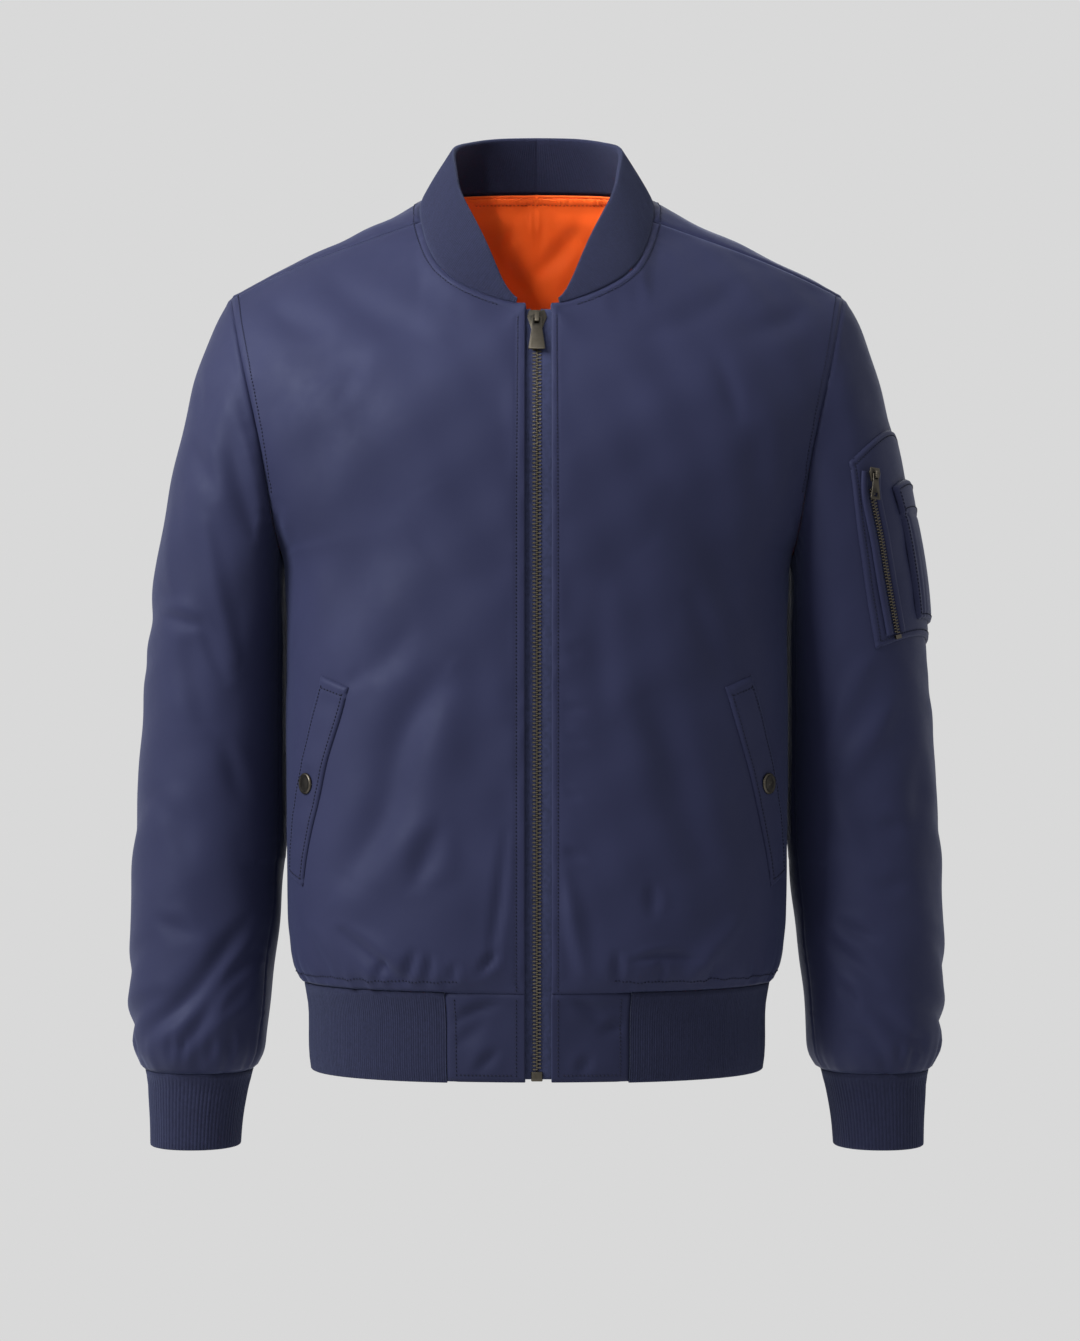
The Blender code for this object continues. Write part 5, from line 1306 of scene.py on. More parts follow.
def at_armhole(q):
    return ((np.abs(q[:, 0]) > 0.190) & (q[:, 2] > ARMPIT_Z - 0.004)
            & (np.abs(q[:, 0]) > 0.1935)).astype(float) * (1 - at_shoulder(q))


def at_side(q):
    return ((np.abs(q[:, 0]) > 0.160) & (q[:, 2] <= ARMPIT_Z - 0.004)
            & (q[:, 2] > HEM_SEAM_Z + 0.003)).astype(float)


def at_elastic(q):
    return at_hem(q) * ease((np.abs(q[:, 0]) - 0.055) / 0.02 + (q[:, 1] > 0) * 2)


def torso_mask(p, n):
    """Steady beside the zip and where the sleeve hangs close."""
    side = 1 - ease((np.abs(n[:, 0]) - 0.62) / 0.30) * (p[:, 2] < ARMPIT_Z + 0.02)
    zip_side = np.where(p[:, 1] < 0, 0.25 + 0.75 * ease((np.abs(p[:, 0]) - 0.014) / 0.014), 1)
    return (0.15 + 0.85 * side) * zip_side


def sleeve_mask(sign):
    def mask(p, n):
        inner = ease((-sign * n[:, 0] - 0.30) / 0.45) * (p[:, 2] > -0.50)
        out = 1 - 0.9 * inner
        if sign > 0:      # flat under the sleeve pocket
            box = ease((p[:, 2] + 0.352) / 0.018) * ease((-0.160 - p[:, 2]) / 0.018) \
                * ease((p[:, 0] - 0.226) / 0.014) * ease((0.060 - p[:, 1]) / 0.016)
            out = out * (1 - 0.93 * box)
        return out
    return mask


def sleeve_seam(sign, ring, start, stop):
    at = np.linspace(start, stop, 60)
    return sleeve_point(at, np.full(60, ring)) * (sign, 1, 1)


PATCH_FOLDS = {
    "right": [(3.4, 4.4, .5, [(-62, -613), (-44, -603), (-24, -595)]),
              (2.8, 4.0, .5, [(-45, -649), (-37, -641), (-29, -633)]),
              (2.0, 5.0, .4, [(-59, -629), (-47, -619), (-37, -610)])],
    "left": [(3.0, 4.4, -.5, [(21, -592), (33, -598), (46, -609)]),
             (2.6, 4.0, .5, [(48, -619), (58, -616), (68, -614)]),
             (2.6, 4.0, .5, [(30, -652), (34, -645), (39, -638)])]}
for side, sign, body_folds, arm, arm_back, arm_side in (
        ("right", -1, RIGHT_FRONT, RIGHT_SLEEVE, RIGHT_SLEEVE_BACK, RIGHT_SLEEVE_SIDE),
        ("left", 1, LEFT_FRONT, LEFT_SLEEVE, LEFT_SLEEVE_BACK, LEFT_SLEEVE_SIDE)):
    face_out = facing_left if sign > 0 else facing_right
    edge_row = 6.6 if sign < 0 else 4.5
    body_kinds = [
        (at_neck, 0.55, 15, 12.0, 0.85, (5.4,)), (at_armhole, 0.45, 10, 17.0, 0.9, ()),
        (at_elastic, 1.45, 20, 13.0, 0.9, (11.0,)), (at_elastic, 0.40, 9, 8.0, 0.0, ()), (at_hem, 0.25, 12, 21.0, 0.4, ()),
        (at_shoulder, 0.25, 9, 15.0, 0.75, ()), (at_side, 0.30, 10, 26.0, 0.6, ()),
        (at_edge, 0.50, 15, 31.0, 0.25, (edge_row,))]
    looks["front_" + side] = Relief(garment.sheets["front_" + side], body_kinds,
                                    [(facing_front, body_folds), (face_out, TORSO_SIDE)], torso_mask)
    cuff_end = lambda q: (q[:, 2] < -0.63).astype(float)
    head = lambda q: (q[:, 2] > -0.40).astype(float)
    looks["sleeve_" + side] = Relief(
        garment.sheets["sleeve_" + side],
        [(head, 0.55, 13, 15.0, 0.9, ()), (cuff_end, 1.5, 24, 15.5, 1.0, ())],
        [(facing_front, arm), (facing_back, arm_back), (face_out, arm_side)], sleeve_mask(sign),
        lines=[(sleeve_seam(sign, 0.50, 6.2, 10.9), 0.8, 1.3, 0.6, 9, 8.0),
               (sleeve_seam(sign, 0.50, 0.0, 6.2), 0.5, 1.2, 0.2, 7, 11.0)])
    looks["hem_patch_" + side] = Relief(
        garment.sheets["hem_patch_" + side],
        [(lambda q: (q[:, 2] > HEM_SEAM_Z - 0.002).astype(float), 0.14, 10, 17.0, 0.8, ()),
         (lambda q: (np.abs(q[:, 0]) > 0.060).astype(float), 0.19, 9, 9.0, 0.8, (7.5,))],
        [(facing_front, PATCH_FOLDS[side])], lambda p, n: 0.8 * ease((np.abs(p[:, 0]) - 0.012) / 0.02))
looks["back"] = Relief(
    garment.sheets["back"],
    [(at_neck, 0.5, 14, 12.0, 0.85, (5.4,)), (at_armhole, 0.45, 10, 17.0, 0.9, ()),
     (at_elastic, 1.3, 22, 13.5, 0.9, (11.0,)), (at_shoulder, 0.25, 9, 15.0, 0.75, ()),
     (at_side, 0.30, 10, 26.0, 0.6, ())],
    [(facing_back, BACK_FOLDS), (facing_left, TORSO_SIDE), (facing_right, TORSO_SIDE)], torso_mask)



def hang_close(s, sign, body):
    """Fullness of a sleeve on the side turned to the body, as far as there is room for it."""
    want = 0.0036 * ease((-sign * s.n[:, 0] - 0.15) / 0.40) * ease((s.p[:, 2] + 0.495) / 0.035) \
        * ease((-0.245 - s.p[:, 2]) / 0.035) * ease((s.p[:, 1] + 0.004) / 0.020)
    tree = KDTree(len(body))
    for k, q in enumerate(body):
        tree.insert(q, k)
    tree.balance()
    room = np.full(len(s.p), 1.0)
    for k in np.nonzero(want > 0)[0]:
        room[k] = tree.find(s.p[k])[2]
    return np.minimum(want, np.maximum(room - 0.0036, 0))


def edge_out(s):
    """The way each rim point of a panel faces, along its cloth."""
    mid, total, count = s.p[s.f].mean(1), np.zeros_like(s.p), np.zeros(len(s.p))
    for k in range(4):
        np.add.at(total, s.f[:, k], mid)
        np.add.at(count, s.f[:, k], 1)
    out = s.p - total / count[:, None]
    edges = np.asarray(s.rim).reshape(-1, 2)
    run = np.zeros_like(s.p)
    for k in range(2):
        np.add.at(run, edges[:, k], s.p[edges[:, 1]] - s.p[edges[:, 0]])
    run = run / np.maximum(np.linalg.norm(run, axis=1), 1e-9)[:, None]
    out = out - s.n * (out * s.n).sum(1)[:, None]
    out = out - run * (out * run).sum(1)[:, None]
    return out / np.maximum(np.linalg.norm(out, axis=1), 1e-6)[:, None]


cloth_flat = {}
shaped = {}
for name, relief in looks.items():
    s = garment.sheets[name]
    height = relief.at(s.p, s.n)
    if name.startswith("sleeve"):
        side = name.split("_")[1]
        near = np.vstack([garment.sheets["front_" + side].p, garment.sheets["back"].p])
        height = height + hang_close(s, 1 if side == "left" else -1, near)
    plain_n = s.n.copy()
    outer = s.p + s.move * 0.1 + s.n * height[:, None]
    n_new = vertex_normals(outer, s.f)
    on_rim = np.zeros(len(s.p), bool)
    on_rim[np.unique(s.rim)] = True
    n_new[on_rim] = unit(n_new[on_rim] + s.n[on_rim])
    wall = np.full(len(s.p), CLOTH)
    if name.startswith("front") or name.startswith("hem_patch"):
        wall = wall + 0.0012 * np.exp(-((np.abs(s.p[:, 0]) - 0.010) / 0.010) ** 2)
    inner = outer - n_new * wall[:, None]
    seam = edge_out(s)          # the seam allowances meet under the seam
    outer[on_rim] += seam[on_rim] * 0.00008
    inner[on_rim] += seam[on_rim] * 0.00030
    rim = rim_faces(s)
    faces = np.vstack([s.f, s.f[:, INNER] + len(outer), rim])
    from_rim = relief.rim(s.p)[0][s.f].min(1)
    index = np.concatenate([np.zeros(len(s.f)), (from_rim > 0.016).astype(float), np.zeros(len(rim))])
    # The hem patches take the darker copy of the shell satin: painted shade at the hem.
    o = make_mesh(name + "_cloth", np.vstack([outer, inner]), faces,
                  [M_SHELL_PAINTED_SHADE if name.startswith("hem_patch") else M_SHELL, M_LINING], index)
    settle(o, "shell", name)
    shaped[name] = (outer, n_new)
    tri = outer[s.f]
    area = 0.5 * (np.linalg.norm(np.cross(tri[:, 1] - tri[:, 0], tri[:, 2] - tri[:, 0]), axis=1)
                  + np.linalg.norm(np.cross(tri[:, 2] - tri[:, 0], tri[:, 3] - tri[:, 0]), axis=1)).sum()
    cloth_flat[name] = (o, area)


def shaped_grid(name, rows, start=0):
    """Points and normals of a finished panel laid out as its grid again."""
    s = garment.sheets[name]
    outer, n = shaped[name]
    slot = s.slot[start:start + rows[0] * rows[1]].reshape(rows)
    return outer[slot], n[slot]


def track(grid, normals, distance, far=False):
    """A line at a distance from one end of each row of a panel."""
    pts, nrm = [], []
    for row, nor in zip(grid, normals):
        if far:
            row, nor = row[::-1], nor[::-1]
        run = np.concatenate([[0], np.cumsum(np.linalg.norm(np.diff(row, axis=0), axis=1))])
        pts.append([np.interp(distance, run, row[:, k]) for k in range(3)])
        nrm.append([np.interp(distance, run, nor[:, k]) for k in range(3)])
    return np.array(pts), unit(np.array(nrm))


def resample(pts, nrm, pitch):
    run = np.concatenate([[0], np.cumsum(np.linalg.norm(np.diff(pts, axis=0), axis=1))])
    n = max(1, int(run[-1] / pitch))
    where = (np.arange(n) + 0.5) * run[-1] / n
    p = np.stack([np.interp(where, run, pts[:, k]) for k in range(3)], 1)
    q = unit(np.stack([np.interp(where, run, nrm[:, k]) for k in range(3)], 1))
    ahead = np.stack([np.interp(where + 0.0004, run, pts[:, k]) for k in range(3)], 1)
    behind = np.stack([np.interp(where - 0.0004, run, pts[:, k]) for k in range(3)], 1)
    return p, q, unit(ahead - behind)


def stitches(name, lines, pitch=0.0028, length=0.0018, radius=0.00050, lift=0.00022, mat=None, slot="shell"):
    """Rows of thread stitches, half sunk in the cloth, as one mesh."""
    P, Q, T = [], [], []
    for pts, nrm in lines:
        p, q, t = resample(np.asarray(pts), np.asarray(nrm), pitch)
        P.append(p + q * lift)
        Q.append(q)
        T.append(t)
    P, Q, T = np.vstack(P), np.vstack(Q), np.vstack(T)
    S = unit(np.cross(T, Q))
    Q = unit(np.cross(S, T))
    shape = [(-0.5, 0, 0)]
    for k in (-0.30, 0.30):
        for a in range(4):
            shape.append((k, math.cos(a * math.pi / 2), math.sin(a * math.pi / 2)))
    shape.append((0.5, 0, 0))
    shape = np.array(shape)
    pts = (P[:, None] + T[:, None] * (shape[None, :, :1] * length)
           + S[:, None] * (shape[None, :, 1:2] * radius) + Q[:, None] * (shape[None, :, 2:3] * radius))
    tris = []
    for a in range(4):
        b = (a + 1) % 4
        tris += [(0, 1 + b, 1 + a), (1 + a, 1 + b, 5 + b), (1 + a, 5 + b, 5 + a), (9, 5 + a, 5 + b)]
    tris = np.array(tris)
    faces = (tris[None] + 10 * np.arange(len(P))[:, None, None]).reshape(-1, 3)
    # Unless another is given, the thread is the near-black navy: painted shade of the stitch holes.
    o = make_mesh(name, pts.reshape(-1, 3), faces, [mat or M_THREAD_PAINTED_SHADE])
    return settle(o, slot)


# ------------------------------------------------------------------ rib knit pieces
def even_columns(line, pitch, per, closed=False):
    """Shares along a line for a whole number of ribs, each with the same points."""
    pts = np.vstack([line, line[:1]]) if closed else line
    run = np.concatenate([[0], np.cumsum(np.linalg.norm(np.diff(pts, axis=0), axis=1))])
    ribs = int(round(run[-1] / pitch))
    n = ribs * per
    want = np.linspace(0, run[-1], n + 1)
    if closed:
        want = want[:-1]
    return run, want, ribs


def ribbed(name, rows, closed, wall, per, depth, hold, mat, tail=None):
    """A doubled knit band: rows from its seam to its folded edge, ribs across.

    rows: (r, c, 3) outer surface, already in even columns; hold: how much of
    the rib height each row shows, 0 at a seam."""
    r = rows.shape[0]
    pick = sorted({0, 1, r - 1} | set(range(2, r - 1, 2)))     # ribs run straight down the band
    rows, hold = rows[pick], np.asarray(hold)[pick]
    r, c = rows.shape[:2]
    step_c = (np.roll(rows, -1, axis=1) - np.roll(rows, 1, axis=1)) if closed else np.gradient(rows, axis=1)
    step_r = np.gradient(rows, axis=0)
    n = unit(np.cross(step_c, step_r))
    centre = rows.mean(axis=(0, 1)) * (0 if not closed else 1)
    if np.sum((rows[r // 2] - centre) * n[r // 2] * (1, 1, 0)) < 0:
        n = -n
    phase = np.arange(c) / per
    wave = np.abs(np.cos(np.pi * phase)) ** 0.8
    uneven = 1 + 0.14 * np.sin(phase * 2.3 + 0.5) + 0.10 * np.sin(phase * 0.77)
    up = depth * (wave * uneven)[None, :] * np.asarray(hold)[:, None]
    outer = rows + n * (up - depth * 0.5)[..., None]
    # the fold: half a turn round the band's thickness
    down = unit(step_r[-1])
    half = wall / 2
    arc = []
    for a in (30, 60, 90, 120, 150):
        t = math.radians(a)
        arc.append(rows[-1] - n[-1] * half + n[-1] * (half + up[-1] - depth * 0.5)[:, None] * math.cos(t)
                   + down * (half * 0.85) * math.sin(t))
    inside = rows - n * (wall + up * 0.6)[..., None]
    section = np.concatenate([outer, np.array(arc), inside[::-1]])
    R = len(section)
    idx = np.arange(R * c).reshape(R, c)
    if closed:
        idx = np.hstack([idx, idx[:, :1]])
    ring = np.vstack([idx, idx[:1]])
    quads = np.stack([ring[:-1, :-1], ring[:-1, 1:], ring[1:, 1:], ring[1:, :-1]], -1).reshape(-1, 4)
    extra = []
    if not closed:
        for col, turn in ((0, False), (c - 1, True)):
            rim = np.arange(R) * c + col
            i, j = 0, R - 1
            while j - i > 2:
                quad = [rim[i], rim[i + 1], rim[j - 1], rim[j]]
                extra.append(quad if turn else quad[::-1])
                i, j = i + 1, j - 1
            if j - i == 2:
                extra.append([rim[i], rim[i + 1], rim[j], rim[j]][::1 if turn else -1])
    p = section.reshape(-1, 3)
    f = np.vstack([quads, np.array(extra, int)]) if extra else quads
    # outward check
    a, b, d = p[f[:, 0]], p[f[:, 1]], p[f[:, 2]]
    e = p[f[:, 3]]
    volume = (np.einsum("ij,ij->i", a, np.cross(b, d)) + np.einsum("ij,ij->i", a, np.cross(d, e))).sum()
    if volume < 0:
        f = f[:, ::-1]
    f3 = [q for q in f if len(set(q)) == 3]
    f4 = np.array([q for q in f if len(set(q)) == 4])
    o = make_mesh(name, p, f4, [mat])
    if f3:
        import bmesh
        bm = bmesh.new()
        bm.from_mesh(o.data)
        bm.verts.ensure_lookup_table()
        for q in f3:
            seen = []
            for v in q:
                if v not in seen:
                    seen.append(v)
            bm.faces.new([bm.verts[int(v)] for v in seen]).smooth = True
        bm.to_mesh(o.data)
        bm.free()
    return o, outer, n


def resample_columns(rows, run, want, closed=False):
    if closed:
        rows = np.concatenate([rows, rows[:, :1]], axis=1)
    return np.stack([np.stack([np.interp(want, run, row[:, k]) for k in range(3)], 1) for row in rows])


RIB_PITCH = 0.0028

# Hem band, from patch to patch round the back.
t = np.linspace(0, 1, 700)


def hem_side(edge):
    z = HEM_SEAM_Z
    left = (edge, torso_y(np.array([edge]), np.array([z]), True)[0], z)
    half, side_y = TORSO.at("half_width side_y", z)[0]
    front_row = torso_row(left, (half, side_y, z), t, True)
    back_row = torso_row((0.0, torso_y(np.zeros(1), np.array([z]), False)[0], z), (half, side_y, z), t, False)
    f = hem_rows(front_row, True, 16)
    b = hem_rows(back_row, False, 16)
    keep = front_row[:, 0] > patch_x[edge]
    return np.concatenate([f[:, keep], b[:, ::-1][:, 1:]], axis=1)


patch_x = {}
for side, edge in (("left", EDGE_LEFT), ("right", EDGE_RIGHT)):
    top = garment.sheets["hem_patch_" + side].p
    patch_x[edge] = np.abs(top[top[:, 2] > HEM_SEAM_Z - 0.0005][:, 0]).max() + 0.0001
left_half, right_half = hem_side(EDGE_LEFT), hem_side(EDGE_RIGHT)
right_half = right_half * np.array([-1, 1, 1])
ring_rows = np.concatenate([left_half, right_half[:, ::-1][:, 1:]], axis=1)
run, want, ribs = even_columns(ring_rows[8], 0.0018, 4)
band = resample_columns(ring_rows, run, want)
hold = ease(np.linspace(0, 1, band.shape[0]) / 0.10)
hem_band, hem_outer, hem_n = ribbed("hem_rib_knit", band, False, 0.0030, 4, 0.00042, hold, M_KNIT)
settle(hem_band, "rib_knit", "hem_rib")

# Cuffs.
cuff_objects = {}
for side, sign in (("right", -1), ("left", 1)):
    ring = np.linspace(0, 8, 900, endpoint=False)
    at = span(0, CUFF_END, 20)
    rows = tube_point(CUFF, SLEEVE_SECTION, at[:, None], ring[None, :] * np.pi / 4)
    rows[0] = tube_point(SLEEVE, SLEEVE_SECTION, SLEEVE_END, ring * np.pi / 4)
    rows = rows * np.array([sign, 1, 1])
    run, want, ribs = even_columns(rows[12], RIB_PITCH, 6, closed=True)
    band = resample_columns(rows, run, want, closed=True)
    hold = ease(np.linspace(0, 1, band.shape[0]) / 0.12)
    o, _, _ = ribbed("cuff_%s_knit" % side, band, True, 0.0030, 6, 0.00052, hold, M_KNIT)
    cuff_objects[side] = settle(o, "rib_knit", "cuff_" + side)

# Collar.
stops = np.concatenate([np.linspace(COLLAR_START, 1, 120), np.linspace(1, 7, 700)[1:]])


def collar_half(edge):
    low = np.array([neck_point(k, edge) if k < 4 else NECK.at("x y z", k)[0] for k in stops])
    top = NECK.at("top_x top_y top_z", stops)
    top[:, 0] += (edge - EDGE_LEFT) * np.maximum(0, 1 - stops / 0.6)
    rise = top - low
    along = np.gradient(low, axis=0)
    along[-1] = (-1, 0, 0)
    out = unit(np.cross(along, rise))
    high = np.linalg.norm(rise, axis=1)
    return np.array([low + rise * u + out * (0.02 * high * math.sin(math.pi * u ** 0.8))[:, None]
                     for u in np.linspace(0, 1, 19)])


left_half = collar_half(EDGE_LEFT)
right_half = collar_half(EDGE_RIGHT) * np.array([-1, 1, 1])
ring_rows = np.concatenate([left_half, right_half[:, ::-1][:, 1:]], axis=1)
run, want, ribs = even_columns(ring_rows[12], 0.0018, 4)
band = resample_columns(ring_rows, run, want)
hold = ease(np.linspace(0, 1, band.shape[0]) / 0.10)
collar_look, collar_outer, collar_n = ribbed("collar_knit", band, False, COLLAR - 0.0008, 4, 0.00038, hold, M_KNIT)
settle(collar_look, "rib_knit", "collar")

# ------------------------------------------------------------------ lining of the upper back
first = FINE.flank + int(round(FINE.back_chest * 0.6))
last = FINE.flank + FINE.back_chest + int(round(FINE.back_yoke * 0.93))
u_fine = shares_of(FINE)
keep = int(np.argmin(np.abs(u_fine - 8 / 12))) + 1
rows_back = FINE.flank + FINE.back_chest + FINE.back_yoke + 1
cols_back = len(u_fine)
panels = []
for k, sign in ((0, -1), (1, 1)):
    start = k * (rows_back * cols_back + (FINE.over + 1) * cols_back)
    g, nn = shaped_grid("back", (rows_back, cols_back), start)
    panels.append((g[first:last, :keep], nn[first:last, :keep]))


def lining_folds(p):
    """Soft diagonal folds, and the gathered casing below the collar."""
    line = [(2.8, 6, .5, [(31, -2), (16, -24), (-4, -37)]), (2.2, 5, -.5, [(40, -10), (51, -25)]),
            (2.0, 5, .5, [(32, -21), (38, -38)]), (2.6, 7, .5, [(-33, -26), (-16, -43), (-3, -55)]),
            (2.4, 6, .5, [(20, -59), (2, -73), (-9, -85)]), (1.9, 5, .4, [(31, -47), (20, -60)]),
            (1.8, 6, .5, [(-44, -4), (-36, -20), (-34, -34)]), (1.6, 5, -.4, [(-18, -4), (-22, -20)]),
            (1.5, 5, .4, [(4, -2), (2, -17)]), (1.2, 9, .5, [(4, -84), (-26, -110), (-50, -150)]),
            (1.1, 8, .5, [(60, -60), (36, -100), (24, -150)])]
    z = p[:, 2]
    gather = 0.00080 * ripple(p[:, 0], 0.0085) * np.exp(-((0.010 - z) / 0.016) ** 2) * (z < 0.012)
    return (fold_field(p[:, [0, 2]], line) + gather) * ease((0.013 - z) / 0.010)


pts_l, nrm_l, quads_l, base = [], [], [], 0
for (g, nn), sign in zip(panels, (-1, 1)):
    flat = g.reshape(-1, 3)
    nf = nn.reshape(-1, 3)
    drop = np.maximum(0.0034, 0.0036 + 0.0020 * ease((0.011 - flat[:, 2]) / 0.012) + lining_folds(flat))
    under = flat - nf * drop[:, None]
    r, c = g.shape[:2]
    idx = base + np.arange(r * c).reshape(r, c)
    q = np.stack([idx[:-1, :-1], idx[:-1, 1:], idx[1:, 1:], idx[1:, :-1]], -1).reshape(-1, 4)
    quads_l.append(q[:, INNER] if sign < 0 else q)
    pts_l.append(under)
    nrm_l.append(nf)
    base += r * c
pts_l, nrm_l, quads_l = np.vstack(pts_l), np.vstack(nrm_l), np.vstack(quads_l)
key = np.round(pts_l, 6) + 0.0
_, first_i, back_i = np.unique(key, axis=0, return_index=True, return_inverse=True)
back_i = back_i.ravel()
pts_l, nrm_l, quads_l = pts_l[first_i], nrm_l[first_i], back_i[quads_l]
n_l = len(pts_l)
centre = np.cross(pts_l[quads_l[:, 2]] - pts_l[quads_l[:, 0]], pts_l[quads_l[:, 3]] - pts_l[quads_l[:, 1]])
if np.sum(centre * nrm_l[quads_l[:, 0]]) < 0:
    quads_l = quads_l[:, INNER]
rim_l = boundary(quads_l, n_l)
a, b = rim_l[:, 0], rim_l[:, 1]
wall_l = np.vstack([quads_l, quads_l[:, INNER] + n_l, np.stack([a, a + n_l, b + n_l, b], 1)])
lining = make_mesh("lining_back_cloth", np.vstack([pts_l, pts_l - nrm_l * 0.0009]), wall_l, [M_LINING])
settle(lining, "lining", "lining_back")

# The body's finished surface as a cloud, to lay lines on.
body_p = np.vstack([shaped[k][0] for k in ("front_left", "front_right", "back")])
body_n = np.vstack([shaped[k][1] for k in ("front_left", "front_right", "back")])


def on_cloth(p, n, cloud_p, cloud_n):
    """Points moved along n onto the cloth's own surface; also its normals."""
    out, nrm = p.copy(), n.copy()
    for i in range(len(p)):
        d = ((cloud_p - p[i]) ** 2).sum(1)
        near = np.argsort(d)[:4]
        w = 1 / (d[near] + 1e-8)
        q = (cloud_p[near] * w[:, None]).sum(0) / w.sum()
        m = unit(((cloud_n[near] * w[:, None]).sum(0))[None])[0]
        out[i] = p[i] - np.dot(p[i] - q, m) * m
        nrm[i] = m
    return out, nrm


def beside_neck(k, distance, sign):
    """A line on the body at a distance outside the neck seam."""
    edge = EDGE_LEFT if sign > 0 else EDGE_RIGHT
    p = np.array([neck_point(v, edge) if v < 4 else NECK.at("x y z", v)[0] for v in k])
    t = unit(np.gradient(p, axis=0))
    region = body_p[:, 0] > -0.02
    cloud_p, cloud_n = body_p * (sign, 1, 1), body_n * (sign, 1, 1)
    keep_c = (cloud_p[:, 0] > -0.004) & (cloud_p[:, 0] < 0.14) & (cloud_p[:, 2] > -0.13)
    cloud_p, cloud_n = cloud_p[keep_c], cloud_n[keep_c]
    _, m = on_cloth(p, t, cloud_p, cloud_n)
    side_dir = unit(np.cross(m, t))
    centre = np.array([0.0, -0.004, 0.03])
    side_dir = side_dir * np.where(((p - centre) * side_dir).sum(1) < 0, -1.0, 1.0)[:, None]
    q, m = on_cloth(p + side_dir * distance, m, cloud_p, cloud_n)
    return q * (sign, 1, 1), m * (sign, 1, 1)


# Gathered casing of the lining along the back neck.
def casing():
    k = np.concatenate([np.linspace(3.3, 7, 220)])
    right, rn = [], []
    rows_p, rows_n = [], []
    levels = np.array([0.0022, 0.0030, 0.0045, 0.0060, 0.0075, 0.0086, 0.0096, 0.0102])
    for d in levels:
        l_p, l_n = beside_neck(k, d, 1)
        r_p, r_n = l_p * (-1, 1, 1), l_n * (-1, 1, 1)
        rows_p.append(np.vstack([l_p, r_p[::-1][1:]]))
        rows_n.append(np.vstack([l_n, r_n[::-1][1:]]))
    P, N = np.array(rows_p), np.array(rows_n)
    run = np.concatenate([[0], np.cumsum(np.linalg.norm(np.diff(P[3], axis=0), axis=1))])
    count = int(run[-1] / 0.00055)
    want = np.linspace(0, run[-1], count)
    P = np.stack([np.stack([np.interp(want, run, row[:, j]) for j in range(3)], 1) for row in P])
    N = unit(np.stack([np.stack([np.interp(want, run, row[:, j]) for j in range(3)], 1) for row in N]))
    s = want[None, :]
    belly = np.array([0.1, 0.7, 1.0, 1.0, 1.0, 0.7, 0.1, 0.0])[:, None]
    pleat = 0.5 * ripple(s, 0.0033) + 0.35 * ripple(s + 0.013, 0.0051)
    height = belly * (0.0007 + 0.00055 * pleat)
    return P, N, -(0.0044 + height), want




# ------------------------------------------------------------------ pieces that lie on the cloth
def overlay(name, grid, normals, top, under, mat, slot_name, node):
    """A piece of cloth on a panel: grid is the panel's own surface, top and
    under its two faces' heights over it."""
    r, c = grid.shape[:2]
    up = grid + normals * top[..., None]
    low = grid + normals * (under[..., None] if np.ndim(under) else under)
    idx = np.arange(r * c).reshape(r, c)
    q = np.stack([idx[:-1, :-1], idx[:-1, 1:], idx[1:, 1:], idx[1:, :-1]], -1).reshape(-1, 4)
    p = up.reshape(-1, 3)
    centre = np.cross(p[q[:, 2]] - p[q[:, 0]], p[q[:, 3]] - p[q[:, 1]])
    if np.sum(centre * normals.reshape(-1, 3)[q[:, 0]]) < 0:
        q = q[:, INNER]
    n = r * c
    rim = boundary(q, n)
    a, b = rim[:, 0], rim[:, 1]
    o = make_mesh(name, np.vstack([p, low.reshape(-1, 3)]),
                  np.vstack([q, q[:, INNER] + n, np.stack([a, a + n, b + n, b], 1)]), [mat])
    settle(o, slot_name, *( [node] if node else []))
    return o, up


def pillow(r, c, height, edge_u, edge_v, base):
    """Flat on top with edges that roll down; the shares of it that roll."""
    u = np.linspace(0, 1, c)[None, :]
    v = np.linspace(0, 1, r)[:, None]
    fu = np.clip(np.minimum(u, 1 - u) / edge_u, 0, 1)
    fv = np.clip(np.minimum(v, 1 - v) / edge_v, 0, 1)
    f = np.sqrt(np.clip(1 - (1 - fu) ** 2, 0, 1)) * np.sqrt(np.clip(1 - (1 - fv) ** 2, 0, 1))
    return base + (height - base) * f


P_c, N_c, h_c, s_c = casing()
under_c = np.full(h_c.shape, -0.0034)
casing_look, casing_up = overlay("lining_casing", P_c, N_c, under_c, h_c, M_LINING, "lining", None)
casing_line = P_c[6] + N_c[6] * -0.0046, -N_c[6]

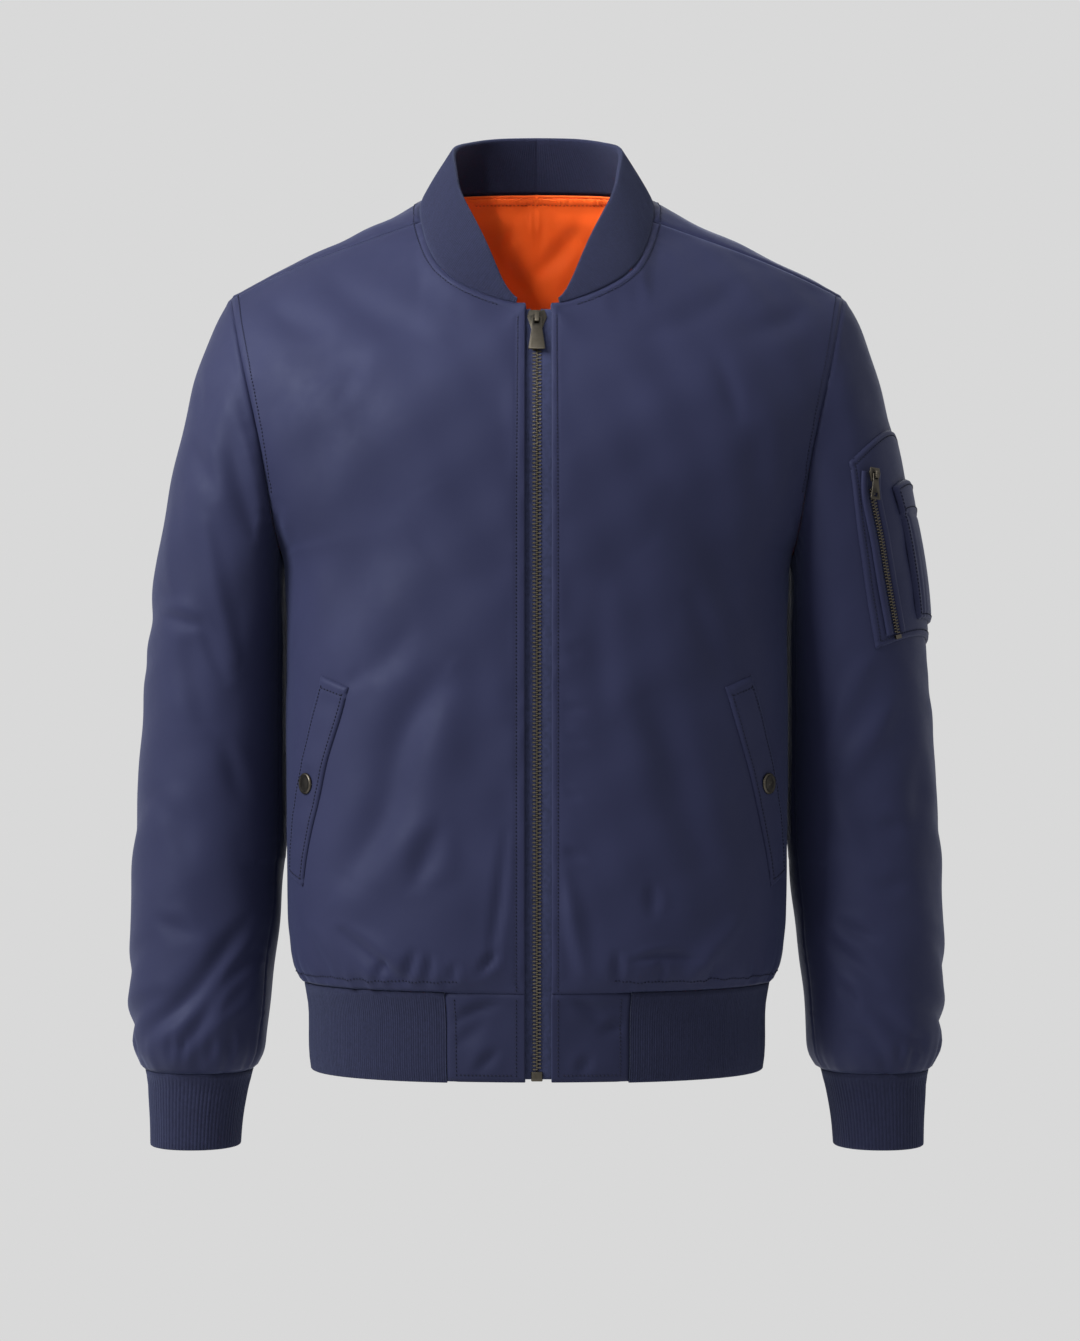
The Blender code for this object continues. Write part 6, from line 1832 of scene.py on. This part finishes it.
welt_stitch = []
snaps = {}
for side, sign in (("left", 1), ("right", -1)):
    base, n0 = welt_grid(90, 16, 0.0)
    turn = np.array([sign, 1, 1])
    g, n0 = base * turn, n0 * turn
    h = looks["front_" + side].at(g.reshape(-1, 3), n0.reshape(-1, 3)).reshape(g.shape[:2])
    g = g + n0 * h[..., None]
    top = pillow(91, 17, 0.0027, 0.16, 0.03, 0.0006)
    u = np.linspace(0, 1, 17)[None, :]
    v = np.linspace(0, 1, 91)[:, None]
    top = top - 0.0005 * np.exp(-((u - 0.13) / 0.05) ** 2) - 0.0004 * np.exp(-((u - 0.87) / 0.05) ** 2) \
        + 0.00035 * np.sin(v * 41 + np.sin(v * 13)) * np.sin(np.pi * u) \
        - 0.0006 * np.exp(-((v - 0.04) / 0.012) ** 2) - 0.0006 * np.exp(-((v - 0.96) / 0.012) ** 2)
    o, up = overlay("pocket_welt_%s_cloth" % side, g, n0, top, 0.00025, M_SHELL, "shell", "pocket_welt_" + side)
    cloth_flat["pocket_welt_" + side] = (o, None)
    welt_stitch += [(up[3:-3, 2], n0[3:-3, 2]), (up[3:-3, 14], n0[3:-3, 14]),
                    (up[4, 2:15], n0[4, 2:15]), (up[-5, 2:15], n0[-5, 2:15])]
    # snap seat
    where = np.array([[SNAP[0]]]), np.array([[SNAP[1]]])
    seat, facing = front_surface(*where)[0] * turn, front_normal(*where)[0] * turn
    rise = looks["front_" + side].at(seat, facing)[0]
    snaps[side] = (seat[0] + facing[0] * (rise + 0.0024), facing[0])

# Sleeve pocket and pen pocket.
PR, PC = 100, 64
base, n0 = pocket_grid(POCKET, PR, PC, 0.0)
h = looks["sleeve_left"].at(base.reshape(-1, 3), n0.reshape(-1, 3)).reshape(base.shape[:2])
base = base + n0 * h[..., None]
u = np.linspace(0, 1, PC + 1)[None, :]
v = np.linspace(0, 1, PR + 1)[:, None]
top = pillow(PR + 1, PC + 1, 0.0026, 0.035, 0.022, 0.0006)
top = top - 0.0006 * (np.exp(-((u - 0.045) / 0.012) ** 2) + np.exp(-((v - 0.030) / 0.008) ** 2)
                      + np.exp(-((v - 0.965) / 0.008) ** 2) + np.exp(-((u - 0.955) / 0.012) ** 2)) \
    + 0.0004 * np.sin(v * 23 + u * 7) * np.sin(np.pi * u) * np.sin(np.pi * v)
pocket, pocket_up = overlay("sleeve_pocket_cloth", base, n0, top, 0.0003, M_SHELL, "shell", "sleeve_pocket")
pocket_n = n0
pocket_stitch = [(pocket_up[3:-3, 3], n0[3:-3, 3]), (pocket_up[3, 3:-3], n0[3, 3:-3]),
                 (pocket_up[-4, 3:-3], n0[-4, 3:-3]), (pocket_up[3:-3, -4], n0[3:-3, -4])]

QR, QC = 76, 44
base, n0 = pocket_grid(PEN, QR, QC, 0.0)
u = np.linspace(0, 1, QC + 1)[None, :]
v = np.linspace(0, 1, QR + 1)[:, None]
band_part = ease((0.235 - v) / 0.015)
top = pillow(QR + 1, QC + 1, 0.0058, 0.07, 0.035, 0.0031)
belly = 0.0016 * np.sin(np.pi * np.clip((v - 0.22) / 0.78, 0, 1)) ** 0.6 * np.sin(np.pi * u) ** 0.5
top = top + belly * (1 - band_part) + 0.0007 * band_part \
    - 0.0009 * np.exp(-((v - 0.245) / 0.012) ** 2) \
    - 0.0008 * np.exp(-((u - 0.16) / 0.022) ** 2) * (1 - band_part) \
    - 0.0006 * np.exp(-((u - 0.30) / 0.03) ** 2) * (1 - band_part) * np.clip((v - 0.3) * 2, 0, 1) \
    - 0.0005 * np.exp(-((v - 0.955) / 0.012) ** 2)
# rounded lower corners
corner = np.clip((v - 0.86) / 0.14, 0, 1) ** 2
base2 = base.copy()
mid_col = base[:, QC // 2][:, None]
base2 = base + (mid_col - base) * (0.10 * corner * np.abs(2 * u - 1) ** 3)[..., None]
pen, pen_up = overlay("pen_pocket_cloth", base2, n0, top, 0.0030, M_SHELL, "shell", "pen_pocket")
pen_stitch = [(pen_up[3, 3:-3], n0[3, 3:-3]), (pen_up[15, 3:-3], n0[15, 3:-3]),
              (pen_up[4:-3, 3], n0[4:-3, 3]), (pen_up[-4, 4:-4], n0[-4, 4:-4])]


# ------------------------------------------------------------------ metal
def turned(name, profile, steps, place, normal, mat):
    """A round piece from its half section (radius, height)."""
    prof = np.array(profile)
    a = np.linspace(0, 2 * np.pi, steps, endpoint=False)
    z = Vector(normal)
    m = np.array(z.to_track_quat("Z", "Y").to_matrix())
    ring = [np.stack([r * np.cos(a), r * np.sin(a), np.full(steps, h)], 1) for r, h in prof]
    p = np.vstack([np.array([[0, 0, prof[0, 1]]])] + ring + [np.array([[0, 0, prof[-1, 1]]])])
    p = p @ m.T + np.asarray(place)
    faces3, faces4 = [], []
    k = len(prof)
    for i in range(steps):
        j = (i + 1) % steps
        faces3.append((0, 1 + j, 1 + i))
        faces3.append((1 + k * steps, 1 + (k - 1) * steps + i, 1 + (k - 1) * steps + j))
        for r in range(k - 1):
            faces4.append((1 + r * steps + i, 1 + r * steps + j, 1 + (r + 1) * steps + j, 1 + (r + 1) * steps + i))
    tri = faces3 + [(f[0], f[1], f[2]) for f in faces4] + [(f[0], f[2], f[3]) for f in faces4]
    o = make_mesh(name, p, np.array(tri), [mat])
    return o


SNAP_PROFILE = [(0.0072, -0.0002), (0.0079, 0.0003), (0.0080, 0.0011), (0.0078, 0.0018), (0.0073, 0.0022),
                (0.0067, 0.0023), (0.0061, 0.0021), (0.0054, 0.0020), (0.0042, 0.0021), (0.0028, 0.0022),
                (0.0014, 0.00225), (0.0005, 0.0023)]
for side in ("left", "right"):
    seat, facing = snaps[side]
    o = turned("snap_%s_cap" % side, SNAP_PROFILE, 56, seat, facing, M_METAL)
    settle(o, "dark_brass", "snap_" + side)


def polished(node, name, body, mat, width=0.0003):
    """The CAD piece again, with rounded edges."""
    src = frame["nodes"][node]
    src = src if isinstance(src, bpy.types.Object) else bpy.data.objects[src]
    me = src.data.copy()
    me.materials.clear()
    me.materials.append(mat)
    o = bpy.data.objects.new(name, me)
    bpy.context.scene.collection.objects.link(o)
    import bmesh
    bm = bmesh.new()
    bm.from_mesh(me)
    bmesh.ops.remove_doubles(bm, verts=bm.verts, dist=0.00002)
    bmesh.ops.dissolve_limit(bm, angle_limit=math.radians(1.0), verts=bm.verts, edges=bm.edges)
    edges = [e for e in bm.edges if len(e.link_faces) == 2 and e.calc_face_angle(0) > math.radians(25)]
    bmesh.ops.bevel(bm, geom=edges, offset=width, segments=2, profile=0.6, affect="EDGES", clamp_overlap=True)
    for f in bm.faces:
        f.smooth = True
    bm.to_mesh(me)
    bm.free()
    me.set_sharp_from_angle(angle=math.radians(38))
    settle(o, "dark_brass", node, body=body)
    return o


front_slider = polished("zip_slider", "zip_slider_body", ROOT, M_METAL)
small_slider = polished("sleeve_zip_slider", "sleeve_zip_slider_body", ROOT, M_METAL, 0.0002)
front_tab = polished("zip_pull", "zip_pull_tab", "front_pull", M_METAL, 0.00022)
small_tab = polished("sleeve_zip_pull", "sleeve_zip_pull_tab", "sleeve_pull", M_METAL, 0.00018)
bottom_box = polished("zip_box", "zip_box_body", ROOT, M_METAL, 0.0004)
small_stop = polished("sleeve_zip_stop", "sleeve_zip_stop_body", ROOT, M_METAL, 0.0003)


# ------------------------------------------------------------------ zip teeth
TOOTH = np.array([  # half an element: body, neck and head, seen from the front (across, along)
    (-0.0007, -0.00062), (0.0012, -0.00062), (0.0017, -0.00042), (0.0023, -0.00058), (0.0031, -0.00052),
    (0.0034, -0.00025), (0.0034, 0.00025), (0.0031, 0.00052), (0.0023, 0.00058), (0.0017, 0.00042),
    (0.0012, 0.00062), (-0.0007, 0.00062)])


def teeth(name, path, forward, pitch, scale, thick, node):
    """Two rows of interlocked metal elements along a path."""
    run = np.concatenate([[0], np.cumsum(np.linalg.norm(np.diff(path, axis=0), axis=1))])
    count = int(run[-1] / (pitch / 2))
    pts, faces = [], []
    m = len(TOOTH)
    for i in range(count):
        s = (i + 0.5) * run[-1] / count
        c = np.array([np.interp(s, run, path[:, k]) for k in range(3)])
        c2 = np.array([np.interp(min(s + 0.001, run[-1]), run, path[:, k]) for k in range(3)])
        c1 = np.array([np.interp(max(s - 0.001, 0), run, path[:, k]) for k in range(3)])
        along = unit((c2 - c1)[None])[0]
        out = unit(np.array([np.interp(s, run, forward[:, k]) for k in range(3)])[None])[0]
        across = np.cross(along, out) * (1 if i % 2 else -1)
        base = len(pts)
        for level, shrink in ((-0.5, 0.86), (-0.34, 1.0), (0.34, 1.0), (0.5, 0.84)):
            mid = np.array([0.0016, 0.0])
            for q in TOOTH:
                w = mid + (q - mid) * shrink
                # elements start beyond the centre line on their own side
                pts.append(c + across * ((0.0034 - w[0]) - 0.0008) * scale + along * w[1] * scale
                           + out * level * thick)
        for lv in range(3):
            for k in range(m):
                a, b = base + lv * m + k, base + lv * m + (k + 1) % m
                faces.append((a, b, b + m, a + m))
        for lv, turn in ((0, False), (3, True)):
            ring = [base + lv * m + k for k in range(m)]
            for k in range(1, m // 2):
                quad = (ring[k - 1], ring[k], ring[m - 1 - k], ring[(m - k) % m])
                faces.append(quad if turn else quad[::-1])
    p = np.array(pts)
    o = make_mesh(name, p, np.array(faces), [M_TEETH], smooth=False)
    import bmesh
    bm = bmesh.new()
    bm.from_mesh(o.data)
    bmesh.ops.recalc_face_normals(bm, faces=bm.faces)
    bm.to_mesh(o.data)
    bm.free()
    settle(o, "dark_brass", node)
    return o


BOX_TOP = -0.6488
zs = np.linspace(-0.0962, BOX_TOP + 0.0006, 220)
zy = zip_edge_y(zs)
edge_t = unit(np.gradient(np.stack([0 * zs, zy, zs], 1), axis=0))
fwd = unit(np.stack([0 * zs, edge_t[:, 2], -edge_t[:, 1]], 1))
fwd = fwd * np.sign(-fwd[:, 1])[:, None]
chain_path = np.stack([0 * zs, zy, zs], 1) - fwd * 0.0038
front_teeth = teeth("zip_chain_teeth", chain_path, fwd, 0.0028, 1.0, 0.0024, "zip_chain")

ends = SLEEVE_ZIP.at("section ring", np.linspace(0.55, 3, 60))
mid = sleeve_point(ends[:, 0], ends[:, 1])
nrm = sleeve_normal(ends[:, 0], ends[:, 1])
small_teeth = teeth("sleeve_zip_teeth", mid + nrm * (0.0034 + 0.0014), nrm, 0.0023, 0.70, 0.0018, "sleeve_zip_chain")

# front tapes reach in under the teeth
for side, sign in (("left", 1), ("right", -1)):
    tz = np.linspace(-0.0852, -0.6550, 240)
    ty = zip_edge_y(tz)
    tt = unit(np.gradient(np.stack([0 * tz, ty, tz], 1), axis=0))
    tf = unit(np.stack([0 * tz, tt[:, 2], -tt[:, 1]], 1))
    tf = tf * np.sign(-tf[:, 1])[:, None]
    inner_x = 0.0004 + 0.0044 * ease((tz + 0.0975) / 0.012)
    share = np.array([0, .04, .09, .12, .16, .25, .4, .6, .8, 1.0])
    if side == "left":
        inner_x = inner_x - 0.0018
    gx = inner_x[:, None] + (0.0174 - inner_x)[:, None] * share[None]
    g = np.stack([gx * sign, np.broadcast_to(ty[:, None], gx.shape), np.broadcast_to(tz[:, None], gx.shape)], -1)
    nrm_t = np.broadcast_to(tf[:, None, :], g.shape)
    g = g - nrm_t * (0.0034 + 0.0012 * (1 - ease((gx - 0.0002) / 0.0012)))[..., None]
    rise = 0.0006 * np.exp(-((share - 0.03) / 0.04) ** 2) - 0.0002 * np.exp(-((share - 0.14) / 0.02) ** 2)
    top = np.broadcast_to(rise[None], gx.shape)
    o, _ = overlay("zip_tape_%s_cloth" % side, g, nrm_t, top, -0.0008, M_TAPE, "zip_tape", "zip_tape_" + side)
    cloth_flat["zip_tape_" + side] = (o, None)
src = frame["nodes"]["sleeve_zip_tape"]
src = src if isinstance(src, bpy.types.Object) else bpy.data.objects[src]
src.data.materials.clear()
src.data.materials.append(M_TAPE)


# lips of cloth beside the sleeve zip
def lip_strip(name, offset, width, height):
    e = SLEEVE_ZIP.at("section ring", np.linspace(-0.02, 3.03, 70).clip(0, 3))
    m0 = sleeve_point(e[:, 0], e[:, 1])
    n0 = sleeve_normal(e[:, 0], e[:, 1])
    al = unit(np.gradient(m0, axis=0))
    ac = unit(np.cross(al, n0))
    r = 9
    pts = []
    for k in range(r):
        a = math.pi * k / (r - 1)
        pts.append(m0 + ac * (offset - math.cos(a) * width / 2)
                   + n0 * (0.0031 + height * math.sin(a) ** 0.7 if 0 < k < r - 1 else 0.0031))
    under = [m0 + ac * (offset + width / 2 * (1 - 2 * k / 2)) * 1.0 + n0 * 0.0030 for k in range(3)]
    section = np.array(pts + under[1:2])
    R, C = section.shape[:2]
    idx = np.arange(R * C).reshape(R, C)
    ring = np.vstack([idx, idx[:1]])
    q = np.stack([ring[:-1, :-1], ring[:-1, 1:], ring[1:, 1:], ring[1:, :-1]], -1).reshape(-1, 4)
    o = make_mesh(name, section.reshape(-1, 3), q, [M_SHELL])
    import bmesh
    bm = bmesh.new()
    bm.from_mesh(o.data)
    bmesh.ops.holes_fill(bm, edges=bm.edges, sides=0)
    bmesh.ops.recalc_face_normals(bm, faces=bm.faces)
    bm.to_mesh(o.data)
    bm.free()
    for f in o.data.polygons:
        f.use_smooth = True
    return settle(o, "shell")


lip_a = lip_strip("sleeve_zip_lip_front", -0.0060, 0.0058, 0.0022)
lip_b = lip_strip("sleeve_zip_lip_back", 0.0060, 0.0058, 0.0022)

# ------------------------------------------------------------------ stitches
rows_front = FINE.flank + FINE.chest + FINE.yoke + 1
cols = len(shares_of(FINE))
lines = []
arm_lines = []
hem_lines = []
neck_row = FINE.flank + FINE.chest
for side in ("left", "right"):
    g, nn = shaped_grid("front_" + side, (rows_front, cols))
    p, q = track(g[2:neck_row - 1], nn[2:neck_row - 1], 0.0045 if side == "left" else 0.0066)
    lines.append((p, q))
    lines.append(beside_neck(np.linspace(0.45, 7, 150), 0.0055, 1 if side == "left" else -1))
    p, q = track(g[FINE.flank + int(FINE.chest * 0.9):], nn[FINE.flank + int(FINE.chest * 0.9):], 0.0062, far=True)
    arm_lines.append((p, q))
    gt, nt_ = np.swapaxes(g[:60], 0, 1), np.swapaxes(nn[:60], 0, 1)
    p, q = track(gt[10:-2], nt_[10:-2], 0.0110)
    keep_x = np.abs(p[:, 0]) > 0.055
    hem_lines.append((p[keep_x], q[keep_x]))
    hg, hn = shaped_grid("hem_patch_" + side, (FINE.band + 1, garment.sheets["hem_patch_" + side].slot.size // (FINE.band + 1)))
    ht, hq = np.swapaxes(hg, 0, 1), np.swapaxes(hn, 0, 1)
    p, q = track(ht, hq, 0.0052, far=bool(hg[0, 0, 2] > hg[-1, 0, 2]))
    inside = (np.abs(p[:, 0]) > 0.0175) & (np.abs(p[:, 0]) < np.abs(hg[:, :, 0]).max() - 0.0075)
    lines.append((p[inside], q[inside]))
    p, q = track(hg[1:-1], hn[1:-1], 0.0045 if side == "left" else 0.0066)
    lines.append((p, q))
    p, q = track(hg[1:-1], hn[1:-1], 0.0075, far=True)
    lines.append((p, q))
for k in (0, 1):
    start = k * (rows_back * cols_back + (FINE.over + 1) * cols_back)
    g, nn = shaped_grid("back", (rows_back, cols_back), start)
    gt, nt_ = np.swapaxes(g[:60], 0, 1), np.swapaxes(nn[:60], 0, 1)
    p, q = track(gt[:-2], nt_[:-2], 0.0110)
    hem_lines.append((p, q))
stitches("topstitch_casing", [casing_line], 0.0030, 0.0020, 0.00034, 0.0001, M_THREAD_ORANGE, "lining")
stitches("topstitch_body", lines)
stitches("topstitch_armholes", arm_lines)
stitches("topstitch_hem", hem_lines)
stitches("topstitch_welts", welt_stitch, 0.0028, 0.0021)
stitches("topstitch_sleeve_pocket", pocket_stitch + pen_stitch, 0.0028, 0.0021)

# ------------------------------------------------------------------ floor, light and camera
me = bpy.data.meshes.new("floor")
me.from_pydata([(-2.2, -2.2, 0), (2.2, -2.2, 0), (2.2, 2.2, 0), (-2.2, 2.2, 0)], [], [(0, 1, 2, 3)])
floor = bpy.data.objects.new("floor", me)
floor.location = (0, 0, -1.32)
bpy.context.scene.collection.objects.link(floor)
fm, fnt, fb = material("floor_pale", (0.72, 0.72, 0.72), 0.85)
fnt.links.new(tint(fnt, noise(fnt, coords(fnt), 2.0), (0.70, 0.70, 0.70), (0.74, 0.74, 0.74)), fb.inputs["Base Color"])
floor.data.materials.append(fm)

bpy.context.scene.view_settings.view_transform = "Standard"
world = bpy.data.worlds.new("studio")
bpy.context.scene.world = world
world.use_nodes = True
wn = world.node_tree
bg = wn.nodes["Background"]
bg.inputs["Color"].default_value = (0.694, 0.694, 0.694, 1)
bg.inputs["Strength"].default_value = 1.0


def area_light(name, place, target, size, power, color=(1, 1, 1), size_y=None):
    ld = bpy.data.lights.new(name, "AREA")
    ld.energy, ld.size, ld.color = power, size, color
    if size_y:
        ld.shape, ld.size_y = "RECTANGLE", size_y
    o = bpy.data.objects.new(name, ld)
    o.location = place
    o.rotation_euler = (Vector(target) - Vector(place)).to_track_quat("-Z", "Y").to_euler()
    bpy.context.scene.collection.objects.link(o)
    return o


area_light("key", (-1.80, -1.15, 0.98), (-0.06, 0, -0.16), 1.2, 112, size_y=1.2)
area_light("fill", (1.6, -2.2, 0.9), (0, 0, -0.25), 1.4, 1.5)
area_light("back_light", (0.4, 2.4, 1.0), (0, 0, -0.3), 1.6, 14)
neck_light = area_light("neck_light", (-0.52, -1.10, 0.60), (0.014, 0.07, -0.012), 0.40, 0.30)
neck_light.data.spread = math.radians(9)

cam = bpy.data.cameras.new("camera")
cam.sensor_fit = "VERTICAL"
cam.sensor_height = 36.0
cam.lens = 98.13
camera = bpy.data.objects.new("camera", cam)
camera.location = (0.0023, -2.8, -0.3543)
camera.rotation_euler = (math.pi / 2, 0, 0)
bpy.context.scene.collection.objects.link(camera)
bpy.context.scene.camera = camera


# ------------------------------------------------------------------ each sheet's surface area, worked out and not kept; then the triangle count
def surface_of(o):
    me = o.data
    n = len(me.polygons)
    a = np.empty(n, np.float32)
    me.polygons.foreach_get("area", a)
    return float(a.sum()) / 2


def declare(o):
    area = surface_of(o)


declare(cloth_flat["front_right"][0])
declare(cloth_flat["front_left"][0])
declare(cloth_flat["back"][0])
declare(cloth_flat["sleeve_right"][0])
declare(cloth_flat["sleeve_left"][0])
declare(cloth_flat["hem_patch_right"][0])
declare(cloth_flat["hem_patch_left"][0])
declare(cloth_flat["pocket_welt_right"][0])
declare(cloth_flat["pocket_welt_left"][0])
declare(pocket)
declare(pen)
declare(lining)
declare(casing_look)
declare(hem_band)
declare(collar_look)
declare(cuff_objects["right"])
declare(cuff_objects["left"])

tri_total = 0
for o in bpy.context.scene.objects:
    if o.type == "MESH" and not o.hide_render:
        k = sum(len(p.vertices) - 2 for p in o.data.polygons)
        tri_total += k
        if k > 60000:
            print("TRIS", o.name, k)
print("TRIS total", tri_total)
